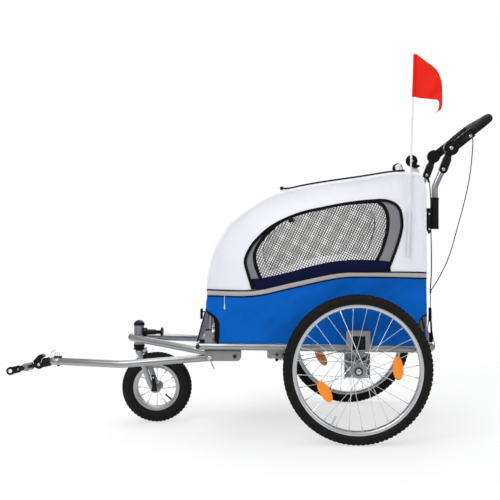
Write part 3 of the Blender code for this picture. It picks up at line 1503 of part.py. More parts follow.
def canopy_fabric():
    """The white canopy: roof, front, rear and sides in one skin, with its window openings."""
    outline = [*ROOF_LINE[::-1], *SEAM[::-1]]
    outer = plate(outline[::-1], -FABRIC_Y, FABRIC_Y)
    rounded_roof_edges(outer, ROOF_LINE[3:13], ROOF_EDGE_R)
    walls = inset(outline, FABRIC_WALL)
    count = len(ROOF_LINE)
    low = [(x, z - 0.05) for x, z in walls[count:]]
    inner = plate([*walls[:count], *low][::-1], -FABRIC_INNER_Y, FABRIC_INNER_Y)
    rounded_roof_edges(inner, walls[2 : count - 3], ROOF_EDGE_R - FABRIC_WALL)
    cuts = []
    for side in (LEFT, RIGHT):
        ys = sorted((side * (FABRIC_INNER_Y - 0.01), side * (FABRIC_Y + 0.01)))
        cuts.append(plate(WINDOW, *ys))
        half = CLAMP_THICK / 2 + 0.004
        cuts.append(
            box_side(
                side,
                UPRIGHT_X + 0.004,
                UPRIGHT_X + 0.034,
                SLEEVE_Y + 0.001 - half,
                SLEEVE_Y + 0.001 + half,
                SLEEVE_LOW_Z - 0.006,
                SLEEVE_TOP_Z + 0.006,
            )
        )
        half = UPRIGHT_R + 0.0025
        cuts.append(
            box_side(
                side,
                UPRIGHT_TOP_X - 0.018,
                UPRIGHT_X + 0.014,
                UPRIGHT_Y - half,
                UPRIGHT_Y + half,
                CROSSBAR_Z,
                UPRIGHT_TOP_Z - 0.008,
            )
        )
    shell = cut(outer, inner, *cuts)
    foot = (POLE_FOOT[0] - 0.0002, POLE_Y, POLE_FOOT[1] - 0.005)
    share = (POCKET_TOP_Z - POLE_FOOT[1]) / (POLE_TOP[1] - POLE_FOOT[1])
    top = (POLE_FOOT[0] + share * (POLE_TOP[0] - POLE_FOOT[0]), POLE_Y, POCKET_TOP_Z)
    pocket = rod(foot, top, POCKET_R, 12)
    half = POCKET_R / 2
    web = plate(
        [
            (foot[0] - half, foot[2]),
            (foot[0] + half, foot[2]),
            (top[0] + half, top[2]),
            (top[0] - half, top[2]),
        ],
        POLE_Y,
        -FABRIC_INNER_Y - 0.001,
    )
    way = Vector((POLE_TOP[0] - POLE_FOOT[0], 0, POLE_TOP[1] - POLE_FOOT[1])).normalized()
    start = Vector((POLE_FOOT[0], POLE_Y, POLE_FOOT[1])) - way * GAP
    bore = rod(start, start + way * 0.30, POLE_R + GAP, 10)
    keep(cut(joined(shell, web, pocket), bore), "canopy_fabric", WHITE_FABRIC)


def rounded_roof_edges(obj, line, radius):
    """Rounds the edges along the roof line where the roof turns down into the sides."""
    work = bmesh.new()
    work.from_mesh(obj.data)
    near = 0.0002
    chosen = []
    for edge in work.edges:
        if len(edge.link_faces) != 2:
            continue
        if abs(edge.verts[0].co.y - edge.verts[1].co.y) > near:
            continue
        ends = [
            any(abs(v.co.x - x) < near and abs(v.co.z - z) < near for x, z in line)
            for v in edge.verts
        ]
        turned_face = edge.calc_face_angle(0.0) > math.radians(60)
        if all(ends) and turned_face:
            chosen.append(edge)
    bmesh.ops.bevel(work, geom=chosen, offset=radius, segments=2, profile=0.5, affect="EDGES")
    bmesh.ops.remove_doubles(work, verts=work.verts, dist=0.00001)
    work.to_mesh(obj.data)
    work.free()


def window_net(name, side):
    """A flat net in the window opening: square gaps between crossing strands."""
    border = inset(WINDOW[::-1], GAP)
    rim = inset(WINDOW[::-1], NET_BORDER)
    slant = math.radians(18)
    along = Vector((math.cos(slant), math.sin(slant)))
    up = Vector((-math.sin(slant), math.cos(slant)))
    middle = Vector(NET_MIDDLE)
    half = (NET_CELL - NET_STRAND) / 2
    holes = []
    reach = 12
    for i in range(-reach, reach + 1):
        for j in range(-reach, reach + 1):
            centre = middle + along * i * NET_CELL + up * j * NET_CELL
            corners = [
                centre + along * half * a + up * half * b
                for a, b in ((-1, -1), (1, -1), (1, 1), (-1, 1))
            ]
            if all(inside(rim, corner) for corner in corners):
                holes.append([(c.x, c.y) for c in corners])
    ys = sorted((side * (FABRIC_Y - NET_IN), side * (FABRIC_Y - NET_IN - NET_THICK)))
    return keep(plate(border, *ys, holes=holes), name, NET_FABRIC)


def inside(outline, point):
    """Whether a point lies inside an outline."""
    crossings = 0
    for (x0, z0), (x1, z1) in zip(outline, outline[1:] + outline[:1]):
        if (z0 > point.y) != (z1 > point.y):
            at = x0 + (point.y - z0) * (x1 - x0) / (z1 - z0)
            crossings += at > point.x
    return crossings % 2 == 1


def flag():
    foot = (POLE_FOOT[0], POLE_Y, POLE_FOOT[1])
    top = (POLE_TOP[0], POLE_Y, POLE_TOP[1])
    keep(rod(foot, top, POLE_R, 10), "flag_pole", WHITE_POLE, foot)
    # a drooping pennant: rows run down its height, columns away from the pole
    rows, columns = 7, 11
    upper = [(top[0] + x, top[2] + z) for x, z in PENNANT_UPPER]
    lower = [(top[0] + x, top[2] + z) for x, z in PENNANT_LOWER]
    work = bmesh.new()
    grid = []
    for i in range(columns + 1):
        t = i / columns * (len(upper) - 1)
        k = min(int(t), len(upper) - 2)
        a = Vector(upper[k]).lerp(Vector(upper[k + 1]), t - k)
        b = Vector(lower[k]).lerp(Vector(lower[k + 1]), t - k)
        line = []
        for j in range(rows + 1):
            s = j / rows
            place = a.lerp(b, s)
            fold = 0.010 * math.sin(i / columns * 3.2 * math.pi + s * 2.2) * i / columns
            line.append(work.verts.new((place.x, POLE_Y + fold, place.y)))
        grid.append(line)
    for i in range(columns):
        for j in range(rows):
            work.faces.new((grid[i][j], grid[i + 1][j], grid[i + 1][j + 1], grid[i][j + 1]))
    bmesh.ops.recalc_face_normals(work, faces=work.faces)
    mesh = bpy.data.meshes.new("pennant")
    work.to_mesh(mesh)
    work.free()
    cloth = new_object("pennant", mesh)
    thick = cloth.modifiers.new("cloth thickness", "SOLIDIFY")
    thick.thickness = 0.0012
    thick.offset = 0
    keep(settle(cloth), "flag_pennant", RED_FABRIC, foot)


STRAP_Y = -0.1840
STRAP_X = 0.2565
STRAP_HALF = 0.008
STRAP_WRAP_R = 0.0155
STRAP_TOP_Z = 0.392
STRAP_FRONT = 0.0075  # webbing's faces at its top, from the cord's own line
STRAP_REAR = 0.0015
RING_HALF = (0.003, 0.005)
RING_Z = (0.4860, 0.4920)
LINK_R = 0.0015
LINK_Z = (0.4350, 0.4880)
BUCKLE_HALF = 0.010
BUCKLE_REAR = 0.003
BUCKLE_FRONT = 0.006
BUCKLE_Z = (0.3880, 0.4370)
LEFT_CORD = [
    (0.39662, -0.1900, 1.01954),
    (0.3997, -0.1900, 1.0156),
    (0.4008, -0.1900, 1.0060),
    (0.4000, -0.1900, 0.9850),
    (0.3965, -0.1900, 0.9426),
    (0.3895, -0.1900, 0.8844),
    (0.3741, -0.1900, 0.8091),
    (0.3477, -0.1900, 0.7108),
    (0.3217, -0.1900, 0.6200),
    (0.2954, -0.1900, 0.5598),
    (0.2690, -0.1880, 0.5129),
    (0.2585, -0.1868, 0.4985),
    (0.2575, -0.1865, 0.4925),
]
RIGHT_CORD = [
    (0.30531, 0.1900, 0.89836),
    (0.30811, 0.1900, 0.89352),
    (0.3093, 0.1850, 0.8700),
    (0.3040, 0.1500, 0.8000),
    (0.2950, 0.0900, 0.7400),
    (0.2880, 0.0000, 0.6700),
    (0.2830, -0.0900, 0.5900),
    (0.2760, -0.1500, 0.5350),
    (0.2600, -0.1780, 0.5030),
    (0.2560, -0.1815, 0.4965),
    (0.2560, -0.1815, 0.4925),
]


def tethers():
    """The two handle cords, and the rod, buckle and webbing that tie them to the base."""
    for points, radius, name, material in (
        (LEFT_CORD, 0.00175, "left_tether_cord", CORD_GREY),
        (RIGHT_CORD, 0.0020, "right_tether_cord", CORD_BLACK),
    ):
        path = [points[0], *flowing(points[1:-1], 2), points[-1]]
        keep(tube(path, radius, 2), name, material, TILT)
    x, y = STRAP_X, STRAP_Y
    ring_x, ring_y = RING_HALF
    ring = box((x - ring_x, y - ring_y, RING_Z[0]), (x + ring_x, y + ring_y, RING_Z[1]))
    link = rod((x - 0.001, y, LINK_Z[0]), (x, y, LINK_Z[1]), LINK_R, 8)
    buckle = box(
        (x - BUCKLE_FRONT, y - BUCKLE_HALF, BUCKLE_Z[0]), (x + BUCKLE_REAR, y + BUCKLE_HALF, BUCKLE_Z[1])
    )
    # the webbing comes down from the buckle and goes round the rear cross tube
    loop = [(x - STRAP_FRONT, STRAP_TOP_Z)]
    for k in range(9):
        angle = math.radians(165 + 210 * k / 8)
        x_round, z_round = STRAP_WRAP_R * math.cos(angle), STRAP_WRAP_R * math.sin(angle)
        loop.append((RAIL_REAR_X + x_round, RAIL_REAR_Z + z_round))
    loop.append((x + STRAP_REAR, STRAP_TOP_Z))
    strap = plate(loop, y - STRAP_HALF, y + STRAP_HALF)
    tube_room = rod(
        (RAIL_REAR_X, y - 0.02, RAIL_REAR_Z), (RAIL_REAR_X, y + 0.02, RAIL_REAR_Z), TUBE_R + 0.0006, 24
    )
    keep(joined(cut(strap, tube_room), buckle, link, ring), "tether_strap", CORD_BLACK)


def build():
    for word, side in SIDES:
        side_rail(f"{word}_side_rail", side)
        suspension_housing(f"{word}_suspension_housing", side)
        elastomer(f"{word}_elastomer", side)
        hub_carrier(f"{word}_hub_carrier", side)
        wheel_axle(f"{word}_wheel_axle", side)
        release_button(f"{word}_release_button", side)
        rear_tyre(f"{word}_tyre", side)
        rear_rim(f"{word}_rim", side)
        rear_hub(f"{word}_hub_spokes", side)
        reflector(f"{word}_lower_reflector", side, math.radians(212))
        reflector(f"{word}_rear_reflector", side, math.radians(3))
        upright(f"{word}_upright", side)
        fold_lever(f"{word}_fold_lever", side)
        post_sleeve(f"{word}_post_sleeve", side)
        handle_post(f"{word}_handle_post", side)
        upper_arm(f"{word}_upper_arm", side)
        window_net(f"{word}_window_net", side)
    cross_tube("rear_cross_tube", RAIL_REAR_X, RAIL_REAR_Z, RAIL_Y - RAIL_BEND_R - 0.012 - GAP)
    front_frame()
    head_cap()
    caster_fork()
    front_skewer()
    quick_lever()
    front_tyre()
    front_wheel_core()
    swivel_lock()
    tow_bar_receiver()
    tow_bar()
    lock_pin()
    hitch()
    rear_crossbar()
    canopy_arch()
    floor_panel()
    tub_fabric()
    canopy_fabric()
    flag()
    tethers()
    handle_grip()


build()
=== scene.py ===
# %% [markdown]
# # Folding bicycle trailer
# A fabric cabin on a folding tube frame, with two spoked wheels, a swivelling front wheel, a tow
# bar and a push handle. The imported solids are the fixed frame: every piece here is built where
# the solids are, in metres, rides on their bodies and takes the place of the plainer solids.

import math

import bmesh
import bpy
from mathutils import Matrix, Vector, geometry, noise


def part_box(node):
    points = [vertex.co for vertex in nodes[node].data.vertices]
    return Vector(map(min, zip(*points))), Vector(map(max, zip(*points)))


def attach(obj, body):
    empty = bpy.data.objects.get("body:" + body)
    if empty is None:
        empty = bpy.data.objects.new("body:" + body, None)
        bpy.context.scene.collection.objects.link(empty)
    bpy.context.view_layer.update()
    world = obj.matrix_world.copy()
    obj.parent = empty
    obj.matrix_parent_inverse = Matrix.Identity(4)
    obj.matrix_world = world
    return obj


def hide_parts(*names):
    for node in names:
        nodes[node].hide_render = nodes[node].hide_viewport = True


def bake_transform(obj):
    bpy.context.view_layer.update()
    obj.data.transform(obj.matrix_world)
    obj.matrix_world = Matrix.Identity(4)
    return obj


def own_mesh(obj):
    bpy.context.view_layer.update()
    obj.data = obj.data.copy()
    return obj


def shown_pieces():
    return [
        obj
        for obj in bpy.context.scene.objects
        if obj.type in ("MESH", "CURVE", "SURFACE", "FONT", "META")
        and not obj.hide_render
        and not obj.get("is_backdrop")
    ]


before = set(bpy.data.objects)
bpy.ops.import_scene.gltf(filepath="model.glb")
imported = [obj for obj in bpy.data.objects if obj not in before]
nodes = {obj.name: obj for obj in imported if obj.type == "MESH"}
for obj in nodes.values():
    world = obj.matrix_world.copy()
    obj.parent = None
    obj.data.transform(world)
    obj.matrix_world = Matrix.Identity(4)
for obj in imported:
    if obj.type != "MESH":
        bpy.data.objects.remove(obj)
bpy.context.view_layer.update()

# %% [markdown]
# Lengths are counted from the rear axle, as the solids' own lengths are, and one shift brings a
# point to the shared frame. The main sizes of the real trailer are written once here.

# %% Sizes of the real trailer
AXLE_X = 0.37
LEFT, RIGHT = -1, 1
SIDES = (("left", LEFT), ("right", RIGHT))
ACROSS, UP = (0, 1, 0), (0, 0, 1)
GAP = 0.0003
TUBE_R, SLIM_R = 0.0125, 0.011
RAIL_Y, UPRIGHT_Y, POST_Y = 0.235, 0.195, 0.19
CROSS_X, CROSS_Z = 0.257, 0.302
FABRIC_Y = 0.2415
CLOTH = 0.0016
ROOF_EDGE_R = 0.013
TYRE_R, WHEEL_Y = 0.247, 0.31
FRONT_TYRE_R = 0.127
HEAD_X, FRONT_AXLE_X = -0.7812, -0.7157
TILT = Vector((0.326, 0, 0.983))
GRIP_SLOPE = math.radians(38.5)
GRIP_WAY = Vector((math.cos(GRIP_SLOPE), 0, math.sin(GRIP_SLOPE)))


def at(x, y, z):
    """A point of the shared frame, from lengths counted from the rear axle."""
    return Vector((x + AXLE_X, y, z))


print("lengths counted from the axle at", AXLE_X)

# %% [markdown]
# The camera stands level with the canopy on the trailer's left, three metres away, as the
# photographer's did. Its shift only frames the view: the vanishing point lies a little right of
# the middle of the picture and a little above it.

# %% Camera
CAMERA_X, CAMERA_Y, CAMERA_Z = 0.1993, -2.95, 0.744
camera_data = bpy.data.cameras.new("studio_camera")
camera_data.sensor_width, camera_data.lens = 36.0, 58.03
camera_data.shift_x, camera_data.shift_y = -0.112, -0.064
camera = bpy.data.objects.new("studio_camera", camera_data)
camera.location = (CAMERA_X, CAMERA_Y, CAMERA_Z)
camera.rotation_euler = (math.pi / 2, 0, 0)
bpy.context.scene.collection.objects.link(camera)
bpy.context.scene.camera = camera
print("camera at", tuple(camera.location))

# %% [markdown]
# Mesh helpers. Each makes one plain mesh in place, with its object at the origin: a tube swept
# along a path, a turned shape, a bevelled plate and a rounded block. Parts of a piece need no
# names of their own, since they are merged under the name of the piece.

# %% Mesh helpers
def link(name, mesh):
    """An object for a mesh, in the scene."""
    obj = bpy.data.objects.new(name, mesh)
    bpy.context.scene.collection.objects.link(obj)
    return obj


def shaded(mesh, smooth):
    """Smooth shading, with the edges above an angle in degrees kept sharp."""
    mesh.shade_smooth()
    mesh.set_sharp_from_angle(angle=math.radians(smooth))


def piece(points, faces, material, smooth=35, name="part"):
    """A mesh object from points and faces."""
    mesh = bpy.data.meshes.new(name)
    mesh.from_pydata([tuple(p) for p in points], [], faces)
    mesh.update()
    mesh.materials.append(material)
    shaded(mesh, smooth)
    return link(name, mesh)


def baked(obj):
    """The object's curve or modifiers turned into one plain mesh at the origin."""
    bpy.context.view_layer.update()
    graph = bpy.context.evaluated_depsgraph_get()
    mesh = bpy.data.meshes.new_from_object(obj.evaluated_get(graph))
    mesh.transform(obj.matrix_world)
    name = obj.name
    bpy.data.objects.remove(obj)
    mesh.name = name
    return link(name, mesh)


def clean(obj, smooth=35, outward=True):
    """Merges doubles, points faces outwards and shades the piece smooth up to an angle."""
    work = bmesh.new()
    work.from_mesh(obj.data)
    bmesh.ops.remove_doubles(work, verts=work.verts, dist=0.00002)
    bmesh.ops.dissolve_degenerate(work, edges=work.edges, dist=0.000005)
    if outward:
        bmesh.ops.recalc_face_normals(work, faces=work.faces)
    work.to_mesh(obj.data)
    work.free()
    shaded(obj.data, smooth)
    return obj


def merged(name, parts):
    """Several parts as one object; each keeps its own materials."""
    work = bmesh.new()
    materials = []
    for part in parts:
        slots = []
        for material in part.data.materials:
            if material not in materials:
                materials.append(material)
            slots.append(materials.index(material))
        mesh = part.data.copy()
        for face in mesh.polygons:
            face.material_index = slots[face.material_index]
        work.from_mesh(mesh)
        bpy.data.meshes.remove(mesh)
        bpy.data.objects.remove(part)
    mesh = bpy.data.meshes.new(name)
    work.to_mesh(mesh)
    work.free()
    for material in materials:
        mesh.materials.append(material)
    return link(name, mesh)


def circle(centre, across, other, radius, count):
    """Points round a circle in the plane of two directions."""
    turns = [2 * math.pi * k / count for k in range(count)]
    return [centre + (across * math.cos(a) + other * math.sin(a)) * radius for a in turns]


def grid(rows, width, first=0, round_rows=False, round_width=False):
    """Four-cornered faces between rows of points; rows, and each row, may close in a ring."""
    faces = []
    for i in range(rows if round_rows else rows - 1):
        low, high = first + i * width, first + (i + 1) % rows * width
        for k in range(width if round_width else width - 1):
            n = (k + 1) % width
            faces.append((low + k, low + n, high + n, high + k))
    return faces


def end_faces(count, sides):
    """The two flat ends of a swept section with so many points in all."""
    return [tuple(range(sides))[::-1], tuple(range(count - sides, count))]


def tube(path, radius, material, sides=24, cap=0.0, name="part"):
    """A round tube along points, with flat or softly rounded ends; radius may change."""
    path = [Vector(p) for p in path]
    radii = radius if isinstance(radius, (list, tuple)) else [radius] * len(path)
    ways = []
    for k, place in enumerate(path):
        ahead = path[min(k + 1, len(path) - 1)] - place
        behind = place - path[max(k - 1, 0)]
        ways.append((ahead.normalized() + behind.normalized()).normalized())
    rings = list(zip(path, radii, ways))
    if cap:
        (a, ra, wa), (b, rb, wb) = rings[0], rings[-1]
        rings[:1] = [(a, ra - cap, wa), (a + wa * cap * 0.3, ra - cap * 0.3, wa), (a + wa * cap, ra, wa)]
        rings[-1:] = [(b - wb * cap, rb, wb), (b - wb * cap * 0.3, rb - cap * 0.3, wb), (b, rb - cap, wb)]
    across, before, points = ways[0].orthogonal().normalized(), ways[0], []
    for centre, size, way in rings:
        across = before.rotation_difference(way) @ across
        across = (across - way * across.dot(way)).normalized()
        points += circle(centre, across, way.cross(across), size, sides)
        before = way
    faces = grid(len(rings), sides, round_width=True) + end_faces(len(points), sides)
    return piece(points, faces, material, name=name)


def lathe(profile, centre, axis, material, steps=64, closed=False, smooth=35, name="part"):
    """A turned shape from (radius, height) points; an end at radius 0 closes in a pole."""
    axis, centre = Vector(axis).normalized(), Vector(centre)
    across = axis.orthogonal().normalized()
    points, faces, rows = [], [], []
    for radius, height in profile:
        first = len(points)
        if radius < 1e-6:
            rows.append([first] * steps)
            points.append(centre + axis * height)
        else:
            rows.append(range(first, first + steps))
            points += circle(centre + axis * height, across, axis.cross(across), radius, steps)
    for low, high in zip(rows, rows[1:] + rows[:1] if closed else rows[1:]):
        for k in range(steps):
            n = (k + 1) % steps
            face = tuple(dict.fromkeys((low[k], low[n], high[n], high[k])))
            if len(face) > 2:
                faces.append(face)
    return clean(piece(points, faces, material, smooth, name), smooth)


def plate(outline, y_low, y_high, material, bevel=0.0006, name="part"):
    """A flat outline (x, z counted from the axle) with a thickness along Y and soft edges."""
    curve = bpy.data.curves.new(name, "CURVE")
    curve.dimensions, curve.fill_mode = "2D", "BOTH"
    curve.extrude = (y_high - y_low) / 2 - bevel
    curve.bevel_depth, curve.bevel_resolution, curve.offset = bevel, 1, -bevel
    spline = curve.splines.new("POLY")
    spline.points.add(len(outline) - 1)
    for point, (x, z) in zip(spline.points, outline):
        point.co = (x + AXLE_X, z, 0, 1)
    spline.use_cyclic_u = True
    obj = link(name, curve)
    obj.rotation_euler = (math.pi / 2, 0, 0)
    obj.location = (0, (y_low + y_high) / 2, 0)
    obj = baked(obj)
    obj.data.materials.clear()
    obj.data.materials.append(material)
    return clean(obj, 50)


def block(low, high, material, bevel=0.001, segments=2, name="part"):
    """A box between two corners of the shared frame, with rounded edges."""
    low, high = Vector(low), Vector(high)
    work = bmesh.new()
    bmesh.ops.create_cube(work, size=1)
    bmesh.ops.scale(work, vec=high - low, verts=work.verts)
    bmesh.ops.translate(work, vec=(low + high) / 2, verts=work.verts)
    bmesh.ops.bevel(
        work, geom=work.edges[:], offset=bevel, segments=segments, profile=0.5, affect="EDGES"
    )
    mesh = bpy.data.meshes.new(name)
    work.to_mesh(mesh)
    work.free()
    mesh.materials.append(material)
    shaded(mesh, 50)
    return link(name, mesh)


def crate(xs, ys, zs, material, bevel=0.001, name="part"):
    """A rounded block from its reach along x (from the axle), y and z."""
    y_low, y_high = sorted(ys)
    return block(at(xs[0], y_low, zs[0]), at(xs[1], y_high, zs[1]), material, bevel, name=name)


print("mesh helpers: tube, lathe, plate, block and crate")

# %% [markdown]
# Lines. Paths through the air are lists of points in the shared frame; flat lines are lists of
# (x, z) counted from the axle, as the side view shows them.

# %% Line helpers
def bent(corners, radii, steps=8):
    """A path through corners, with each inner corner made an arc of its own radius."""
    corners = [Vector(c) for c in corners]
    path = [corners[0]]
    for before, corner, after, radius in zip(corners, corners[1:], corners[2:], radii):
        towards, away = (before - corner).normalized(), (after - corner).normalized()
        half = towards.angle(away) / 2
        reach = radius / math.tan(half)
        middle = corner + (towards + away).normalized() * (radius / math.sin(half))
        first, last = corner + towards * reach - middle, corner + away * reach - middle
        sweep = first.angle(last)
        for k in range(steps + 1):
            part = k / steps
            blend = first * math.sin((1 - part) * sweep) + last * math.sin(part * sweep)
            path.append(middle + blend / math.sin(sweep))
    path.append(corners[-1])
    return path


def flowing(points, per_span=6):
    """Points read from a smooth curve through the given ones."""
    points = [Vector(p) for p in points]
    ends = [2 * points[0] - points[1], *points, 2 * points[-1] - points[-2]]
    path = []
    for a, b, c, d in zip(ends, ends[1:], ends[2:], ends[3:]):
        square, cube = 2 * a - 5 * b + 4 * c - d, 3 * b - a - 3 * c + d
        for k in range(per_span):
            t = k / per_span
            path.append(0.5 * (2 * b + (c - a) * t + square * t**2 + cube * t**3))
    return [*path, points[-1]]


def evenly(path, spacing):
    """The same line with its points a given distance apart."""
    path = [Vector(p) for p in path]
    total = sum((b - a).length for a, b in zip(path, path[1:]))
    count = max(2, round(total / spacing))
    step, due, gone, out = total / count, total / count, 0.0, [path[0]]
    for a, b in zip(path, path[1:]):
        length = (b - a).length
        while length > 0 and gone + length >= due - 1e-9 and len(out) < count:
            out.append(a.lerp(b, (due - gone) / length))
            due += step
        gone += length
    out.append(path[-1])
    return out


def upright(line):
    """A flat line as points in the middle plane, and back again with laid_flat."""
    return [Vector((x, 0, z)) for x, z in line]


def laid_flat(path):
    return [(p.x, p.z) for p in path]


def flat_flow(points, per_span=6):
    """A smooth flat line through flat points."""
    return laid_flat(flowing(upright(points), per_span))


def flat_even(line, spacing):
    """A flat line with its points a given distance apart."""
    return laid_flat(evenly(upright(line), spacing))


def flat_ring(line, spacing):
    """A closed flat line, evenly spaced, without its first point at the end."""
    return flat_even([*line, line[0]], spacing)[:-1]


def inside(outline, x, z):
    """Whether a point lies inside an outline."""
    crossings = 0
    for (x0, z0), (x1, z1) in zip(outline, outline[1:] + outline[:1]):
        if (z0 > z) != (z1 > z):
            crossings += x0 + (z - z0) * (x1 - x0) / (z1 - z0) > x
    return crossings % 2 == 1


def z_on(line, x):
    """Height of a flat line at a given x."""
    for (x0, z0), (x1, z1) in zip(line, line[1:]):
        if x0 <= x <= x1 and x1 > x0:
            return z0 + (x - x0) / (x1 - x0) * (z1 - z0)
    return line[0][1] if x < line[0][0] else line[-1][1]


def neighbours(line, k):
    """The points before and after one of a line's points, or the end itself."""
    return line[max(k - 1, 0)], line[min(k + 1, len(line) - 1)]


print("line helpers: bent, flowing, evenly and their flat forms")

# %% [markdown]
# Finishes. What several of them share is a node group with its own sizes as inputs: cloth weave,
# moulded grain, and fine handling marks. Each group gives a shade from 0 to 1 and a height, and
# every finish mixes its own colours and feeds its own Bump from them.

# %% Node helpers
SOCKETS = {
    float: "NodeSocketFloat", int: "NodeSocketInt", "place": "NodeSocketVector",
    "shape": "NodeSocketGeometry", "finish": "NodeSocketMaterial", "value": "NodeSocketFloat",
}


def tree_of(name, kind, inputs, outputs):
    """A node tree with its sockets, each named with its first value or its kind."""
    tree = bpy.data.node_groups.new(name, kind + "NodeTree")
    for in_out, sockets in (("INPUT", inputs), ("OUTPUT", outputs)):
        for label, given in sockets:
            sort = given if isinstance(given, str) else type(given)
            socket = tree.interface.new_socket(label, in_out=in_out, socket_type=SOCKETS[sort])
            if sort is not given:
                socket.default_value = given
    return tree, tree.nodes.new("NodeGroupInput").outputs, tree.nodes.new("NodeGroupOutput").inputs


def node_in(tree, kind, **settings):
    """A node with its settings, whose inputs are named by words or numbers."""
    node = tree.nodes.new(kind)
    inputs = settings.pop("inputs", {})
    for key, value in settings.items():
        setattr(node, key, value)
    for socket, given in inputs.items():
        if hasattr(given, "links"):
            tree.links.new(given, node.inputs[socket])
        else:
            node.inputs[socket].default_value = given
    return node


def maths(tree, operation, a, b=0.5):
    """The value of one sum."""
    return node_in(tree, "ShaderNodeMath", operation=operation, inputs={0: a, 1: b}).outputs[0]


def noise_in(tree, place, scale, detail, rough=0.5):
    """The value of a noise texture at a place."""
    inputs = {"Vector": place, "Scale": scale, "Detail": detail, "Roughness": rough}
    return node_in(tree, "ShaderNodeTexNoise", inputs=inputs).outputs["Fac"]


print("node helpers ready, kinds of socket:", len(SOCKETS))

# %% [markdown]
# Three effects serve every finish, so each is one node group with sizes in metres: the threads of
# a woven cloth, the fine grain of a skin, and the scratches that handling leaves. A picture of
# cloth could do it too, but it would blur close by and repeat.

# %% Shared effects
def weave_group():
    """Over-and-under threads of a plain weave, from a place in metres."""
    tree, given, out = tree_of(
        "plain_weave", "Shader",
        [("Place", "place"), ("Threads per metre", 900.0), ("Slub", 0.35)],
        [("Shade", "value"), ("Height", "value")],
    )
    split = node_in(tree, "ShaderNodeSeparateXYZ", inputs={0: given["Place"]})
    waves = []
    for axis in (0, 1):
        turn = maths(tree, "MULTIPLY", split.outputs[axis], given["Threads per metre"])
        waves.append(maths(tree, "SINE", maths(tree, "MULTIPLY", turn, math.pi)))
    crossing = maths(tree, "MULTIPLY", *waves)
    level = maths(tree, "MULTIPLY_ADD", crossing, 0.5)
    level.node.inputs[2].default_value = 0.5
    slub = noise_in(tree, given["Place"], 90.0, 3.0, 0.6)
    total = maths(tree, "ADD", level, maths(tree, "MULTIPLY", slub, given["Slub"]))
    tree.links.new(total, out["Height"])
    tree.links.new(total, out["Shade"])
    return tree


def grain_group():
    """Fine even grain with broad soft patches, for moulded, painted and rubber skins."""
    tree, given, out = tree_of(
        "skin_grain", "Shader",
        [("Place", "place"), ("Grain size", 0.001), ("Patch size", 0.05)],
        [("Grain", "value"), ("Patches", "value")],
    )
    for label, socket, detail in (("Grain", "Grain size", 2.0), ("Patches", "Patch size", 3.0)):
        scale = maths(tree, "DIVIDE", 1.0, given[socket])
        tree.links.new(noise_in(tree, given["Place"], scale, detail), out[label])
    return tree


def marks_group():
    """Sparse fine scratches and rubbed spots, as handling leaves on metal and plastic."""
    tree, given, out = tree_of(
        "handling_marks", "Shader",
        [("Place", "place"), ("Length", 0.02), ("Amount", 0.5)], [("Marks", "value")],
    )
    stretch = {"Vector": given["Place"], "Rotation": (0.3, 0.7, 0.2), "Scale": (1, 9, 9)}
    place = node_in(tree, "ShaderNodeMapping", inputs=stretch).outputs[0]
    lines = noise_in(tree, place, maths(tree, "DIVIDE", 1.0, given["Length"]), 4.0, 0.7)
    edge = {"Value": lines, "From Min": 0.58, "From Max": 0.72}
    edge = node_in(tree, "ShaderNodeMapRange", inputs=edge).outputs[0]
    tree.links.new(maths(tree, "MULTIPLY", edge, given["Amount"]), out[0])
    return tree


WEAVE, GRAIN, MARKS = weave_group(), grain_group(), marks_group()
print("shared effects:", WEAVE.name, GRAIN.name, MARKS.name)


# %% [markdown]
# Two builders make all finishes. Cloth needs relief from its threads and lets some light through;
# metal, plastic and rubber need grain, a few marks and a roughness that changes a little. One
# function for each kind keeps the finishes alike where the real ones are alike.

# %% Material builders
def set_sockets(node, **values):
    """Sets inputs by their labels, written with low lines for spaces."""
    for label, value in values.items():
        node.inputs[label.replace("_", " ")].default_value = value
    return node


def blank(name):
    """A new material, its tree and its Principled shader."""
    material = bpy.data.materials.new(name)
    material.use_nodes = True
    tree = material.node_tree
    return material, tree, tree.nodes["Principled BSDF"]


def place_of(tree, uv=None):
    """Where a pattern lies: the piece's own metres, or a map that follows its surface."""
    if uv:
        return node_in(tree, "ShaderNodeUVMap", uv_map=uv).outputs[0]
    return node_in(tree, "ShaderNodeTexCoord").outputs["Object"]


def effect(tree, group, place, **sizes):
    """The outputs of a shared effect at a place."""
    node = node_in(tree, "ShaderNodeGroup", node_tree=group)
    tree.links.new(place, node.inputs["Place"])
    return set_sockets(node, **sizes).outputs


def ramp(tree, factor, *stops):
    """A colour ramp from two (position, colour) stops."""
    node = node_in(tree, "ShaderNodeValToRGB", inputs={0: factor})
    for element, (position, colour) in zip(node.color_ramp.elements, stops):
        element.position = position
        element.color = (*colour, 1)
    return node.outputs[0]


def mixed(tree, kind, factor, a, b):
    """Colour b laid over colour a; either may be a socket or three numbers."""
    node = node_in(tree, "ShaderNodeMix", data_type="RGBA", blend_type=kind)
    for number, given in ((0, factor), (6, a), (7, b)):
        if hasattr(given, "links"):
            tree.links.new(given, node.inputs[number])
        else:
            node.inputs[number].default_value = (*given, 1) if number else given
    return node.outputs[2]


def relief(tree, shader, *heights):
    """One Bump after another, each from (height, strength, distance in metres)."""
    normal = None
    for height, strength, distance in heights:
        inputs = {"Height": height, "Strength": strength, "Distance": distance}
        bump = node_in(tree, "ShaderNodeBump", inputs=inputs)
        if normal:
            tree.links.new(normal, bump.inputs["Normal"])
        normal = bump.outputs[0]
    tree.links.new(normal, shader.inputs["Normal"])


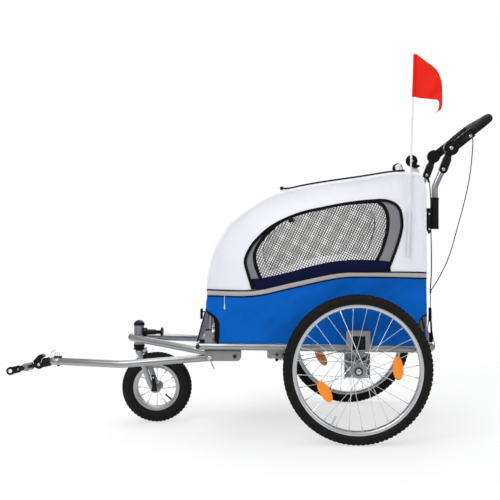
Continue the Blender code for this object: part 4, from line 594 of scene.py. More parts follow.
def inner_side(tree, middle):
    """1 where a face looks towards the middle of the cabin, 0 elsewhere."""
    place = node_in(tree, "ShaderNodeTexCoord").outputs
    inputs = {0: place["Object"], 1: middle}
    away = node_in(tree, "ShaderNodeVectorMath", operation="SUBTRACT", inputs=inputs).outputs[0]
    inputs = {0: away, 1: place["Normal"]}
    facing = node_in(tree, "ShaderNodeVectorMath", operation="DOT_PRODUCT", inputs=inputs)
    return maths(tree, "LESS_THAN", facing.outputs["Value"], 0.0)


def cloth_finish(
    name, colour, threads=1100.0, rough=0.82, vary=0.10, bump=0.35, through=0.0, lining=None
):
    """Coated woven cloth: threads in its relief, and some light through it if it is thin."""
    material, tree, shader = blank(name)
    weave = effect(tree, WEAVE, place_of(tree, "metres"), Threads_per_metre=threads)
    skin = effect(tree, GRAIN, place_of(tree), Grain_size=0.004, Patch_size=0.11)
    dark = tuple(c * (1 - vary) for c in colour)
    base = ramp(tree, skin["Patches"], (0.3, dark), (0.7, colour))
    if lining:
        base = mixed(tree, "MIX", inner_side(tree, lining[1]), base, lining[0])
        tree.links.new(base, shader.inputs["Base Color"])
    else:
        threads_dark = mixed(tree, "MULTIPLY", 0.25, base, (0.82, 0.82, 0.82))
        shade = ramp(tree, weave["Shade"], (0.25, (0, 0, 0)), (0.8, (1, 1, 1)))
        tree.links.new(mixed(tree, "MIX", shade, threads_dark, base), shader.inputs["Base Color"])
    set_sockets(shader, Roughness=rough, Sheen_Roughness=0.5, Specular_IOR_Level=0.12)
    relief(tree, shader, (weave["Height"], bump, 0.0003), (skin["Grain"], 0.15, 0.0004))
    if through:
        glow = node_in(tree, "ShaderNodeBsdfTranslucent", inputs={"Color": base}).outputs[0]
        both = node_in(tree, "ShaderNodeMixShader", inputs={0: through, 1: shader.outputs[0], 2: glow})
        tree.links.new(both.outputs[0], tree.nodes["Material Output"].inputs[0])
    return material


def hard_finish(
    name, colour, rough, metallic=0.0, coat=0.0, grain=0.0008, bump=0.08, vary=0.08, worn=0.15
):
    """Painted, plated or moulded skin with its own grain, broad patches and light marks."""
    material, tree, shader = blank(name)
    place = place_of(tree)
    skin = effect(tree, GRAIN, place, Grain_size=grain, Patch_size=0.06)
    marks = effect(tree, MARKS, place, Length=0.02, Amount=worn)
    dark = tuple(c * (1 - vary) for c in colour)
    light = tuple(min(1.0, c * 1.25 + 0.03) for c in colour)
    base = ramp(tree, skin["Patches"], (0.35, dark), (0.65, colour))
    tree.links.new(mixed(tree, "MIX", marks["Marks"], base, light), shader.inputs["Base Color"])
    spread = node_in(tree, "ShaderNodeMapRange", inputs={
        "Value": skin["Patches"], "From Min": 0.3, "From Max": 0.7,
        "To Min": max(0.02, rough - 0.06), "To Max": min(1.0, rough + 0.06),
    })
    tree.links.new(spread.outputs[0], shader.inputs["Roughness"])
    level = 0.5 if metallic or coat else 0.16
    set_sockets(shader, Metallic=metallic, Specular_IOR_Level=level, Coat_Weight=coat, Coat_Roughness=0.2)
    relief(tree, shader, (skin["Grain"], bump, 0.0002))
    return material


print("material builders: cloth_finish and hard_finish")

# %% [markdown]
# The finishes themselves: blue and white coated cloth, dark tapes and nets, silver tubes, plated
# steel, moulded plastic, foam and rubber. Each differs from its neighbours in colour and gloss
# only as far as the real parts do.

# %% The trailer's finishes
BLUE_LINING = ((0.3, 0.3, 0.31), (0.24, 0.0, 0.4))
WHITE_LINING = ((0.8, 0.8, 0.79), (0.24, 0.0, 0.64))
BLUE_CLOTH = cloth_finish("blue_cloth", (0.0, 0.135, 0.6), vary=0.18, through=0.08, lining=BLUE_LINING)
WHITE_CLOTH = cloth_finish("white_cloth", (0.95, 0.95, 0.98), vary=0.03, through=0.34)
NAVY_CLOTH = cloth_finish("navy_cloth", (0.002, 0.006, 0.04), vary=0.2, lining=WHITE_LINING)
GREY_CLOTH = cloth_finish("grey_cloth", (0.31, 0.305, 0.335), vary=0.14, through=0.2, lining=WHITE_LINING)
BLACK_TAPE = cloth_finish("black_tape", (0.005, 0.005, 0.006), threads=700, vary=0.2, bump=0.5)
REFLECTIVE = cloth_finish("reflective_tape", (0.47, 0.44, 0.44), rough=0.45, vary=0.06)
NET_BLACK = cloth_finish("net_strands", (0.03, 0.03, 0.028), threads=1500, vary=0.2)
NET_GREY = cloth_finish("net_light_strands", (0.33, 0.33, 0.31), threads=1500, vary=0.2)
FLAG_RED = cloth_finish("red_pennant", (0.95, 0.035, 0.018), threads=1400, vary=0.12, through=0.25)
STITCH_WHITE = cloth_finish("white_thread", (0.8, 0.8, 0.84), threads=2500, vary=0.05)
SILVER_TUBE = hard_finish("silver_tube", (0.36, 0.365, 0.37), 0.34, 0.9, bump=0.04)
GREY_PLATE = hard_finish("grey_plate", (0.27, 0.275, 0.28), 0.42, 0.6, bump=0.08)
BRIGHT_METAL = hard_finish("bright_metal", (0.74, 0.74, 0.75), 0.22, 1.0, bump=0.03)
HUB_METAL = hard_finish("hub_metal", (0.3, 0.31, 0.32), 0.42, 0.85, bump=0.05)
RIM_METAL = hard_finish("rim_metal", (0.62, 0.63, 0.64), 0.33, 0.9, bump=0.05)
FRONT_RIM_METAL = hard_finish("front_rim_metal", (0.43, 0.435, 0.44), 0.36, 0.9, bump=0.05)
SPOKE_METAL = hard_finish("spoke_metal", (0.8, 0.8, 0.8), 0.25, 0.9, bump=0.02)
DARK_METAL = hard_finish("dark_metal", (0.05, 0.05, 0.052), 0.35, 0.8, bump=0.05)
BLACK_MOULDED = hard_finish("black_moulded", (0.006, 0.006, 0.0065), 0.34, bump=0.06, worn=0.02)
FOAM = hard_finish("black_foam", (0.01, 0.01, 0.0105), 0.62, grain=0.0009, bump=0.15, worn=0.0)
RUBBER = hard_finish("black_rubber", (0.008, 0.008, 0.008), 0.6, grain=0.0012, bump=0.3, worn=0.03)
TYRE = hard_finish(
    "tyre_rubber", (0.01, 0.0088, 0.0078), 0.68, grain=0.0014, bump=0.35, vary=0.3, worn=0.04
)
BOARD = hard_finish("floor_board", (0.045, 0.045, 0.05), 0.75, grain=0.002, bump=0.4, vary=0.3)
ORANGE_LENS = hard_finish(
    "orange_lens", (1.0, 0.275, 0.0), 0.36, coat=0.12, bump=0.25, grain=0.0012, worn=0.0
)
WHITE_ROD = hard_finish("white_rod", (0.84, 0.84, 0.85), 0.32, coat=0.2, bump=0.03, worn=0.0)
CORD_GREY = cloth_finish("grey_cord", (0.055, 0.055, 0.058), threads=2000, vary=0.2)
CORD_BLACK = cloth_finish("black_cord", (0.014, 0.014, 0.015), threads=2000, vary=0.2)
print("materials:", len(bpy.data.materials))

# %% [markdown]
# Every piece is finished by the same few words: which body carries it and which solids it
# replaces. Cloth and tape also get a map in metres, laid along each face's own plane, so that
# their weave has one size everywhere.

# %% Placing a finished piece
def metre_map(obj):
    """A map called metres, flat on each face by the axis that it faces most."""
    layer = obj.data.uv_layers.get("metres") or obj.data.uv_layers.new(name="metres")
    for face in obj.data.polygons:
        axis = max(range(3), key=lambda k: abs(face.normal[k]))
        u, v = ((1, 2), (0, 2), (0, 1))[axis]
        for loop in face.loop_indices:
            co = obj.data.vertices[obj.data.loops[loop].vertex_index].co
            layer.data[loop].uv = (co[u], co[v])


def carried(obj, body, slot, *replaced):
    """Puts a finished piece on its body and hides the solids that it stands for. The slot is not used."""
    metre_map(obj)
    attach(obj, body)
    if replaced:
        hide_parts(*replaced)
    return obj


def whole(name, body, slot, replaced, *parts):
    """Parts of one body merged into one finished piece that stands for a solid, if for any."""
    return carried(merged(name, parts), body, slot, *([replaced] if replaced else []))


print("solids to stand for:", len(nodes))

# %% [markdown]
# Two thin cords run from the handle down to a webbing strap on the rear cross tube. The left one
# hangs almost straight from the handle's arm; the right one comes across behind the cabin. They
# are tied at both ends. Their ends are where the solids' cords end, and one smooth line joins the
# points between.

# %% Tether cords
CORD_SIDES = 10
LEFT_CORD = [
    (0.39662, -0.19, 1.01954), (0.3997, -0.19, 1.0156), (0.4008, -0.19, 1.006), (0.4, -0.19, 0.985),
    (0.3965, -0.19, 0.9426), (0.3895, -0.19, 0.8844), (0.3741, -0.19, 0.8091), (0.3477, -0.19, 0.7108),
    (0.3217, -0.19, 0.62), (0.2954, -0.19, 0.5598), (0.269, -0.188, 0.5129), (0.2585, -0.1868, 0.4985),
    (0.2575, -0.1865, 0.4925),
]
RIGHT_CORD = [
    (0.30531, 0.19, 0.89836), (0.30811, 0.19, 0.89352), (0.3109, 0.185, 0.87), (0.3089, 0.15, 0.8),
    (0.2993, 0.09, 0.74), (0.2872, 0.0, 0.67), (0.2745, -0.09, 0.595), (0.2655, -0.145, 0.555),
    (0.26, -0.169, 0.522), (0.257, -0.178, 0.505), (0.256, -0.1815, 0.4965), (0.256, -0.1815, 0.4925),
]


def cord_piece(name, points, radius, material):
    """A mesh cord with a map that runs along it, the points that it follows, and its length."""
    route = [at(*points[0]), *[at(*p) for p in flowing(points[1:-1], 3)], at(*points[-1])]
    obj = tube(route, radius, material, CORD_SIDES, name=name)
    layer = obj.data.uv_layers.new(name="metres")
    gone = [0.0]
    for a, b in zip(route, route[1:]):
        gone.append(gone[-1] + (b - a).length)
    for face in obj.data.polygons:
        for loop in face.loop_indices:
            row, k = divmod(obj.data.loops[loop].vertex_index, CORD_SIDES)
            layer.data[loop].uv = (gone[row], k / CORD_SIDES * 2 * math.pi * radius)
    return obj, route, gone[-1]


left_cord, left_route, left_length = cord_piece("left_tether_cord_line", LEFT_CORD, 0.00175, CORD_GREY)
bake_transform(left_cord)
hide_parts("left_tether_cord")
right_cord, right_route, right_length = cord_piece(
    "right_tether_cord_line", RIGHT_CORD, 0.0020, CORD_BLACK
)
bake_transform(right_cord)
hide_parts("right_tether_cord")
cord_top = max(right_route, key=lambda p: p.z)
CLIP_SHAPE = ((0.005, 0.0024), (0.0035, 0.0038), (-0.001, 0.0042), (-0.015, 0.0028), (-0.0162, 0.0022))
clip_line = [cord_top + Vector((0, 0, z)) for z, _ in CLIP_SHAPE]
cord_clip = tube(clip_line, [r for _, r in CLIP_SHAPE], BLACK_MOULDED, 16, name="right_cord_clip")
carried(cord_clip, "handle_lower", "black_plastic")
print("cords:", round(left_length, 3), round(right_length, 3), "m")

# %% [markdown]
# The cloth outlines are the ones that the side of the trailer shows: the seam between the white
# canopy and the blue tub, the roof line, the window and the tub's cut corners. Where a place was
# measured in the side view, it is brought to metres by its distance from the camera.

# %% Cloth outlines
SEAM = [
    (-0.5024, 0.4822), (-0.3488, 0.4812), (-0.2154, 0.5088), (-0.0675, 0.5404), (0.0309, 0.5454),
    (0.2124, 0.5414), (0.2339, 0.5407),
]
STRIP_TOP = [
    (-0.505, 0.5031), (-0.3488, 0.501), (-0.2154, 0.5289), (-0.0675, 0.5588), (0.0309, 0.5622),
    (0.2124, 0.5612), (0.2363, 0.5568),
]
ROOF_LINE = [
    (-0.501, 0.556), (-0.486, 0.616), (-0.462, 0.675), (-0.427, 0.729), (-0.368, 0.778),
    (-0.324, 0.807), (-0.279, 0.83), (-0.156, 0.858), (0.011, 0.883), (0.131, 0.901),
    (0.205, 0.898), (0.224, 0.884),
]
TUB_FRONT = [(-0.5024, 0.4822), (-0.5085, 0.43), (-0.536, 0.3275)]
TUB_REAR = [(0.2339, 0.5407), (0.237, 0.32)]
VIEW_SIZE, VIEW_X, VIEW_Z = 806, 306, 218


def seen_at(points, y=-FABRIC_Y):
    """Flat places from where the side view shows them, at a depth."""
    scale, middle = (y - CAMERA_Y) / VIEW_SIZE, CAMERA_X - AXLE_X
    return [((x - VIEW_X) * scale + middle, CAMERA_Z - (z - VIEW_Z) * scale) for x, z in points]


WINDOW_OUTER = flat_flow(
    seen_at([
        (252.3, 289.3), (246.5, 270.9), (244.6, 262.1), (246.5, 253.3), (253.1, 241.6),
        (266.3, 228.4), (283.9, 218.1), (304.4, 210.1), (330.8, 204.2), (358.7, 200.5),
        (380.7, 199.4), (393.9, 202), (401.2, 209.3), (403.4, 221.1), (402.7, 231.3),
        (398.3, 246), (388, 271),
    ]),
    4,
)
NET_EDGE = seen_at([
    (263.2, 279.4), (258, 270), (255.5, 261), (255.6, 253.5), (258, 246.5), (265.3, 236.6),
    (274, 229), (283.9, 222), (297.4, 216.2), (320.4, 209.2), (341, 206), (358, 204.3), (377, 203),
    (382.5, 208), (385.8, 214), (387.5, 222), (387, 231), (384.5, 241), (380, 252), (376, 260.5),
    (358.7, 259.8), (341, 260.6), (322, 263.4), (303, 268.2), (282, 274.4),
])
WINDOW_MIDDLE = Vector((-0.10, 0.70))


def drawn_in(place, amount):
    """A flat place moved a little towards the window's middle."""
    spot = Vector(place[:2])
    return tuple(spot + (WINDOW_MIDDLE - spot).normalized() * amount)


def window_edge(place):
    """A point of the window's outline, drawn in where the real edge is tighter."""
    share = min(1.0, max(0.0, (place[1] - 0.60) / 0.08)) * (0.5 if place[0] > 0.08 else 1.0)
    return drawn_in(place, 0.0062 * share)


window_loop = [window_edge(p) for p in WINDOW_OUTER if p[1] > 0.5]
seam_line, strip_line = flat_flow(SEAM, 8), flat_flow(STRIP_TOP, 8)
roof_line = [(-0.505, 0.503), *flat_even(flat_flow(ROOF_LINE), 0.012)[:-1], (0.23, 0.866), (0.236, 0.838)]
roof_line = flat_even([*roof_line, (0.2365, 0.559)], 0.009)
print("roof line:", len(roof_line), "points")

# %% [markdown]
# The cabin's cloth. The sides are cut flat and stretched between tubes, so each panel is an
# outline filled with small triangles; the triangles let it bulge and crease. The roof is one
# sheet that turns over a soft edge on each side. It is drawn row by row along the roof line, and
# its first and last rows are the side panels' own edge points, so the skin closes.

# %% Cloth panel helpers
ROW_STEP = 0.87


def near_border(border, place, reach, look=0.04):
    """Whether a place lies close to one of the border's edges."""
    for a, b in border:
        if abs(a.x - place.x) > look and abs(b.x - place.x) > look:
            continue
        way = b - a
        share = max(0.0, min(1.0, (place - a).dot(way) / max(way.length_squared, 1e-12)))
        if (place - a - way * share).length < reach:
            return True
    return False


def cloth_fill(outline, spacing, hole=()):
    """Triangles that fill an outline, with points inside it about a spacing apart."""
    loops = [[Vector(p) for p in loop] for loop in (outline, hole) if loop]
    plain = [[tuple(p) for p in loop] for loop in loops]
    points, edges, border = [], [], []
    for loop in loops:
        first = len(points)
        points += loop
        edges += [(first + k, first + (k + 1) % len(loop)) for k in range(len(loop))]
        border += zip(loop, loop[1:] + loop[:1])

    def on_cloth(x, z):
        return inside(plain[0], x, z) and not any(inside(loop, x, z) for loop in plain[1:])

    xs, zs = [p.x for p in loops[0]], [p.y for p in loops[0]]
    for i in range(int((max(zs) - min(zs)) / (spacing * ROW_STEP)) + 2):
        for j in range(int((max(xs) - min(xs)) / spacing) + 2):
            x, z = min(xs) + (j + 0.5 * (i % 2)) * spacing, min(zs) + i * spacing * ROW_STEP
            if on_cloth(x, z) and not near_border(border, Vector((x, z)), spacing * 0.5):
                points.append(Vector((x, z)))
    found, _, faces, _, _, _ = geometry.delaunay_2d_cdt(points, edges, [], 1, 1e-6)
    kept = []
    for face in faces:
        x, z = (sum(found[k][axis] for k in face) / len(face) for axis in (0, 1))
        if on_cloth(x, z):
            kept.append(tuple(face))
    return [(p.x, p.y) for p in found], kept


def folds(x, z, seed, size=0.11, slant=0.6):
    """A slow, slightly streaky height from -1 to 1 that shapes bulges and creases."""
    u = x * math.cos(slant) + z * math.sin(slant)
    v = -x * math.sin(slant) + z * math.cos(slant)
    broad = noise.noise(Vector((u / size, v / (size * 2.6), seed)))
    sharp = noise.noise(Vector((u / (size * 0.35), v / (size * 1.7), seed + 9.0)))
    return 0.75 * broad + 0.45 * (0.35 - abs(sharp)) * 1.6


def thickened(obj, amount=CLOTH, offset=-1):
    """Gives a sheet its thickness, inwards unless told otherwise."""
    solid = obj.modifiers.new("cloth thickness", "SOLIDIFY")
    solid.thickness, solid.offset = amount, offset
    obj = baked(obj)
    shaded(obj.data, 60)
    return obj


def oriented(points, faces, way):
    """The faces turned so that their normals point towards a given direction on the whole."""
    total = 0.0
    for face in faces:
        a, b, c = (Vector(points[k]) for k in face[:3])
        total += (b - a).cross(c - a).dot(way)
    return faces if total > 0 else [tuple(face[::-1]) for face in faces]


def add_panel(points, faces, side, panel, depth):
    """Adds one side's flat panel to a skin, each point at its own depth from the middle plane."""
    first = len(points)
    points += [at(x, side * depth(x, z), z) for x, z in panel[0]]
    shifted = [tuple(k + first for k in face) for face in panel[1]]
    faces += oriented(points, shifted, Vector((0, side, 0)))


print("cloth panels are filled in rows", ROW_STEP, "of a spacing apart")

# %% [markdown]
# The white canopy is sewn from two sides and a roof over the arch. Its sides are filled outlines
# with a hole for the window, and its roof is a strip of rows, because a strip can follow the
# arch and sag between the sides.

# %% White canopy
roof_rows = []
for k, (x, z) in enumerate(roof_line):
    behind, ahead = (Vector(p) for p in neighbours(roof_line, k))
    way = (ahead - behind).normalized()
    radius = ROOF_EDGE_R * min(1.0, max(0.12, (z - z_on(seam_line, x) - 0.01) / 0.09))
    roof_rows.append((Vector((x, z)), Vector((-way.y, way.x)), radius))
side_edge = [p - n * r for p, n, r in roof_rows]
side_outline = [tuple(p) for p in side_edge] + flat_even(seam_line[::-1], 0.010)
window_foot = [(x, z_on(strip_line, x) - 0.004) for x in (0.085, 0.03, -0.0675, -0.2154, -0.30)]
window_hole = flat_ring(window_loop + window_foot, 0.009)
side_panel = cloth_fill(side_outline, 0.011, window_hole)


def side_height(x, z, seed):
    """How far a side panel stands in from its flat plane: nothing at its edges."""
    spot = Vector((x, z))
    edge = min((spot - p).length for p in side_edge[::3]) / 0.05
    edge = min(1.0, edge, max(0.0, z - z_on(seam_line, x)) / 0.04)
    edge *= min(1.0, 0.25 + min((spot - Vector(q)).length for q in window_hole[::4]) / 0.06)
    return (0.0060 * folds(x, z, seed) + 0.0020 * folds(x, z, seed + 5.0, 0.045, 1.1) - 0.0020) * edge


def roof_row(place, normal, radius, turn_steps=6, across_steps=18):
    """One row of the roof: over the left edge, across with a little sag, and down the right."""
    def edge_point(j, side):
        angle = math.pi / 2 * j / turn_steps
        y = FABRIC_Y - radius * (1 - math.cos(angle))
        return place - normal * (radius * (1 - math.sin(angle))), side * y

    row = [edge_point(j, LEFT) for j in range(turn_steps + 1)]
    reach = FABRIC_Y - radius
    for j in range(1, across_steps):
        y = -reach + 2 * reach * j / across_steps
        share = 1 - (y / reach) ** 2
        sag = 0.007 * share * min(1.0, abs(normal.y) * 1.2)
        crease = 0.0016 * folds(place.x * 1.4 + y, place.y + y * 0.8, 21.0, 0.09) * share
        row.append((place - normal * (sag + crease), y))
    row += [edge_point(j, RIGHT) for j in range(turn_steps, -1, -1)]
    return [at(p.x, y, p.y) for p, y in row]


points, faces = [], []
for word, side in SIDES:
    add_panel(points, faces, side, side_panel, lambda x, z: FABRIC_Y + side_height(x, z, 3.0 + side))
rows = [roof_row(*station) for station in roof_rows]
strip = grid(len(rows), len(rows[0]), len(points))
for row in rows:
    points += row
middle = [face for face in strip if abs(points[face[0]].y) < 0.1]
faces += strip if oriented(points, middle, Vector(UP)) is middle else [face[::-1] for face in strip]
canopy = thickened(clean(piece(points, faces, WHITE_CLOTH, name="canopy_skin"), 60, outward=False))
print("canopy:", len(canopy.data.polygons), "faces")

# %% [markdown]
# The blue tub hangs between the rails: two sides with cut corners, a sloping front wall and a
# rear wall. Slow noise pushes the cloth out in slanting folds that fade at its seams, where the
# real cloth is held.

# %% Blue tub
tub_cut_front = flat_flow([
    (-0.5051, 0.436), (-0.496, 0.4255), (-0.487, 0.4172), (-0.4735, 0.4065),
    (-0.4672, 0.3905), (-0.466, 0.3723), (-0.4665, 0.345), (-0.468, 0.318),
], 4)
tub_cut_rear = flat_flow([
    (0.1985, 0.313), (0.1985, 0.36), (0.205, 0.39), (0.22, 0.412), (0.2356, 0.4197),
], 4)
RAIL_FRONT_X, RAIL_FRONT_Z = -0.534, 0.313


def rail_z(x):
    """Height of a side rail's middle line."""
    run = CROSS_X - RAIL_FRONT_X
    return RAIL_FRONT_Z + (x - RAIL_FRONT_X) * (CROSS_Z - RAIL_FRONT_Z) / run


tub_bottom = [(x, rail_z(x) + 0.0138) for x in (0.1985, 0.1, 0, -0.1, -0.2, -0.3, -0.4, -0.4675)]
tub_side = [
    *seam_line, (0.2345, 0.5), (0.2356, 0.4197), *tub_cut_rear[::-1][1:-1], *tub_bottom,
    *tub_cut_front[::-1][1:], (-0.5075, 0.456),
]
tub_panel = cloth_fill(flat_ring(tub_side, 0.010), 0.012)
WALL_COLUMNS = 28


def tub_depth(x, z, seed):
    """How far the tub's side stands out: it bulges in slanting folds between its edges."""
    top = max(0.0, z_on(seam_line, x) - z)
    low = max(0.0, z - rail_z(x) - 0.010)
    dent = 0.0100 * folds(x, z, seed, 0.10, -0.85) + 0.0040 * folds(x, z, 48.0, 0.05, -0.7)
    return FABRIC_Y + (dent - 0.0015) * min(1.0, top / 0.03, low / 0.03)


points, faces = [], []
for word, side in SIDES:
    add_panel(points, faces, side, tub_panel, lambda x, z: tub_depth(x, z, 40.0 + side))
for line, way in ((TUB_FRONT, -1), (TUB_REAR, 1)):
    path, first = flat_even(line, 0.012), len(points)
    for x, z in path:
        for j in range(WALL_COLUMNS + 1):
            y = -FABRIC_Y + 2 * FABRIC_Y * j / WALL_COLUMNS
            dent = 0.004 * folds(y, z, 60.0 + way, 0.1) * (1 - (y / FABRIC_Y) ** 2)
            points.append(at(x + dent, y, z))
    faces += oriented(points, grid(len(path), WALL_COLUMNS + 1, first), Vector((way, 0, 0)))
tub = thickened(clean(piece(points, faces, BLUE_CLOTH, name="tub_skin"), 60, outward=False))
print("tub:", len(tub.data.polygons), "faces")

# %% [markdown]
# Trim on the cloth. Flat bindings are one section swept along a line that lies on the cloth: a
# wide low oval for tape, a round one for piping. They run round each window, round the net, along
# both edges of the reflective band and round the tub's cut corners.

# %% Window trim
def swept(path, width, height, normal, material, sides=12, closed=False):
    """An oval section, width across the cloth and height off it, swept along a line."""
    path = [Vector(p) for p in path]
    count = len(path)
    points = []
    for k, place in enumerate(path):
        ahead = path[(k + 1) % count] if closed or k + 1 < count else place
        behind = path[k - 1] if closed or k else place
        way = (ahead - behind).normalized()
        out = Vector(normal(place) if callable(normal) else normal)
        out = (out - way * out.dot(way)).normalized()
        across = way.cross(out)
        for s in range(sides):
            a = 2 * math.pi * s / sides
            points.append(place + across * (math.cos(a) * width / 2) + out * (math.sin(a) * height / 2))
    faces = grid(count, sides, round_rows=closed, round_width=True)
    if not closed:
        faces += end_faces(len(points), sides)
    return clean(piece(points, faces, material), 40)


def side_tape(line, side, proud, width, height, material=BLACK_TAPE, sides=12):
    """A binding along a flat line, lying on one side's cloth."""
    path = [at(x, side * (FABRIC_Y + proud), z) for x, z in line]
    return swept(path, width, height, (0, side, 0), material, sides)


def cloth_piece(outline, side, sunk, material, hole=()):
    """A flat panel of thin cloth behind one side's skin."""
    points, faces = cloth_fill(outline, 0.012, hole)
    spots = [at(x, side * (FABRIC_Y - sunk), z) for x, z in points]
    return thickened(piece(spots, oriented(spots, faces, Vector((0, side, 0))), material), 0.0010)


NAVY_TOP = flat_flow(seen_at([
    (249.5, 279.2), (261.8, 278.3), (280, 274.6), (297.4, 270.2), (314, 265.8), (331.8, 262),
    (354.8, 260), (377.8, 260.6), (391, 261.8),
]), 4)
NET_FRONT = flat_flow(seen_at([
    (261.4, 280), (259, 275), (255.9, 266.5), (254.6, 259.5), (254.9, 252.6), (259.2, 243.6),
    (266, 234.8), (274, 227.2),
]), 4)
NET_REAR = flat_flow(seen_at([
    (378.4, 202), (384, 206.6), (387.2, 213.5), (388, 222), (387.2, 231), (384.9, 240.5),
    (381, 252), (376.6, 260.8),
]), 4)
NET_TOP = flat_flow(seen_at([
    (264, 238), (274, 228), (283.9, 220.6), (297.4, 214.8), (320.4, 208), (341, 205), (358, 203.4),
    (379, 202.4),
]), 4)
navy_outline = NAVY_TOP + [(x, z_on(strip_line, x) - 0.005) for x, _ in NAVY_TOP[::-1]]
binding_line = [drawn_in(p, 0.0018) for p in flat_even(window_loop, 0.008)]
net_hole = flat_ring(NET_EDGE, 0.007)


def window_trim(side):
    """Window binding, the grey panel round the net, the navy band and the net's bindings."""
    return [
        side_tape(binding_line, side, 0.0006, 0.0100, 0.0040),
        cloth_piece(window_hole, side, 0.0026, GREY_CLOTH, net_hole),
        cloth_piece(navy_outline, side, 0.0012, NAVY_CLOTH),
        side_tape(NET_FRONT, side, -0.0012, 0.0116, 0.0034),
        side_tape(NET_REAR, side, -0.0012, 0.0116, 0.0034),
        side_tape(NET_TOP, side, -0.0014, 0.0045, 0.0030),
        side_tape(NAVY_TOP[1:-1], side, -0.0018, 0.0016, 0.0012, NAVY_CLOTH, 8),
    ]


trim_parts = [(word, window_trim(side)) for word, side in SIDES]
print("window trim:", len(trim_parts[0][1]), "parts a side")


# %% [markdown]
# A net is two families of flat strands that cross. Each strand is a line clipped to the window,
# and a geometry tree turns lines into ribbons, so that their width stays an input. A picture of
# a net would be flat from the side.

# %% Window nets
def strands_tree():
    """Flat ribbons along each edge of a mesh: width and thickness are inputs."""
    tree, given, out = tree_of(
        "net_strands_tree", "Geometry",
        [
            ("Geometry", "shape"), ("Strand width", 0.0016), ("Strand thickness", 0.0006),
            ("Finish", "finish"),
        ],
        [("Geometry", "shape")],
    )
    curve = node_in(tree, "GeometryNodeMeshToCurve", inputs={0: given["Geometry"]}).outputs[0]
    sizes = {"Height": given["Strand width"], "Width": given["Strand thickness"]}
    section = node_in(tree, "GeometryNodeCurvePrimitiveQuadrilateral", inputs=sizes).outputs[0]
    curve = node_in(tree, "GeometryNodeSetCurveNormal", mode="Z_UP", inputs={0: curve}).outputs[0]
    lines = {"Curve": curve, "Profile Curve": section, "Fill Caps": True}
    return painted(tree, node_in(tree, "GeometryNodeCurveToMesh", inputs=lines), given, out)


def painted(tree, node, given, out):
    """Ends a tree: instances made real, one finish, then out."""
    real = node_in(tree, "GeometryNodeRealizeInstances", inputs={0: node.outputs[0]}).outputs[0]
    paint = {"Geometry": real, "Material": given["Finish"]}
    tree.links.new(node_in(tree, "GeometryNodeSetMaterial", inputs=paint).outputs[0], out[0])
    return tree


def grown(obj, tree, **sizes):
    """Runs a geometry tree on an object with its named inputs set, and keeps the mesh."""
    modifier = obj.modifiers.new("grown", "NODES")
    modifier.node_group = tree
    for item in tree.interface.items_tree:
        label = item.name.replace(" ", "_")
        if item.in_out == "INPUT" and label in sizes:
            modifier[item.identifier] = sizes[label]
    return baked(obj)


def crossings(outline, way, normal, offset):
    """Where a straight line at an offset crosses an outline, as distances along its way."""
    hits = []
    for (x0, z0), (x1, z1) in zip(outline, outline[1:] + outline[:1]):
        a = x0 * normal[0] + z0 * normal[1] - offset
        b = x1 * normal[0] + z1 * normal[1] - offset
        if (a > 0) != (b > 0):
            t = a / (a - b)
            hits.append((x0 + t * (x1 - x0)) * way[0] + (z0 + t * (z1 - z0)) * way[1])
    return sorted(hits)


STRANDS = strands_tree()
NET_PITCH = 0.0078
NET_SETS = (
    (math.radians(64), FABRIC_Y - 0.0030, NET_BLACK),
    (math.radians(-27), FABRIC_Y - 0.0037, NET_GREY),
)
net_loop = [(x * 1.012 + 0.0013, (z - 0.68) * 1.02 + 0.68) for x, z in flat_ring(NET_EDGE, 0.006)]


def net(side):
    """Two families of strands, clipped to the net's outline."""
    sets = []
    for angle, depth, finish in NET_SETS:
        way, normal = (math.cos(angle), math.sin(angle)), (-math.sin(angle), math.cos(angle))
        spans = [x * normal[0] + z * normal[1] for x, z in net_loop]
        points, edges = [], []
        offset, line = min(spans) + NET_PITCH / 2, 0
        while offset < max(spans):
            hits = crossings(net_loop, way, normal, offset)
            for start, end in zip(hits[::2], hits[1::2]):
                steps = max(2, int((end - start) / 0.03))
                for k in range(steps + 1):
                    t = start + (end - start) * k / steps
                    off = offset + 0.0007 * math.sin(t * 90 + line * 0.9)
                    x, z = t * way[0] + off * normal[0], t * way[1] + off * normal[1]
                    points.append(at(x, side * depth, z))
                    if k:
                        edges.append((len(points) - 2, len(points) - 1))
            offset += NET_PITCH
            line += 1
        mesh = bpy.data.meshes.new("strands")
        mesh.from_pydata(points, edges, [])
        strands = link("strands", mesh)
        sets.append(grown(strands, STRANDS, Strand_width=0.0023, Strand_thickness=0.0005, Finish=finish))
    return sets


left_sets, right_sets = net(LEFT), net(RIGHT)
left_net, right_net = merged("left_window_mesh", left_sets), merged("right_window_mesh", right_sets)
print("net:", len(left_net.data.polygons), "faces a side")


# %% [markdown]
# A reflective band runs round the whole cabin between two pipings, and more piping edges the
# tub's cut corners. They are closed or open sweeps along lines that follow the walls.

# %% Band and pipings
def round_cabin(line, proud=0.0006, rear_x=0.2360):
    """A loop round the cabin at a seam: left side, rear wall, right side and front wall."""
    y, front, steps = FABRIC_Y + proud, line[0], range(1, 16)
    left, right = [at(x, -y, z) for x, z in line], [at(x, y, z) for x, z in line[::-1]]
    back = [at(rear_x + proud, -y + 2 * y * k / 16, line[-1][1]) for k in steps]
    ahead = [at(front[0] - proud, y - 2 * y * k / 16, front[1]) for k in steps]
    return [*left, *back, *right, *ahead, left[0]]


def outwards(place):
    """Away from the cabin's middle, square to the nearest wall."""
    x, y = place.x - AXLE_X, place.y
    if abs(y) > FABRIC_Y - 0.004:
        return (0, 1 if y > 0 else -1, 0)
    return (1 if x > 0 else -1, 0, 0)


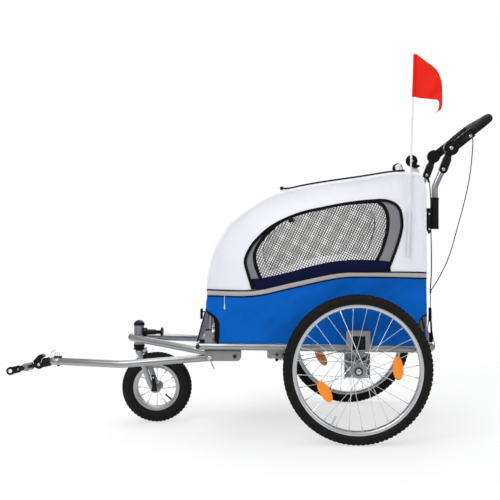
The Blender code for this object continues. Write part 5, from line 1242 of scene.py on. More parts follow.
band = []
for line, width, height, material in (
    ([(x, (z + z_on(strip_line, x)) / 2) for x, z in seam_line], 0.0150, 0.0022, REFLECTIVE),
    (seam_line, 0.0046, 0.0042, BLACK_TAPE),
    ([(x, z_on(strip_line, x)) for x, _ in seam_line], 0.0046, 0.0042, BLACK_TAPE),
):
    loop = evenly(round_cabin(line), 0.012)[:-1]
    band.append(swept(loop, width, height, outwards, material, closed=True))

corner_trim = []
for word, side in SIDES:
    wall_edge = [at(x - 0.0005, side * (FABRIC_Y - 0.0015), z) for x, z in TUB_FRONT[1:]]
    corner_trim += [
        side_tape([(-0.5040, 0.4390), *tub_cut_front], side, 0, 0.0085, 0.0046),
        side_tape(tub_cut_rear, side, 0, 0.0060, 0.0042),
        swept(wall_edge, 0.0050, 0.0050, (-1, 0, 0), BLACK_TAPE),
        side_tape([(x, z + 0.0005) for x, z in tub_bottom], side, 0.0004, 0.0040, 0.0026, BLUE_CLOTH),
    ]
print("band and pipings:", len(band) + len(corner_trim), "parts")

# %% [markdown]
# Rear wheels. The tyre is a turned casing with a bead, a wall line and a rounded crown, and its
# tread blocks are instanced round it by a geometry tree. The rim has a braking wall and a hollow
# bed. The spokes leave two flanges of the hub in crossing pairs, and each ends in a nipple.

# %% Wheel helpers
def ring_tree():
    """The given mesh, repeated round the Y axis."""
    tree, given, out = tree_of(
        "round_the_wheel", "Geometry",
        [("Geometry", "shape"), ("Count", 60), ("Start angle", 0.0), ("Finish", "finish")],
        [("Geometry", "shape")],
    )
    points = node_in(tree, "GeometryNodePoints", inputs={"Count": given["Count"]}).outputs[0]
    index = tree.nodes.new("GeometryNodeInputIndex").outputs[0]
    angle = maths(tree, "MULTIPLY", maths(tree, "DIVIDE", index, given["Count"]), 2 * math.pi)
    angle = maths(tree, "ADD", angle, given["Start angle"])
    turn = node_in(tree, "ShaderNodeCombineXYZ", inputs={1: angle}).outputs[0]
    copies = {"Points": points, "Instance": given["Geometry"], "Rotation": turn}
    return painted(tree, node_in(tree, "GeometryNodeInstanceOnPoints", inputs=copies), given, out)


AROUND = ring_tree()


def around(obj, centre, count, finish, start=0.0):
    """Copies of a part, drawn with the wheel's centre at the origin, all round a wheel."""
    obj = grown(obj, AROUND, Count=count, Start_angle=start, Finish=finish)
    obj.data.transform(Matrix.Translation(centre))
    return clean(obj, 35, outward=False)


def tread_block(angle_half, y0, y1, r0, r1, skew):
    """A small part of a ring from y0 to y1, its far end turned by a skew."""
    points = []
    for r in (r0, r1):
        pull = 0.0 if r == r0 else 0.0004
        for y, turn in ((y0 + pull, 0.0), (y1 - pull, skew)):
            for sign in (-1, 1):
                a = sign * (angle_half - pull / r) + turn
                points.append((r * math.sin(a), y, r * math.cos(a)))
    faces = [(0, 1, 3, 2), (4, 6, 7, 5), (0, 4, 5, 1), (2, 3, 7, 6), (0, 2, 6, 4), (1, 5, 7, 3)]
    return clean(piece(points, faces, TYRE, 25), 25)


def treads(centre, rows, turn):
    """Rows of tread blocks round a tyre: the first in the middle, each other on both sides."""
    every = rows[:1]
    for count, half, y0, y1, *rest in rows[1:]:
        every += [(count, half, y0, y1, *rest), (count, half, -y1, -y0, *rest)]
    return [
        around(tread_block(*sizes), centre, count, TYRE, turn * number)
        for number, (count, *sizes) in enumerate(every)
    ]


def spokes(centre, count, inner_r, outer_r, flanges, rim_y, lean, radius, phase):
    """Spokes and nipples of one wheel: hub and rim radii, flange places and rim offsets."""
    parts = []
    for k in range(count):
        rim_angle = 2 * math.pi * (k + phase) / count
        hub_angle = rim_angle + (lean if (k // 2) % 2 else -lean)
        start = Vector((inner_r * math.cos(hub_angle), flanges[k % 2], inner_r * math.sin(hub_angle)))
        end = Vector((outer_r * math.cos(rim_angle), rim_y[k % 2], outer_r * math.sin(rim_angle)))
        way = (end - start).normalized()
        nipple = end - way * 0.013
        neck = [centre + nipple, centre + nipple + way * 0.010, centre + end]
        parts.append(tube([centre + start, centre + nipple + way * 0.002], radius, SPOKE_METAL, 8))
        parts.append(tube(neck, [radius * 1.9, radius * 2.1, radius * 2.4], BRIGHT_METAL, 8))
    return parts


def both_sides(section):
    """A half section mirrored into a whole one."""
    return [*section, *[(r, -y) for r, y in section[::-1] if abs(y) > 1e-9]]


def ray(degrees):
    """The direction at an angle round a wheel."""
    return Vector((math.cos(math.radians(degrees)), 0, math.sin(math.radians(degrees))))


def valve_part(root, way, steps, material):
    """A round part of a valve, from its distances below the rim and its radii there."""
    return tube([root - way * d for d, _ in steps], [r for _, r in steps], material, 12)


print("ring tree:", AROUND.name)

# %% [markdown]
# One rear wheel on each side: tyre, rim, hub with 28 spokes, valve and two reflectors. Each part
# is drawn about the wheel's centre. The right hub and its spokes mirror the left ones, and the
# right valve stands at another turn.

# %% Rear wheels
TYRE_SECTION = both_sides([
    (0.2125, -0.0118), (0.2145, -0.0134), (0.217, -0.015), (0.22, -0.0168), (0.2245, -0.0192),
    (0.229, -0.0204), (0.233, -0.0202), (0.2368, -0.0188), (0.239, -0.0182), (0.2396, -0.0166),
    (0.2424, -0.013), (0.2442, -0.0085), (0.245, -0.004), (0.2452, 0.0),
])
TYRE_INSIDE = both_sides([(0.2135, 0.0098), (0.219, 0.0125), (0.24, 0.01), (0.2415, 0.0)])
TREAD_ROWS = [
    (96, 0.0225, -0.0052, 0.0052, 0.2442, 0.2469, 0.010),
    (96, 0.0205, 0.0066, 0.0132, 0.2418, 0.2452, 0.012),
    (64, 0.0220, 0.0144, 0.0172, 0.2386, 0.2412, 0.006),
]
RIM_SECTION = both_sides([
    (0.201, 0.0), (0.2012, -0.006), (0.2026, -0.0095), (0.205, -0.0118), (0.2085, -0.0132),
    (0.2136, -0.0136), (0.2148, -0.0132), (0.2148, -0.0118), (0.2134, -0.0112), (0.211, -0.011),
    (0.2086, -0.007), (0.208, 0.0),
])
HUB_SHELL = [
    (0.0075, -0.0255), (0.013, -0.025), (0.014, -0.0232), (0.0238, -0.0228), (0.0242, -0.0205),
    (0.023, -0.019), (0.015, -0.0178), (0.013, -0.014), (0.0118, 0.0), (0.013, 0.0155),
    (0.015, 0.0205), (0.0232, 0.0222), (0.0244, 0.0236), (0.024, 0.0258), (0.015, 0.0264),
    (0.014, 0.029), (0.0075, 0.0296),
]
VALVE_ROOT, VALVE_TURNS = 0.2000, {LEFT: -115.5, RIGHT: 60.0}
VALVE_STEM = ((0.002, 0.003), (0.017, 0.003), (0.022, 0.0026))
VALVE_CAP = ((0.0215, 0.0028), (0.0225, 0.0033), (0.03, 0.0033), (0.0312, 0.0024))
REFLECTOR_R, REFLECTOR_ACROSS, REFLECTOR_HIGH = 0.129, 0.0380, 0.0170


def reflector(name, body, centre, degrees):
    """An oval lens clipped between the spokes, with a raised middle on each face."""
    low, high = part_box(name)
    y_low, y_high = low[1], high[1]
    out = ray(degrees)
    across = Vector((-out.z, 0, out.x))
    middle = Vector((centre.x - AXLE_X + REFLECTOR_R * out.x, 0, centre.z + REFLECTOR_R * out.z))

    def oval(scale):
        line = []
        for k in range(40):
            a = 2 * math.pi * k / 40
            u, v = (math.copysign(abs(turn) ** 0.92, turn) for turn in (math.cos(a), math.sin(a)))
            spot = middle + out * v * REFLECTOR_HIGH * scale + across * u * REFLECTOR_ACROSS * scale
            line.append((spot.x, spot.z))
        return line

    parts = [plate(oval(1.0), y_low + 0.0010, y_high - 0.0010, ORANGE_LENS, 0.0012)]
    parts.append(plate(oval(0.80), y_low + 0.0003, y_high - 0.0003, ORANGE_LENS, 0.0006))
    for end in (-1, 1):
        spot = middle + across * 0.0290 * end
        ends = [at(spot.x, y, spot.z) for y in (y_low - 0.0002, y_high + 0.0002)]
        parts.append(tube(ends, 0.0022, ORANGE_LENS, 12))
    whole(f"{name}_piece", body, "orange_reflector", name, *parts)


for word, side in SIDES:
    body, centre = f"{word}_wheel", at(0, side * WHEEL_Y, TYRE_R)
    tyre = [lathe(TYRE_SECTION + TYRE_INSIDE, centre, ACROSS, TYRE, 120, True, 28)]
    tyre += treads(centre, TREAD_ROWS, 0.03)
    for sign in (-1, 1):
        for r, out in ((0.2270, 0.0204), (0.2348, 0.0197)):
            y = sign * out
            line = [(r - 0.0005, y * 0.985), (r, y + sign * 0.0006), (r + 0.0005, y * 0.985)]
            tyre.append(lathe(line, centre, ACROSS, TYRE, 120, True))
    whole(f"{word}_wheel_tyre", body, "tyre_rubber", f"{word}_tyre", *tyre)
    rim = lathe(RIM_SECTION, centre, ACROSS, RIM_METAL, 120, True, 40, f"{word}_wheel_rim")
    carried(rim, body, "rim_alloy", f"{word}_rim")
    flanges, beds = (side * 0.0235, -side * 0.0215), (side * 0.003, -side * 0.003)
    hub = spokes(centre, 28, 0.0220, 0.2030, flanges, beds, 1.20, 0.0010, 0.34)
    shell = HUB_SHELL if side == RIGHT else [(r, -y) for r, y in HUB_SHELL[::-1]]
    hub.append(lathe(shell, centre, ACROSS, HUB_METAL, 48, True, 30))
    whole(f"{word}_wheel_hub_and_spokes", body, "bright_steel", f"{word}_hub_spokes", *hub)
    way = ray(VALVE_TURNS[side])
    root = centre + way * VALVE_ROOT
    valve = [valve_part(root, way, steps, BRIGHT_METAL) for steps in (VALVE_STEM, VALVE_CAP)]
    whole(f"{word}_wheel_valve", body, "bright_steel", None, *valve)
    reflector(f"{word}_lower_reflector", body, centre, 212)
    reflector(f"{word}_rear_reflector", body, centre, 3)
print("rear wheels:", len(hub), "parts in each hub with its spokes")

# %% [markdown]
# The front wheel turns in the fork on its own skewer. Its rim is deep and its twelve spokes are
# thick, and a valve stands between two of them.

# %% Front wheel
FRONT_TYRE_SECTION = both_sides([
    (0.0834, -0.013), (0.0858, -0.0152), (0.0922, -0.019), (0.103, -0.0213), (0.109, -0.0212),
    (0.114, -0.0196), (0.1165, -0.0185), (0.1172, -0.0166), (0.121, -0.0128), (0.1238, -0.008),
    (0.125, -0.004), (0.1252, 0.0),
])
FRONT_TYRE_INSIDE = both_sides([(0.0845, 0.011), (0.0925, 0.014), (0.118, 0.011), (0.1215, 0.0)])
FRONT_TREAD_ROWS = [
    (54, 0.040, -0.0048, 0.0048, 0.1242, 0.1269, 0.02),
    (54, 0.038, 0.0060, 0.0124, 0.1212, 0.1248, 0.02),
    (40, 0.045, 0.0136, 0.0168, 0.1164, 0.1196, 0.01),
]
FRONT_RIM_SECTION = both_sides([
    (0.07, 0.0), (0.07, -0.0085), (0.0711, -0.012), (0.0757, -0.0142), (0.0817, -0.0152),
    (0.0837, -0.0154), (0.0842, -0.0144), (0.0837, -0.013), (0.0817, -0.0126), (0.0766, -0.01),
    (0.0749, 0.0),
])
FRONT_HUB_SHELL = both_sides([
    (0.0034, -0.025), (0.0178, -0.0248), (0.0182, -0.0222), (0.0176, -0.0205), (0.011, -0.019),
    (0.0092, -0.015), (0.0088, 0.0),
])
FRONT_VALVE_STEM = ((-0.002, 0.003), (0.014, 0.003), (0.02, 0.0024))
FRONT_VALVE_CAP = ((0.0195, 0.0028), (0.0205, 0.0035), (0.027, 0.0035), (0.028, 0.0025))

centre, way = at(FRONT_AXLE_X, 0, FRONT_TYRE_R), ray(-42)
tyre = [lathe(FRONT_TYRE_SECTION + FRONT_TYRE_INSIDE, centre, ACROSS, TYRE, 96, True, 28)]
tyre += treads(centre, FRONT_TREAD_ROWS, 0.05)
whole("front_wheel_tyre", "front_wheel", "tyre_rubber", "front_tyre", *tyre)
core = [lathe(FRONT_RIM_SECTION, centre, ACROSS, FRONT_RIM_METAL, 96, True, 40)]
core += spokes(centre, 12, 0.0150, 0.0712, (-0.0225, 0.0225), (-0.003, 0.003), 0.2, 0.0013, 0.0)
core.append(lathe(FRONT_HUB_SHELL, centre, ACROSS, HUB_METAL, 40, True, 30))
core.append(valve_part(centre + way * 0.0695, way, FRONT_VALVE_STEM, RUBBER))
core.append(valve_part(centre + way * 0.0695, way, FRONT_VALVE_CAP, BLACK_MOULDED))
whole("front_wheel_rim_and_spokes", "front_wheel", "rim_alloy", "front_wheel_core", *core)
print("front wheel:", len(core), "parts in its core")

# %% [markdown]
# The cabin's pieces go on their bodies. The canopy, its trim, the nets, the tub, the band and the
# floor all stay with the lower frame, and the canopy, its trim and the nets get meshes of their own.


def soft(obj, slot, *replaced):
    """A cabin piece on the lower frame, with a mesh of its own."""
    carried(obj, "base", slot, *replaced)
    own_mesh(obj)


soft(canopy, "white_fabric", "canopy_fabric")
soft(left_net, "black_net", "left_window_net")
soft(right_net, "black_net", "right_window_net")
for word, parts in trim_parts:
    soft(merged(f"{word}_window_trim", parts), "black_net")
carried(tub, "base", "blue_fabric", "tub_fabric")
whole("band_and_pipings", "base", "blue_fabric", None, *band)
whole("corner_pipings", "base", "blue_fabric", None, *corner_trim)

# %% [markdown]
# The canopy and the tub are two sewn sheets of coated cloth, stretched over the arch and the
# rails.


# %% [markdown]
# The lower frame's bent tubes are swept again with round sections. Each side rail keeps its
# welded ears, bolts and bracket as separate parts on it.

# %% Plates and bolts
def bolt(place, way, radius, height, material=DARK_METAL, socket=True):
    """A bolt head with a chamfer and a socket, standing on a face."""
    rim = [(0.0, 0.0), (radius, 0.0), (radius, height * 0.72), (radius * 0.82, height)]
    if socket:
        rim += [(radius * 0.5, height), (radius * 0.46, height * 0.45), (0.0, height * 0.40)]
    else:
        rim.append((0.0, height * 1.12))
    return lathe(rim, place, way, material, 24, smooth=30)


def side_block(side, xs, ys, zs, material, bevel=0.0006, name="part"):
    """A rounded block on one side, with its reach along y counted from the middle plane."""
    return crate(xs, [side * y for y in ys], zs, material, bevel, name)


def side_plate(side, outline, ys, material, bevel=0.0006):
    """A plate on one side, with its faces counted from the middle plane."""
    return plate(outline, *sorted(side * y for y in ys), material, bevel)


print("bolts, side blocks and side plates can be made")

# %% [markdown]
# The two side rails are bent tubes that turn inwards at the rear to the cross tube. Ears for the
# arch and the uprights are plates with rounded tops, because such ears are cut from sheet, and
# only the left rail has the bracket with its stay wire.

# %% Lower frame
END_RING = [(0.0, 0.0), (0.0072, 0.0), (0.0076, 0.0006), (0.007, 0.0026), (0.0, 0.0026)]
WASHER = [(0.0, 0.0), (0.0095, 0.0), (0.0095, 0.0008), (0.0, 0.0008)]
FRONT_EAR_LOW, REAR_EAR_LOW = rail_z(-0.4985) + 0.002, rail_z(0.230) - 0.002
FRONT_EAR = [
    (-0.512, FRONT_EAR_LOW), (-0.485, FRONT_EAR_LOW), (-0.485, 0.356), (-0.488, 0.3635),
    (-0.494, 0.3678), (-0.503, 0.3678), (-0.509, 0.3635), (-0.512, 0.356),
]
REAR_EAR = [
    (0.212, REAR_EAR_LOW), (0.248, REAR_EAR_LOW), (0.248, 0.356), (0.244, 0.364),
    (0.237, 0.369), (0.223, 0.369), (0.216, 0.364), (0.212, 0.356),
]
BRACKET_TOP = rail_z(-0.27) - 0.006
BRACKET = [
    (-0.301, 0.276), (-0.297, 0.2722), (-0.242, 0.2722), (-0.2382, 0.276), (-0.2382, BRACKET_TOP),
    (-0.301, BRACKET_TOP),
]
STAY_WIRE = ((-0.2692, 0.2676), (-0.1953, 0.2644), (-0.0676, 0.2917), (-0.042, 0.2985))


def rail_parts(side):
    """One side rail with its plug, its two ears and their bolts and pins."""
    def spot(x, y, z):
        return at(x, side * y, z)

    out = (0, side, 0)
    front, rear = spot(RAIL_FRONT_X, RAIL_Y, RAIL_FRONT_Z), spot(CROSS_X, RAIL_Y, CROSS_Z)
    path = bent([front, rear, spot(CROSS_X, 0.1806, CROSS_Z)], [0.0425], 10)
    straight = [path[0].lerp(path[1], k / 6) for k in range(6)]
    plug = [spot(-0.5400, RAIL_Y, 0.31308), spot(-0.5335, RAIL_Y, 0.313)]
    foot_z = (REAR_EAR_LOW, REAR_EAR_LOW + 0.006)
    return [
        tube(straight + path[1:], TUBE_R, SILVER_TUBE, 28, 0.0012),
        bolt(spot(RAIL_FRONT_X, RAIL_Y + TUBE_R - 0.0008, RAIL_FRONT_Z), out, 0.0036, 0.0052),
        lathe(END_RING, spot(RAIL_FRONT_X, RAIL_Y + TUBE_R - 0.0010, RAIL_FRONT_Z), out, DARK_METAL, 32),
        tube(plug, 0.0112, SILVER_TUBE, 24, 0.001),
        side_plate(side, FRONT_EAR, (0.2340, 0.2370), GREY_PLATE, 0.0005),
        bolt(spot(-0.4985, 0.2368, 0.350), out, 0.0052, 0.0034, GREY_PLATE, False),
        side_block(side, (-0.5085, -0.4885), (0.2335, 0.2376), (0.3650, 0.3695), BLACK_MOULDED, 0.0008),
        lathe(WASHER, spot(-0.4985, 0.2368, 0.350), out, GREY_PLATE, 32),
        tube([spot(-0.4985, 0.217, 0.350), spot(-0.4985, 0.2370, 0.350)], 0.0040, BRIGHT_METAL, 16),
        side_plate(side, REAR_EAR, (0.2065, 0.2095), GREY_PLATE, 0.0005),
        side_block(side, (0.2120, 0.2400), (0.2065, 0.2270), foot_z, GREY_PLATE),
        bolt(spot(0.230, 0.2093, 0.349), out, 0.0080, 0.0040),
        tube([spot(0.230, 0.184, 0.349), spot(0.230, 0.2095, 0.349)], 0.0040, BRIGHT_METAL, 16),
    ]


def bracket_parts():
    """The left rail's bracket with its bolts, clamp, nuts and stay wire."""
    wire = [at(x, -0.2355, z) for x, z in STAY_WIRE]
    clamp = [at(-0.2692, y, 0.2676) for y in (-0.2440, -0.2270)]
    nuts = [[at(x, y, 0.2690) for y in (-0.2430, -0.2280)] for x in (-0.2590, -0.2490)]
    return [
        plate(BRACKET, -0.2450, -0.2250, GREY_PLATE, 0.0008),
        bolt(at(-0.2681, -0.2448, 0.2858), (0, -1, 0), 0.0052, 0.0040),
        bolt(at(-0.2450, -0.2448, 0.2868), (0, -1, 0), 0.0052, 0.0040),
        tube(flowing(wire), 0.0013, DARK_METAL, 8),
        tube(clamp, 0.0056, BLACK_MOULDED, 20, 0.001),
        *[tube(nut, 0.0042, BRIGHT_METAL, 6, 0.0006) for nut in nuts],
    ]


for word, side in SIDES:
    parts = rail_parts(side) + (bracket_parts() if side == LEFT else [])
    whole(f"{word}_side_rail_tube", "base", "silver_frame", f"{word}_side_rail", *parts)
print("rails:", len(parts), "parts on the right one")

# %% [markdown]
# The push handle. Each post ends in a lower arm with a disc, and each upper arm starts in a
# second disc with small ribs: the two discs are the tilting joint. A bent tube in foam joins the
# upper arms.

# %% Handle parts
def disc_with_rings(centre, way, radius, thick):
    """A round boss with an outer lip, a ring groove, a recessed face and a centre screw."""
    profile = [
        (0.0, 0.0), (radius - 0.001, 0.0), (radius, 0.001), (radius, thick - 0.0016),
        (radius - 0.0016, thick), (radius * 0.84, thick), (radius * 0.80, thick - 0.0012),
        (radius * 0.66, thick - 0.0012), (radius * 0.62, thick), (radius * 0.40, thick),
        (radius * 0.36, thick - 0.0010), (0.0, thick - 0.0010),
    ]
    return lathe(profile, centre, way, BLACK_MOULDED, 48, smooth=30)


def teeth_ring(centre, radius, count):
    """Small ribs round a disc, for the fingers."""
    low, high = (-0.0009, -0.0042, radius - 0.0007), (0.0009, 0.0042, radius + 0.0006)
    return around(block(low, high, BLACK_MOULDED, 0.0003, 1), centre, count, BLACK_MOULDED)


def capsule(start, end, width, square_end=False):
    """The outline of a bar between two flat places, with round ends or one square end."""
    way, r = (end - start).normalized(), width / 2
    across = Vector((-way.y, way.x))

    def half(place, first):
        turns = [first + math.pi * k / 12 for k in range(13)]
        return [place + way * math.cos(a) * r + across * math.sin(a) * r for a in turns]

    end_line = [end - across * r, end + across * r] if square_end else half(end, -math.pi / 2)
    return [(p.x, p.y) for p in half(start, math.pi / 2) + end_line]


def slab(outline, y, thick, bevel=0.001):
    """A moulded plate about a middle y."""
    return plate(outline, y - thick / 2, y + thick / 2, BLACK_MOULDED, bevel)


def on_tilt(y):
    """A point of the axis that the handle tilts about."""
    return at(TILT.x, y, TILT.z)


print("tilting axis at", tuple(on_tilt(0)))

# %% [markdown]
# The parts come together on each side, first what stays with the post, then what tilts. The foam
# grip is one tube with two bends and a seam along its length.

# %% Push handle
LOWER_DISC = [(0.0, 0.0), (0.0235, 0.0), (0.025, 0.0015), (0.025, 0.0118), (0.0, 0.0118)]
TILT_PIN = [(0.0, 0.0), (0.0045, 0.0), (0.0045, 0.0118), (0.0, 0.0118)]
GRIP_R = 0.0150

down = (Vector((0.293, 0, 0.895)) - TILT).normalized()
pivot, flat_down, flat_grip = (Vector((v.x, v.z)) for v in (TILT, down, GRIP_WAY))
arm_top, screw = pivot + flat_down * 0.0415, pivot + flat_down * 0.078
post_top = TILT + down * 0.051
low = Vector((-flat_grip.y, flat_grip.x)) * -0.0022
root, end = pivot + flat_grip * 0.0415, pivot + flat_grip * 0.0915
middle = pivot + flat_grip * 0.0665
arm_x, arm_z = middle.x + 0.0127, middle.y - 0.0005
rib = capsule(pivot + flat_grip * 0.048, pivot + flat_grip * 0.084, 0.016)
for word, side in SIDES:
    y, out = side * POST_Y, (0, side, 0)
    path = bent([at(0.270, y, 0.712), at(0.270, y, 0.852), at(post_top.x, y, post_top.z)], [0.06], 12)
    whole(
        f"{word}_handle_post_and_arm", "handle_lower", "silver_frame", f"{word}_handle_post",
        tube(path, SLIM_R, SILVER_TUBE, 28, 0.001),
        slab(capsule(arm_top, screw, 0.029), y, 0.0254, 0.0034),
        slab(capsule(arm_top, screw, 0.012), y, 0.0260),
        lathe(LOWER_DISC, on_tilt(side * 0.1780), out, BLACK_MOULDED, 48),
        slab(capsule(pivot, arm_top, 0.024), side * 0.1839, 0.0108, 0.0015),
        bolt(at(screw.x, y - side * 0.0126, screw.y), (0, -side, 0), 0.0050, 0.0022, BRIGHT_METAL, False),
        bolt(at(screw.x, y + side * 0.0128, screw.y), out, 0.0052, 0.0022, BRIGHT_METAL),
        lathe(TILT_PIN, on_tilt(side * 0.1885), out, BRIGHT_METAL, 24),
    )
    whole(
        f"{word}_handle_upper_arm", "handle_upper", "black_plastic", f"{word}_upper_arm",
        slab(capsule(root + low, end + low, 0.0325, True), y, 0.0210, 0.0036),
        slab(rib, y, 0.0207),
        disc_with_rings(on_tilt(side * 0.1902), out, 0.0250, 0.0118),
        teeth_ring(on_tilt(side * 0.1955), 0.0248, 40),
        slab(capsule(pivot + low, root + low + flat_grip * 0.012, 0.0325), side * 0.1961, 0.0108, 0.0015),
        bolt(on_tilt(side * 0.2006), out, 0.0058, 0.0022, BRIGHT_METAL),
        bolt(at(arm_x, y + side * 0.0106, arm_z), out, 0.0052, 0.0022, BRIGHT_METAL),
    )

near, far = TILT + GRIP_WAY * 0.0918, TILT + GRIP_WAY * 0.1725
ends = ((near, -POST_Y), (far, -POST_Y), (far, POST_Y), (near, POST_Y))
grip_line = evenly(bent([at(p.x, y, p.z) for p, y in ends], [0.038, 0.038], 12), 0.006)
radii = [GRIP_R * 0.93] + [GRIP_R] * (len(grip_line) - 2) + [GRIP_R * 0.93]
seam_way = GRIP_WAY.cross(Vector(ACROSS)) * 0.0149
seam = tube(evenly([p + seam_way for p in grip_line[2:-2]], 0.012), 0.0006, RUBBER, 8)
foam = tube(grip_line, radii, FOAM, 32)
whole("handle_foam_grip", "handle_upper", "black_foam", "handle_grip", foam, seam)
print("handle:", len(grip_line), "stations along the grip")

# %% [markdown]
# The rear frame leans a little and bends forwards at its top, where each side has a round fold
# joint with a leaf lever. A cross bar joins the two uprights, and black sleeves are clamped to
# them for the handle's posts.

# %% Rear frame and sleeves
FOLD_X, FOLD_Z, POST_X, LEAN_X = 0.188, 0.938, 0.270, 0.216
UPRIGHT_LINE = ((0.230, 0.339), (LEAN_X, 0.415), (LEAN_X, 0.865), (FOLD_X, 0.946))
COVER_RADII = [0.007, 0.0112, 0.0128, 0.0124, 0.013, 0.0124, 0.0131, 0.0126]
LEAF = [
    (0.002, -0.019), (0.008, -0.025), (0.018, -0.0246), (0.0285, -0.019), (0.029, -0.016),
    (0.021, -0.0125), (0.015, -0.011),
]
SLEEVE = [
    (0.0113, 0.0), (0.0131, 0.0), (0.0136, 0.0006), (0.0136, 0.1074), (0.0131, 0.108),
    (0.0113, 0.108),
]
COLLAR = [
    (0.0112, 0.0), (0.0146, 0.0), (0.015, 0.0006), (0.015, 0.0644), (0.0146, 0.065), (0.0112, 0.065),
]
LIP = [(0.0128, 0.0), (0.0144, 0.0004), (0.0144, 0.0026), (0.0128, 0.003)]
JAW = [
    (0.2285, 0.73), (0.244, 0.7), (0.2462, 0.6965), (0.2485, 0.69), (0.252, 0.69), (0.2545, 0.6975),
    (0.2575, 0.699), (0.2575, 0.7776), (0.2285, 0.7776),
]

leaf = [(FOLD_X + x, FOLD_Z + z) for x, z in LEAF]
for word, side in SIDES:
    y, out = side * UPRIGHT_Y, (0, side, 0)
    path = bent([at(x, y, z) for x, z in UPRIGHT_LINE], [0.15, 0.06], 10)
    whole(
        f"{word}_rear_upright", "rear_frame", "silver_frame", f"{word}_upright",
        tube(path, SLIM_R, SILVER_TUBE, 28, 0.001),
        tube([at(FOLD_X, y, FOLD_Z), at(FOLD_X, side * 0.213, FOLD_Z)], 0.0045, BRIGHT_METAL, 20),
        tube([at(0.1884, y, 0.9452), at(0.1868, y, 0.9492)], [0.0111, 0.0092], BLACK_MOULDED),
    )
    top = [path[-1].lerp(path[-2], t) for t in (-0.10, -0.04, 0.1, 0.5, 1.0)] + path[-3:-6:-1]
    cover = tube(top, COVER_RADII, WHITE_CLOTH, 28, name=f"{word}_upright_cover")
    carried(cover, "rear_frame", "white_fabric")
    whole(
        f"{word}_fold_joint_lever", f"{word}_lever", "black_plastic", f"{word}_fold_lever",
        disc_with_rings(at(FOLD_X, side * 0.2063, FOLD_Z), out, 0.0200, 0.0092),
        side_plate(side, leaf, (0.2073, 0.2145), BLACK_MOULDED, 0.0010),
        teeth_ring(at(FOLD_X, side * 0.2109, FOLD_Z), 0.0199, 34),
        bolt(at(FOLD_X, side * 0.2143, FOLD_Z), out, 0.0050, 0.0012, BRIGHT_METAL),
    )
    whole(
        f"{word}_handle_sleeve", "rear_frame", "black_plastic", f"{word}_post_sleeve",
        lathe(SLEEVE, at(POST_X, side * POST_Y, 0.706), UP, BLACK_MOULDED, 48, True),
        lathe(COLLAR, at(LEAN_X, y, 0.730), UP, BLACK_MOULDED, 40, True),
        side_plate(side, JAW, (0.1830, 0.1990), BLACK_MOULDED, 0.0016),
        bolt(at(0.2504, side * 0.1988, 0.7584), out, 0.0036, 0.0020, BRIGHT_METAL, False),
        bolt(at(0.2504, side * 0.1988, 0.7060), out, 0.0036, 0.0020, BRIGHT_METAL, False),
        lathe(LIP, at(POST_X, side * POST_Y, 0.7075), UP, BLACK_MOULDED, 40, True),
        lathe(LIP, at(POST_X, side * POST_Y, 0.8105), UP, BLACK_MOULDED, 40, True),
    )
bar = tube([at(LEAN_X, y, 0.845) for y in (-0.1837, 0, 0.1837)], 0.009, SILVER_TUBE, 24, 0.0006)
whole("rear_bar", "rear_frame", "silver_frame", "rear_crossbar", bar)
print("rear frame:", len(path), "stations on each upright")

# %% [markdown]
# The front frame is one tube bent round the steering head, welded to the head and to a cross
# tube between the rails. The fork's crown turns in the head under a black cap, and a spring pin
# behind the head locks it straight.

# %% Front frame
WRAP_R, HOOP_Z, HOOP_X, HOOP_Y = 0.0275, 0.3085, -0.505, 0.152
HEAD_TUBE = [
    (0.0124, 0.0), (0.0179, 0.0), (0.0185, 0.0006), (0.0185, 0.003), (0.0178, 0.0036),
    (0.0178, 0.0664), (0.0185, 0.067), (0.0185, 0.0694), (0.0179, 0.07), (0.0124, 0.07),
]
HEAD_CAP = [
    (0.0, 0.0), (0.0185, 0.0), (0.0195, 0.001), (0.0195, 0.004), (0.0185, 0.007), (0.015, 0.0118),
    (0.0095, 0.0158), (0.004, 0.0176), (0.0, 0.018),
]


def weld(centre, axis, radius, bead):
    """A bead with an oval section, as a ring about an axis."""
    axis = Vector(axis)
    across = axis.orthogonal().normalized()
    points = []
    for place in circle(centre, across, axis.cross(across), radius, 56):
        out = (place - centre).normalized()
        for s in range(8):
            a = 2 * math.pi * s / 8
            points.append(place + out * math.cos(a) * bead * 0.6 + axis * math.sin(a) * bead)
    return clean(piece(points, grid(56, 8, round_rows=True, round_width=True), SILVER_TUBE), 50)


to_head = Vector((HEAD_X - HOOP_X, -HOOP_Y, 0))
first_turn = math.atan2(-to_head.y, -to_head.x) + math.asin(WRAP_R / to_head.length) + math.pi / 2
turns = [first_turn + (2 * math.pi - 2 * first_turn) * k / 24 for k in range(25)]
arc = [at(HEAD_X + WRAP_R * math.cos(a), WRAP_R * math.sin(a), HOOP_Z) for a in turns]
leg = [at(HOOP_X, HOOP_Y, 0.2775).lerp(arc[0], k / 4) for k in range(4)]
other_leg = [Vector((p.x, -p.y, p.z)) for p in leg[::-1]]
cross_z = rail_z(HOOP_X)
front_cross = [at(HOOP_X, y, cross_z) for y in (-0.2222, 0, 0.2222)]
front = [
    tube([*leg, *arc, *other_leg], TUBE_R, SILVER_TUBE, 28, 0.0012),
    lathe(HEAD_TUBE, at(HEAD_X, 0, 0.283), UP, SILVER_TUBE, 48, True),
    tube(front_cross, TUBE_R, SILVER_TUBE, 28, 0.0008),
]
for y in (-HOOP_Y, HOOP_Y):
    front.append(crate((-0.5150, -0.4930), (y - 0.014, y + 0.014), (0.2665, cross_z), GREY_PLATE))
for y in (0.0185, -0.0185):
    front.append(weld(at(HEAD_X + 0.010, y, HOOP_Z), ACROSS, 0.0050, 0.00255))
whole("front_frame_and_head", "base", "silver_frame", "front_frame", *front)
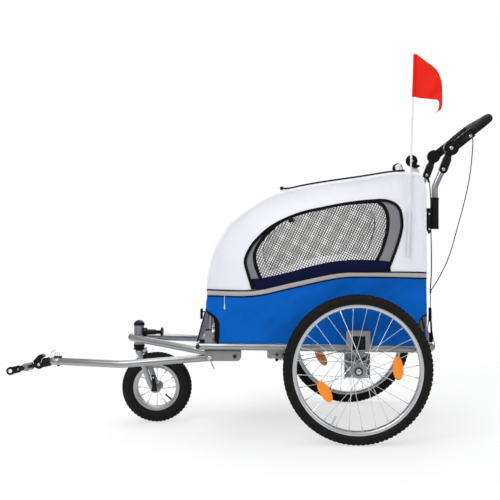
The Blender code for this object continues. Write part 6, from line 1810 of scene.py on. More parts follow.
cap = lathe(HEAD_CAP, at(HEAD_X, 0, 0.3533), UP, BLACK_MOULDED, 48)
rib = block((-0.0006, -0.0030, 0.0188), (0.0006, 0.0010, 0.0198), BLACK_MOULDED, 0.0002, 1)
ribs = around(rib, (0, 0, 0), 36, BLACK_MOULDED)
ribs.data.transform(Matrix.Translation(at(HEAD_X, 0, 0.3563)) @ Matrix.Rotation(math.pi / 2, 4, "X"))
whole("head_cap_piece", "fork", "black_plastic", "head_cap", cap, ribs)
print("front frame:", len(front), "parts")

# %% [markdown]
# The fork has two flat blades, a crown and a steerer. The swivel lock is a ribbed barrel with a
# spring and a knob, and the front wheel's skewer has a nut on one side and a lever on the other.
# Round parts are turned, the lever is a plate whose edges follow one curved line.

# %% Fork and steering
FORK_LINE = [
    (HEAD_X + 0.0085, 0.262), (-0.766, 0.24), (-0.7555, 0.21), (-0.7425, 0.172), (-0.7305, 0.142),
    (FRONT_AXLE_X, FRONT_TYRE_R),
]
FORK_TIP = [
    (0.0035, -0.002), (0.0125, -0.002), (0.013, -0.0012), (0.013, 0.0026), (0.0122, 0.003),
    (0.0035, 0.003),
]
CROWN = [
    (-0.001, 0.2535), (0.001, 0.2515), (0.0185, 0.2515), (0.0205, 0.2535), (0.019, 0.2645),
    (-0.006, 0.2645),
]
CROWN_RACE = [
    (0.0122, 0.0), (0.0205, 0.0), (0.0205, 0.003), (0.0185, 0.0042), (0.0185, 0.0092),
    (0.02, 0.0104), (0.02, 0.015), (0.0192, 0.0182), (0.0122, 0.0182),
]
LOCK_Z, LOCK_X = 0.327, HEAD_X + 0.0188
LOCK_BODY = [
    (0.0043, 0.0), (0.015, 0.0), (0.016, 0.001), (0.016, 0.0085), (0.0145, 0.01), (0.0098, 0.0104),
    (0.0095, 0.014), (0.0095, 0.038), (0.009, 0.042), (0.008, 0.0429), (0.0043, 0.0429),
]
LOCK_RIB = [(0.0092, 0.0), (0.01, 0.0004), (0.01, 0.0012), (0.0092, 0.0016)]
LOCK_KNOB = [
    (0.0, 0.0), (0.0155, 0.0), (0.0165, 0.001), (0.0165, 0.0055), (0.015, 0.007), (0.006, 0.007),
    (0.005, 0.0062), (0.0, 0.0062),
]
SKEWER_NUT = [(0.0, 0.0), (0.0085, 0.0), (0.009, 0.0008), (0.0078, 0.008), (0.005, 0.0087), (0.0, 0.0087)]
LEVER_LINE = [(0.002, -0.003), (0.001, 0.006), (-0.0008, 0.025), (-0.0035, 0.0545)]
FORK_FACE = 0.0480

fork = []
for sign in (-1, 1):
    y = sign * 0.045
    blade = [at(x, y - sign * 0.0010, z) for x, z in flat_flow(FORK_LINE, 5)[:-2]]
    fork.append(swept(blade, 0.0190, 0.0096, (0, sign, 0), SILVER_TUBE, 28))
    fork.append(lathe(FORK_TIP, at(FRONT_AXLE_X, y, FRONT_TYRE_R), (0, sign, 0), SILVER_TUBE, 32, True))
fork.append(plate([(HEAD_X + x, z) for x, z in CROWN], -0.0474, 0.0474, SILVER_TUBE, 0.0030))
fork.append(lathe(CROWN_RACE, at(HEAD_X, 0, 0.2640), UP, BLACK_MOULDED, 48, True))
fork.append(tube([at(HEAD_X, 0, 0.2640), at(HEAD_X, 0, 0.3520)], 0.0119, BRIGHT_METAL))
whole("caster_fork_piece", "fork", "grey_plate", "caster_fork", *fork)

lock = [lathe(LOCK_BODY, at(LOCK_X, 0, LOCK_Z), (1, 0, 0), BLACK_MOULDED, 40, True)]
for number in range(5):
    place = at(LOCK_X + 0.016 + number * 0.0045, 0, LOCK_Z)
    lock.append(lathe(LOCK_RIB, place, (1, 0, 0), BLACK_MOULDED, 40, True))
whole("swivel_lock_barrel", "base", "black_plastic", "swivel_lock_body", *lock)
knob_x = LOCK_X + 0.0429 + 0.0185
coil = []
for k in range(97):
    a = 2 * math.pi * k / 16
    coil.append(at(LOCK_X + 0.0432 + 0.0180 * k / 96, 0.0062 * math.cos(a), LOCK_Z + 0.0062 * math.sin(a)))
whole(
    "swivel_lock_pin", "swivel_plunger", "black_plastic", "swivel_lock_plunger",
    tube([at(HEAD_X + 0.0137, 0, LOCK_Z), at(knob_x + 0.002, 0, LOCK_Z)], 0.0040, DARK_METAL, 20, 0.0008),
    lathe(LOCK_KNOB, at(knob_x, 0, LOCK_Z), (1, 0, 0), BLACK_MOULDED, 40),
    tube(coil, 0.0011, BLACK_MOULDED, 8),
)

skewer = [at(FRONT_AXLE_X, y, FRONT_TYRE_R) for y in (-FORK_FACE, FORK_FACE + 0.006)]
nut = lathe(SKEWER_NUT, at(FRONT_AXLE_X, FORK_FACE + GAP, FRONT_TYRE_R), ACROSS, BRIGHT_METAL, 12)
skewer = tube(skewer, 0.0030, BRIGHT_METAL, 16)
whole("front_skewer", "fork", "bright_steel", "front_wheel_skewer", skewer, nut)
lever_y = -FORK_FACE - 0.0003 - 0.0065
barrel = [at(FRONT_AXLE_X + x, lever_y, FRONT_TYRE_R) for x in (-0.010, 0.010)]
lever_line = flat_flow([(FRONT_AXLE_X + x, FRONT_TYRE_R + z) for x, z in LEVER_LINE], 5)
edge_a, edge_b = [], []
for k, (x, z) in enumerate(lever_line):
    behind, ahead = (Vector(p) for p in neighbours(lever_line, k))
    half = 0.0060 + 0.0012 * math.sin(k / (len(lever_line) - 1) * math.pi)
    way = (ahead - behind).normalized() * half
    edge_a.append((x - way.y, z + way.x))
    edge_b.append((x + way.y, z - way.x))
rivet_at = at(FRONT_AXLE_X - 0.0028, lever_y - 0.0043, FRONT_TYRE_R + 0.0450)
whole(
    "front_wheel_lever", "quick_lever", "black_plastic", "front_quick_lever",
    tube(barrel, 0.0065, BLACK_MOULDED, 28, 0.0008),
    plate(edge_a + edge_b[::-1], lever_y - 0.0045, lever_y + 0.0005, BLACK_MOULDED, 0.0012),
    bolt(rivet_at, (0, -1, 0), 0.0026, 0.0014, BRIGHT_METAL, False),
)
print("steering:", len(fork) + len(lock), "parts in fork and lock")

# %% [markdown]
# The tow bar turns on a bolt in a channel under the left rail and is held straight by a pulled
# pin. At its front end are a moulded collar and a coupling block, and the yoke with the eye that
# goes on a bicycle's axle.

# %% Tow bar
TOW_Y, BOLT_X, BOLT_Z = -0.2205, -0.410, 0.2785
CHANNEL_HALF, CHEEK = TUBE_R + 0.0005, 0.003
CHANNEL_LOW, CHANNEL_HIGH = 0.2620, rail_z(BOLT_X) - TUBE_R - GAP - 0.0006
END_X, END_Y, END_Z = -1.05, -0.166, 0.25
CHEEK_LINE = [
    (-0.513, CHANNEL_LOW), (-0.401, CHANNEL_LOW), (-0.396, CHANNEL_LOW + 0.0015),
    (-0.3925, CHANNEL_LOW + 0.005), (-0.391, CHANNEL_LOW + 0.01), (-0.391, CHANNEL_HIGH),
    (-0.513, CHANNEL_HIGH),
]

bar_end = at(END_X, END_Y, END_Z)
bar_path = bent([at(-0.4015, TOW_Y, 0.2791), at(-0.797, TOW_Y, 0.2486), bar_end], [0.20], 14)
sleeve = [bar_end.lerp(bar_path[-2], t) for t in (0.13, 0.012)]
whole(
    "tow_bar_and_end", "tow_bar", "silver_frame", "tow_bar_tube",
    tube(bar_path, TUBE_R, SILVER_TUBE, 28, 0.0012),
    bolt(at(-1.0246, -0.1715, 0.2374), (0, 0, -1), 0.0050, 0.0040),
    tube(sleeve, 0.0131, SILVER_TUBE, 28, 0.0006),
)
left_y, right_y = TOW_Y - CHANNEL_HALF, TOW_Y + CHANNEL_HALF
shank = [at(BOLT_X, y, BOLT_Z) for y in (left_y - CHEEK, right_y + 0.007)]
channel_top = (CHANNEL_HIGH - 0.003, CHANNEL_HIGH)
whole(
    "tow_bar_channel", "base", "grey_plate", "tow_bar_receiver",
    plate(CHEEK_LINE, left_y - CHEEK, left_y, GREY_PLATE, 0.0005),
    plate(CHEEK_LINE, right_y, right_y + CHEEK, GREY_PLATE, 0.0005),
    crate((-0.5130, -0.3910), (left_y - CHEEK, right_y + CHEEK), channel_top, GREY_PLATE, 0.0006),
    tube(shank, 0.0040, BRIGHT_METAL, 16),
    bolt(at(BOLT_X, left_y - 0.0028, BOLT_Z), (0, -1, 0), 0.0065, 0.0042),
    bolt(at(BOLT_X, right_y + CHEEK, BOLT_Z), ACROSS, 0.0065, 0.0040, DARK_METAL, False),
)
print("tow bar:", len(bar_path), "stations")

# %% [markdown]
# The hitch is drawn level about the bar's end and then tilted by one turn, as it hangs. Blocks
# and turned parts make the coupler; the yoke with its eye is a piece of its own, since it swings.

# %% Hitch
HITCH_DROOP = math.radians(13.6)
COLLAR_RINGS = [
    (0.0, 0.0), (0.015, 0.0), (0.0155, 0.0006), (0.0155, 0.007), (0.0148, 0.0078), (0.0148, 0.01),
    (0.0155, 0.0108), (0.0155, 0.0218), (0.0148, 0.0225), (0.0, 0.0225),
]
COUPLING = [
    (-0.018, -0.011), (-0.038, -0.0158), (-0.045, -0.016), (-0.059, -0.006), (-0.057, 0.0165),
    (-0.036, 0.0305), (-0.025, 0.031), (-0.0205, 0.027), (-0.018, 0.019),
]
NOSE = both_sides([(0.0034, -0.005), (0.0076, -0.005), (0.008, -0.0046)])
FLEXIBLE = [
    (0.0, 0.0), (0.0088, 0.0), (0.0095, 0.0012), (0.0095, 0.006), (0.0086, 0.0072), (0.0086, 0.0084),
    (0.0095, 0.0096), (0.0095, 0.0144), (0.0086, 0.0156), (0.0086, 0.0168), (0.0095, 0.018),
    (0.0095, 0.0228), (0.0088, 0.024), (0.0, 0.024),
]
EYE = both_sides([(0.006, -0.0045), (0.0134, -0.0045), (0.0142, -0.0037)])
EYE_BUSH = both_sides([(0.006, -0.0048), (0.0072, -0.0048)])
CLIP_BOW = [
    (-1.0809, -0.1828, 0.247), (-1.0743, -0.1828, 0.2629), (-1.0571, -0.181, 0.2667),
    (-1.04, -0.174, 0.2655),
]
CLIP_RINGS = ((-1.04, -0.166, 0.2735, 0.012, 0.5), (-1.03, -0.164, 0.2705, 0.0085, -0.6))


def drooped(obj):
    """Tilts a hitch part about the bar's end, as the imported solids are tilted."""
    turn = Matrix.Rotation(-HITCH_DROOP, 4, "Y")
    obj.data.transform(Matrix.Translation(bar_end) @ turn @ Matrix.Translation(-bar_end))
    return obj


def hitch_at(x, y, z):
    """A point counted from the bar's end, before the droop."""
    return bar_end + Vector((x, y, z))


def hitch_block(xs, y_half, zs, material, bevel):
    """A rounded block on the hitch's middle plane."""
    return block(hitch_at(xs[0], -y_half, zs[0]), hitch_at(xs[1], y_half, zs[1]), material, bevel)


coupling = [(END_X + x, END_Z + z) for x, z in COUPLING]
coupler = [
    lathe(COLLAR_RINGS, hitch_at(-0.0045, 0, 0), (-1, 0, 0), BLACK_MOULDED, 40),
    plate(coupling, END_Y - 0.0130, END_Y + 0.0130, BLACK_MOULDED, 0.0018),
    hitch_block((-0.0720, -0.050), 0.008, (-0.005, 0.005), BLACK_MOULDED, 0.001),
    lathe(NOSE, hitch_at(-0.072, 0, 0), UP, BLACK_MOULDED, 32, True),
    bolt(hitch_at(-0.0405, -0.0128, 0.0), (0, -1, 0), 0.0052, 0.0034, BRIGHT_METAL),
    bolt(hitch_at(-0.0405, 0.0128, 0.0), ACROSS, 0.0052, 0.0034, BRIGHT_METAL, False),
]
coupler_piece = drooped(merged("hitch_coupler_piece", coupler))
carried(coupler_piece, "tow_bar", "black_plastic", "hitch_coupler")

yoke = [hitch_block((-0.0960, -0.0820), 0.0092, (-0.0125, 0.0125), GREY_PLATE, 0.0015)]
for z0, z1 in ((0.0055, 0.0110), (-0.0110, -0.0055)):
    ear = [(0.0, z0), (0.008, z0), (0.0083, z0 + 0.0004), (0.0083, z1 - 0.0004), (0.008, z1), (0.0, z1)]
    yoke.append(hitch_block((-0.0840, -0.072), 0.0085, (z0, z1), GREY_PLATE, 0.0006))
    yoke.append(lathe(ear, hitch_at(-0.072, 0, 0), UP, GREY_PLATE, 32))
yoke += [
    tube([hitch_at(-0.072, 0, -0.013), hitch_at(-0.072, 0, 0.013)], 0.0030, BRIGHT_METAL, 16, 0.0005),
    bolt(hitch_at(-0.072, 0, 0.0108), UP, 0.0050, 0.0022, BRIGHT_METAL, False),
    lathe(FLEXIBLE, hitch_at(-0.0900, 0, 0), (-1, 0, 0), RUBBER, 40),
    hitch_block((-0.1388, -0.112), 0.0042, (-0.0122, 0.0122), BLACK_MOULDED, 0.0018),
    bolt(hitch_at(-0.1150, -0.0042, 0.0), (0, -1, 0), 0.0040, 0.0022, BRIGHT_METAL),
    lathe(EYE, hitch_at(-0.145, 0, 0), ACROSS, BLACK_MOULDED, 40, True),
    lathe(EYE_BUSH, hitch_at(-0.145, 0, 0), ACROSS, BRIGHT_METAL, 32, True),
]
wire = [at(x, -0.1700, z) for x, z in ((-1.148, 0.22), (-1.126, 0.215), (-1.106, 0.215), (-1.093, 0.2185))]
nut = [at(-1.1180, END_Y, 0.2290), at(-1.1170, END_Y, 0.2185)]
whole(
    "hitch_yoke_piece", "hitch", "grey_plate", "hitch_yoke", drooped(merged("hitch_yoke_body", yoke)),
    tube(flowing(wire), 0.0009, BRIGHT_METAL, 8), tube(nut, 0.0042, BRIGHT_METAL, 6, 0.0005),
)
clip = []
for x, y, z, r, lean in CLIP_RINGS:
    turns = [k * math.pi / 16 for k in range(33)]
    ring = [at(x + r * math.cos(a), y + lean * r * math.sin(a), z + r * math.sin(a)) for a in turns]
    clip.append(tube(ring, 0.0009, BRIGHT_METAL, 8))
clip.append(tube(flowing([at(*p) for p in CLIP_BOW]), 0.0010, BRIGHT_METAL, 8))
clip.append(crate((-1.0400, -1.0130), (-0.1740, -0.1600), (0.2618, 0.2672), BLACK_MOULDED, 0.0020))
whole("hitch_safety_clip", "tow_bar", "bright_steel", None, *clip)
print("hitch:", len(coupler) + len(yoke) + len(clip), "parts")

# %% [markdown]
# The flag's rod stands in a sewn pocket on the left side. The pennant is one piece of thin cloth
# that hangs from the rod's top: its hem is tight round the rod, and its folds grow towards its
# free corner.

# %% Flag
POLE_Y, POLE_TOP_X, POLE_TOP_Z = -0.252, 0.192, 1.300
PENNANT_WIDTH, PENNANT_OFFCUTS, PENNANT_CLOTH = 0.150, 1.35, 0.0008
PENNANT_COLUMNS, PENNANT_ROWS = 48, 26
UPPER_EDGE = [
    (0.004, -0.005), (0.038, -0.03), (0.0758, -0.0623), (0.0925, -0.114), (0.0948, -0.161),
    (0.0923, -0.185), (0.0873, -0.193), (0.0736, -0.2025),
]
LOWER_EDGE = [
    (-0.0005, -0.15), (0.025, -0.156), (0.056, -0.158), (0.0775, -0.16), (0.083, -0.171),
    (0.0789, -0.189), (0.073, -0.204),
]
HEM_LINE = [(0.0008, -0.008), (0.0, -0.05), (-0.0018, -0.105), (-0.0034, -0.151)]

pole_foot, pole_top = at(0.1712, POLE_Y, 0.622), at(POLE_TOP_X, POLE_Y, POLE_TOP_Z)
rod = tube([pole_foot.lerp(pole_top, k / 12) for k in range(13)], 0.0027, WHITE_ROD, 20, 0.001)
joint = [pole_foot.lerp(pole_top, t) for t in (0.47, 0.51)]
whole("flag_rod_piece", "flag", "white_pole", "flag_pole", rod, tube(joint, 0.0036, WHITE_ROD, 20, 0.0006))
upper_line, lower_line = (evenly(upright(flat_flow(edge, 8)), 0.001) for edge in (UPPER_EDGE, LOWER_EDGE))
points = []
for i in range(PENNANT_COLUMNS + 1):
    s = i / PENNANT_COLUMNS
    above, below = (line[round(s * (len(line) - 1))] for line in (upper_line, lower_line))
    for j in range(PENNANT_ROWS + 1):
        t = j / PENNANT_ROWS
        place = above.lerp(below, t)
        wave = 0.0125 * math.sin(s * 3.2 * math.pi + t * 2.2) * s + 0.003 * math.sin(s * 21 + t * 5) * s
        points.append(at(POLE_TOP_X + place.x, POLE_Y + wave, POLE_TOP_Z + place.z))
cells = grid(PENNANT_COLUMNS + 1, PENNANT_ROWS + 1)
pennant = piece(points, cells, FLAG_RED, 80, "pennant_cloth")
pennant = clean(thickened(pennant, PENNANT_CLOTH, 0), 80, False)
carried(pennant, "flag", "red_flag", "flag_pennant")
hem_line = [at(POLE_TOP_X + x, POLE_Y, POLE_TOP_Z + z) for x, z in HEM_LINE]
hem = tube(flowing(hem_line), 0.0047, FLAG_RED, 16, 0.0006, "pennant_hem")
carried(hem, "flag", "red_flag")

# %% [markdown]
# Small things on the cabin: the pocket that holds the flag's rod, the zip line along the roof with
# its slider and end ball, the toggle above the net, the zip pull on the seam, the webbing and the
# buckle at the front corner, and the strap that ties the two cords to the rear cross tube.

# %% Details on the canopy
ZIP_Y, ZIP_STEPS = 0.2330, 30
ZIP_TAIL = ((0.001, 0.0, 0.003), (0.012, 0.0012, 0.0048), (0.02, 0.0008, 0.0018))

details = []
pocket_line = [at(0.1712 + (z - 0.622) * 0.0307, 0, z) for z in (0.617, 0.645, 0.68, 0.715, 0.745, 0.7655)]
pocket_y = -FABRIC_Y - 0.0004
pocket = []
for place in pocket_line:
    for j in range(17):
        a = math.pi * j / 16
        pocket.append(Vector((place.x + 0.0062 * math.cos(a), pocket_y - 0.0142 * math.sin(a), place.z)))
sleeve = piece(pocket, oriented(pocket, grid(6, 17), Vector((0, -1, 0))), WHITE_CLOTH, 60)
details.append(thickened(sleeve, 0.0009))
for x_off in (-0.0078, 0.0078):
    line = [Vector((p.x + x_off, pocket_y, p.z)) for p in pocket_line]
    details.append(swept(line, 0.0040, 0.0009, (0, -1, 0), WHITE_CLOTH, 8))


def bead(place, size):
    """A small ball on the roof's zip line."""
    turns = [math.pi * k / 10 for k in range(1, 10)]
    profile = [(0.0, -size), *[(size * math.sin(a), -size * math.cos(a)) for a in turns], (0.0, size)]
    return lathe(profile, place, (1, 0, 0.14), BLACK_MOULDED, 20)


zip_ends = seen_at([(281.7, 188.2), (399, 171.4)], -ZIP_Y)
toggle_x, toggle_z = seen_at([(291, 220)])[0]
for word, side in SIDES:
    y = side * ZIP_Y
    ball, slider = (at(x, y, z) for x, z in zip_ends)
    line = [ball]
    for k in range(1, ZIP_STEPS + 1):
        x = ball.lerp(slider, k / ZIP_STEPS).x
        skin = z_on(roof_line, x - AXLE_X) + 0.0012
        line.append(Vector((x, y, skin + (ball.z - skin) * max(0.0, 1 - k / 5) ** 2)))
    tail = [line[-1] + Vector((x, 0, z)) for x, z, _ in ZIP_TAIL]
    details += [
        tube(line, 0.0031, BLACK_MOULDED, 12), bead(ball, 0.0064), bead(line[-1], 0.0046),
        tube(tail, [r for _, _, r in ZIP_TAIL], BLACK_MOULDED, 16),
    ]
for word, side in SIDES:
    xs, zs = (toggle_x - 0.0090, toggle_x + 0.0085), (toggle_z - 0.0078, toggle_z + 0.0072)
    details.append(crate(xs, (side * 0.2445 - 0.0035, side * 0.2445 + 0.0035), zs, BLACK_MOULDED, 0.0020))
soft(merged("canopy_small_parts", details), "white_fabric")
print("canopy details:", len(details))

# %% [markdown]
# On the tub are the seam's zip pull, the webbing inside the cut corner and the small tabs that
# hold the cloth to the front frame. They are thin sweeps and blocks of their own, since a drawn
# line would have no edge in the light.

# %% Details on the tub
WEBBING = [(-0.4995, 0.432), (-0.4845, 0.4135), (-0.479, 0.39), (-0.478, 0.355), (-0.4785, 0.326)]

thread = seen_at([(224.5, z) for z in (295.6, 300.0, 304.5)])
pull = seen_at([(224.6, z) for z in (303.5, 305.5, 308.0, 309.6)])
tab_x, tab_z = seen_at([(201.7, 313.5)], -0.19)[0]
seam_parts = []
for word, side in SIDES:
    thread_line = [at(x, side * (FABRIC_Y + 0.0032), z) for x, z in thread]
    pull_line = [at(x, side * (FABRIC_Y + 0.0026), z) for x, z in pull]
    line = flowing([at(x, side * (FABRIC_Y - 0.001), z) for x, z in WEBBING], 4)
    line = [p + Vector((0.0035, -side * 0.004, 0)) for p in line]
    seam_parts += [
        tube(thread_line, 0.0009, STITCH_WHITE, 8),
        tube(pull_line, [0.0010, 0.0020, 0.0027, 0.0010], STITCH_WHITE, 10),
        swept(line, 0.0075, 0.0016, (0, side, 0), BLACK_TAPE, 10),
    ]
for word, side in SIDES:
    xs, ys, zs = (-0.5290, -0.5110), (0.2335, 0.2375), (0.3235, 0.3350)
    seam_parts.append(side_block(side, xs, ys, zs, BLACK_TAPE, 0.0008))
xs, zs = (tab_x - 0.0034, tab_x + 0.0030), (tab_z - 0.0175, tab_z + 0.0170)
seam_parts.append(crate(xs, (-0.2030, -0.1780), zs, BLACK_TAPE, 0.0012))
xs, zs = (tab_x + 0.0020, -0.5060), (tab_z + 0.0050, tab_z + 0.0075)
seam_parts.append(crate(xs, (-0.2000, -0.1810), zs, BLACK_TAPE, 0.0008))
whole("tub_small_parts", "base", "cord_black", None, *seam_parts)
print("tub details:", len(seam_parts))

# %% [markdown]
# A webbing strap goes once round the cross tube and up to a buckle, where both cords end. It is
# one sweep whose flat side always faces away from the tube.

# %% Tether strap
STRAP_Y, STRAP_R = -0.184, 0.0142

strap_centre = at(CROSS_X, STRAP_Y, CROSS_Z)
turns = [math.radians(165 + 210 * k / 24) for k in range(25)]
loop = [
    at(0.2505, STRAP_Y, 0.3960), at(0.2455, STRAP_Y, 0.3500),
    *[strap_centre + Vector((STRAP_R * math.cos(a), 0, STRAP_R * math.sin(a))) for a in turns],
    at(0.2625, STRAP_Y, 0.3500), at(0.2572, STRAP_Y, 0.3960),
]


def strap_out(place):
    """Away from the tube's middle, square to the strap."""
    return (place.x - strap_centre.x, 0, place.z - strap_centre.z)


def strap_block(xs, y_half, zs, material, bevel):
    """A rounded block on the strap's middle plane."""
    return crate(xs, (STRAP_Y - y_half, STRAP_Y + y_half), zs, material, bevel)


tail = [at(0.2580, STRAP_Y, 0.3900), at(0.2590, STRAP_Y, 0.3700), at(0.2600, STRAP_Y, 0.3480)]
link_line = [at(0.2555, STRAP_Y, 0.4350), at(0.2565, STRAP_Y, 0.4880)]
whole(
    "tether_strap_and_buckle", "base", "cord_black", "tether_strap",
    swept(loop, 0.0160, 0.0014, strap_out, BLACK_TAPE),
    strap_block((0.2508, 0.2592), 0.0098, (0.3885, 0.4365), BLACK_MOULDED, 0.0020),
    strap_block((0.2498, 0.2602), 0.0070, (0.4000, 0.4080), BLACK_MOULDED, 0.0010),
    strap_block((0.2478, 0.2642), 0.0088, (0.3180, 0.3500), BLACK_TAPE, 0.0030),
    tube(tail, [0.0030, 0.0034, 0.0036], BLACK_TAPE, 12),
    tube(link_line, 0.0015, CORD_BLACK, 12),
    strap_block((0.2537, 0.2593), 0.0048, (0.4862, 0.4918), BLACK_MOULDED, 0.0014),
)
print("tether strap:", len(loop), "stations")

# %% [markdown]
# The canopy's arch is a bent tube with flattened feet on the front pivots. Each wheel hangs from a
# steel housing on its rail: a rubber block in the housing's window takes the load of a sliding
# carrier, which holds the wheel's push-button axle.

# %% Arch, cross tube and floor board
ARCH_X, ARCH_Y, ARCH_Z = -0.48985, 0.2250, 0.4700
ARCH_LINE = [
    (-0.4985, 0.342), (-0.4885, 0.49), (-0.485, 0.55), (-0.47, 0.611), (-0.446, 0.667),
    (-0.413, 0.717), (-0.356, 0.763), (-0.27, 0.811), (-0.153, 0.838), (0.011, 0.862),
    (0.13, 0.88), (0.19, 0.88),
]
ARCH_FOOT = [(0.0, 0.0), (0.0098, 0.0), (0.0104, 0.0008), (0.0104, 0.0152), (0.0098, 0.016), (0.0, 0.016)]
BOARD_X, BOARD_REAR_X = -0.480, 0.200
PIN_X, PIN_Y, PIN_Z = -0.495, -0.2365, 0.2725
PIN_HEAD = [(0.0, 0.0), (0.0064, 0.0), (0.007, 0.0007), (0.007, 0.004), (0.006, 0.0047), (0.0, 0.0047)]
PIN_PULL = [
    (0.001, -0.0035, -0.001), (0.0045, -0.004, -0.01), (0.009, -0.0038, -0.022),
    (0.0154, -0.0035, -0.0355),
]

arch = [tube([at(ARCH_X, y, ARCH_Z) for y in (-ARCH_Y, ARCH_Y)], 0.0070, SILVER_TUBE)]
for word, side in SIDES:
    arm_line = [at(x, side * ARCH_Y, z) for x, z in flat_flow(ARCH_LINE, 5)]
    cap_line = [arm_line[-1], arm_line[-1] + Vector((0.006, 0, 0))]
    arch += [
        tube(arm_line, 0.0080, SILVER_TUBE, cap=0.001),
        lathe(ARCH_FOOT, at(-0.4985, side * 0.2170, 0.350), (0, side, 0), SILVER_TUBE, 32),
        tube(cap_line, [0.0081, 0.0070], BLACK_MOULDED),
    ]
whole("canopy_arch_tube", "arch", "silver_frame", "canopy_arch", *arch)
cross_line = [at(CROSS_X, y, CROSS_Z) for y in (-0.1802, -0.09, 0, 0.09, 0.1802)]
cross = tube(cross_line, TUBE_R, SILVER_TUBE, 28, name="rear_cross_tube_round")
carried(cross, "base", "silver_frame", "rear_cross_tube")
reach = max(v.co.y for v in nodes["floor_panel"].data.vertices)
board_low, board_rear = rail_z(BOARD_X) + 0.0128, rail_z(BOARD_REAR_X) + 0.0128
board_line = [
    (BOARD_X, board_low), (BOARD_REAR_X, board_rear), (BOARD_REAR_X, board_rear + 0.005),
    (BOARD_X, board_low + 0.005),
]
board = plate(board_line, -reach, reach, BOARD, name="floor_board")
carried(board, "base", "floor_board", "floor_panel")
shank = [at(PIN_X, -0.2338, PIN_Z), at(PIN_X, PIN_Y - 0.002, PIN_Z)]
pull = flowing([at(PIN_X + x, PIN_Y + y, PIN_Z + z) for x, y, z in PIN_PULL], 5)
whole(
    "tow_bar_pin_and_pull", "tow_bar_pin", "bright_steel", "tow_bar_lock_pin",
    lathe(PIN_HEAD, at(PIN_X, PIN_Y - 0.0003, PIN_Z), (0, -1, 0), BRIGHT_METAL, 32),
    tube(shank, 0.0034, BRIGHT_METAL, 20),
    tube(pull, 0.0019, GREY_PLATE, 12, 0.0004),
)
print("arch and board:", len(arm_line), "stations on each arm")

# %% [markdown]
# Each housing is a box folded from sheet, open at the bottom, with a window in its outer face.
# Plain bevelled blocks make its walls. The rubber block sits in the housing's window, on the
# lower frame, with a mesh of its own.

# %% Suspension, axle and release button
HOUSING_LINE = [
    (-0.0375, 0.304), (-0.017, 0.304), (-0.017, 0.352), (0.0265, 0.352), (0.0265, 0.304),
    (0.043, 0.304), (0.043, 0.369), (-0.0375, 0.369),
]
BLOCK_TOP, BLOCK_HEIGHT, TRAVEL = 0.3657, 0.0594, 0.008
BOSS = [(0.0063, 0.0), (0.016, 0.0), (0.016, 0.0314), (0.0153, 0.0321), (0.0063, 0.0321)]
CATCH = [(-0.011, 0.285), (0.001, 0.269), (0.013, 0.285)]
AXLE_CUP = [
    (0.0, 0.0), (0.0132, 0.0), (0.0138, 0.0006), (0.0138, 0.0042), (0.013, 0.0052), (0.01, 0.0052),
    (0.0094, 0.004), (0.0094, 0.0012), (0.0, 0.0012),
]
BUTTON = [(0.0, 0.0), (0.0088, 0.0), (0.0088, 0.0024), (0.008, 0.0033), (0.004, 0.0036), (0.0, 0.0036)]

for word, side in SIDES:
    out, body = (0, side, 0), f"{word}_carrier"

    def metal(xs, ys, zs, bevel=0.0006):
        """A block of grey steel on this side."""
        return side_block(side, xs, ys, zs, GREY_PLATE, bevel)

    def shaft(y_first, y_last):
        """A line along the wheel's axis on this side."""
        return [at(0, side * y, TYRE_R) for y in (y_first, y_last)]

    whole(
        f"{word}_suspension_box", "base", "grey_plate", f"{word}_suspension_housing",
        side_plate(side, HOUSING_LINE, (0.2760, 0.2790), GREY_PLATE),
        metal((-0.0375, 0.0430), (0.2478, 0.2508), (0.304, 0.369)),
        metal((-0.0375, 0.0430), (0.2490, 0.2775), (0.3660, 0.3690)),
        metal((-0.0375, -0.0345), (0.2490, 0.2775), (0.304, 0.3680)),
        metal((0.0400, 0.0430), (0.2490, 0.2775), (0.304, 0.3680)),
    )
    xs, ys, zs = (-0.0165, 0.0260), (0.2511, 0.2755), (0.3063, BLOCK_TOP)
    rubber = side_block(side, xs, ys, zs, RUBBER, 0.0020, f"{word}_rubber_block")
    carried(rubber, "base", "black_rubber", f"{word}_elastomer")
    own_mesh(rubber)
    whole(
        f"{word}_sliding_carrier", body, "grey_plate", f"{word}_hub_carrier",
        metal((-0.0430, 0.0420), (0.2500, 0.2560), (0.209, 0.292), 0.001),
        metal((-0.0430, -0.0400), (0.2505, 0.2800), (0.209, 0.292)),
        metal((0.0390, 0.0420), (0.2505, 0.2800), (0.209, 0.292)),
        metal((-0.0160, 0.0255), (0.2540, 0.2755), (0.286, 0.306), 0.001),
        lathe(BOSS, at(0, side * 0.2520, TYRE_R), out, GREY_PLATE, 40, True),
        side_plate(side, CATCH, (0.2555, 0.2585), BLACK_MOULDED),
        bolt(at(-0.0211, side * 0.2558, 0.2705), out, 0.0055, 0.0040),
        bolt(at(0.0225, side * 0.2558, 0.2725), out, 0.0055, 0.0040),
    )
    whole(
        f"{word}_push_button_axle", body, "bright_steel", f"{word}_wheel_axle",
        tube(shaft(0.2438, 0.3405), 0.0060, BRIGHT_METAL),
        tube(shaft(0.2438, 0.2497), 0.0100, DARK_METAL, 6, 0.0005),
        lathe(AXLE_CUP, at(0, side * 0.3403, TYRE_R), out, DARK_METAL, 40),
    )
    push = [lathe(BUTTON, at(0, side * 0.3445, TYRE_R), out, BRIGHT_METAL, 32)]
    push.append(tube(shaft(0.3325, 0.3450), 0.0018, BRIGHT_METAL, 12))
    for dx, dz in ((0.0050, 0.0009), (0.0009, 0.0050)):
        bar_z = (TYRE_R - dz, TYRE_R + dz)
        push.append(side_block(side, (-dx, dx), (0.3478, 0.3484), bar_z, DARK_METAL, 0.0001))
    whole(f"{word}_push_button", f"{word}_button", "bright_steel", f"{word}_release_button", *push)

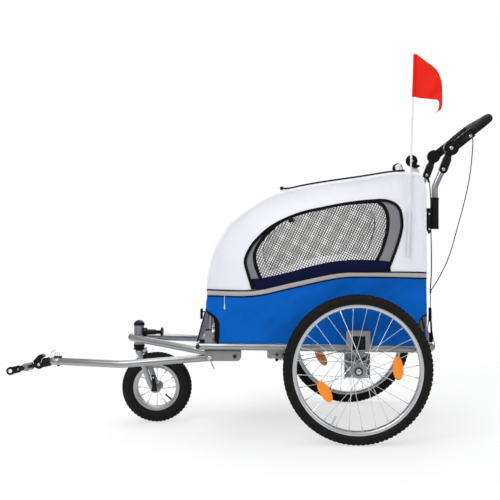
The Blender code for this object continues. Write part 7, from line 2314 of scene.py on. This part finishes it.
# %% [markdown]
# The floor is one pale plane that fades out well behind the trailer. To the camera it is nearly
# white and keeps the trailer's soft shadow. The world is plain white to the camera and to rays
# that pass through cloth or a lens, and a softer studio to everything else. Large lamps stand
# above and at the sides, and a small light inside the cabin shows the nets.

# %% Floor, light and background
FLOOR_HALF, FADE_FROM, FADE_TO = 9, 1.1, 2.3
WHITE = (1, 1, 1, 1)

floor_mesh = bpy.data.meshes.new("studio_floor")
corners = [(x * FLOOR_HALF, y * FLOOR_HALF, 0) for x, y in ((-1, -1), (1, -1), (1, 1), (-1, 1))]
floor_mesh.from_pydata(corners, [], [(0, 1, 2, 3)])
floor = link("studio_floor", floor_mesh)
floor_finish, tree, shader = blank("studio_floor_paint")
set_sockets(shader, Base_Color=(0.90, 0.90, 0.90, 1), Roughness=0.9, Specular_IOR_Level=0.1)
rays = tree.nodes.new("ShaderNodeLightPath").outputs
glow = node_in(tree, "ShaderNodeEmission", inputs={"Color": WHITE, "Strength": 1.0}).outputs[0]
lift = maths(tree, "MULTIPLY", rays["Is Camera Ray"], 0.62)
lit = node_in(tree, "ShaderNodeMixShader", inputs={0: lift, 1: shader.outputs[0], 2: glow}).outputs[0]
shifted = {"Vector": place_of(tree), "Location": (-0.1, 0.0, 0.0)}
spot = node_in(tree, "ShaderNodeMapping", inputs=shifted).outputs[0]
far = node_in(tree, "ShaderNodeVectorMath", operation="LENGTH", inputs={0: spot}).outputs["Value"]
limits = {"Value": far, "From Min": FADE_FROM, "From Max": FADE_TO}
fade = node_in(tree, "ShaderNodeMapRange", interpolation_type="SMOOTHSTEP", inputs=limits).outputs[0]
clear = tree.nodes.new("ShaderNodeBsdfTransparent").outputs[0]
surface = node_in(tree, "ShaderNodeMixShader", inputs={0: fade, 1: lit, 2: clear}).outputs[0]
tree.links.new(surface, tree.nodes["Material Output"].inputs[0])
floor_mesh.materials.append(floor_finish)
floor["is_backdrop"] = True


def light(name, kind, place, power):
    """A light with its place and power."""
    data = bpy.data.lights.new(name, kind)
    data.energy = power
    obj = bpy.data.objects.new(name, data)
    obj.location = place
    bpy.context.scene.collection.objects.link(obj)
    return obj


def lamp(name, place, target, size, power):
    """A large soft lamp that faces a target."""
    obj = light(name, "AREA", place, power)
    obj.data.shape = "RECTANGLE"
    obj.data.size, obj.data.size_y = size
    obj.rotation_euler = (Vector(target) - Vector(place)).to_track_quat("-Z", "Y").to_euler()


lamp("key_lamp", (-1.4, -2.4, 3.0), (0.2, 0, 0.5), (2.0, 2.0), 62)
lamp("fill_lamp", (3.0, -2.4, 2.0), (0.2, 0, 0.5), (2.2, 1.8), 26)
lamp("top_lamp", (0.2, 0.4, 3.4), (0.2, 0, 0.3), (3.0, 2.4), 58)
light("cabin_light", "POINT", at(-0.13, 0, 0.64), 3.2).data.shadow_soft_size = 0.12
lamp("back_lamp", (0.0, 3.2, 2.0), (0.2, 0, 0.6), (3.0, 1.6), 30)

world = bpy.data.worlds.new("studio_world")
bpy.context.scene.world = world
world.use_nodes = True
sky = world.node_tree
sky.nodes.clear()
rays = sky.nodes.new("ShaderNodeLightPath").outputs
studio = {"Color": (0.90, 0.92, 0.95, 1), "Strength": 0.50}
studio = node_in(sky, "ShaderNodeBackground", inputs=studio).outputs[0]
white = node_in(sky, "ShaderNodeBackground", inputs={"Color": WHITE, "Strength": 1.0}).outputs[0]
seen = maths(sky, "MAXIMUM", rays["Is Camera Ray"], rays["Is Transmission Ray"])
choice = node_in(sky, "ShaderNodeMixShader", inputs={0: seen, 1: studio, 2: white}).outputs[0]
sky.links.new(choice, sky.nodes.new("ShaderNodeOutputWorld").inputs[0])
bpy.context.scene.view_settings.view_transform = "Standard"
print("lights:", len(bpy.data.lights))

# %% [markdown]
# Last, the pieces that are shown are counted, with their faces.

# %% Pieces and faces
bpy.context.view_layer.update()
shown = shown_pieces()
print("pieces:", len(shown), "faces:", sum(len(o.data.polygons) for o in shown if o.type == "MESH"))
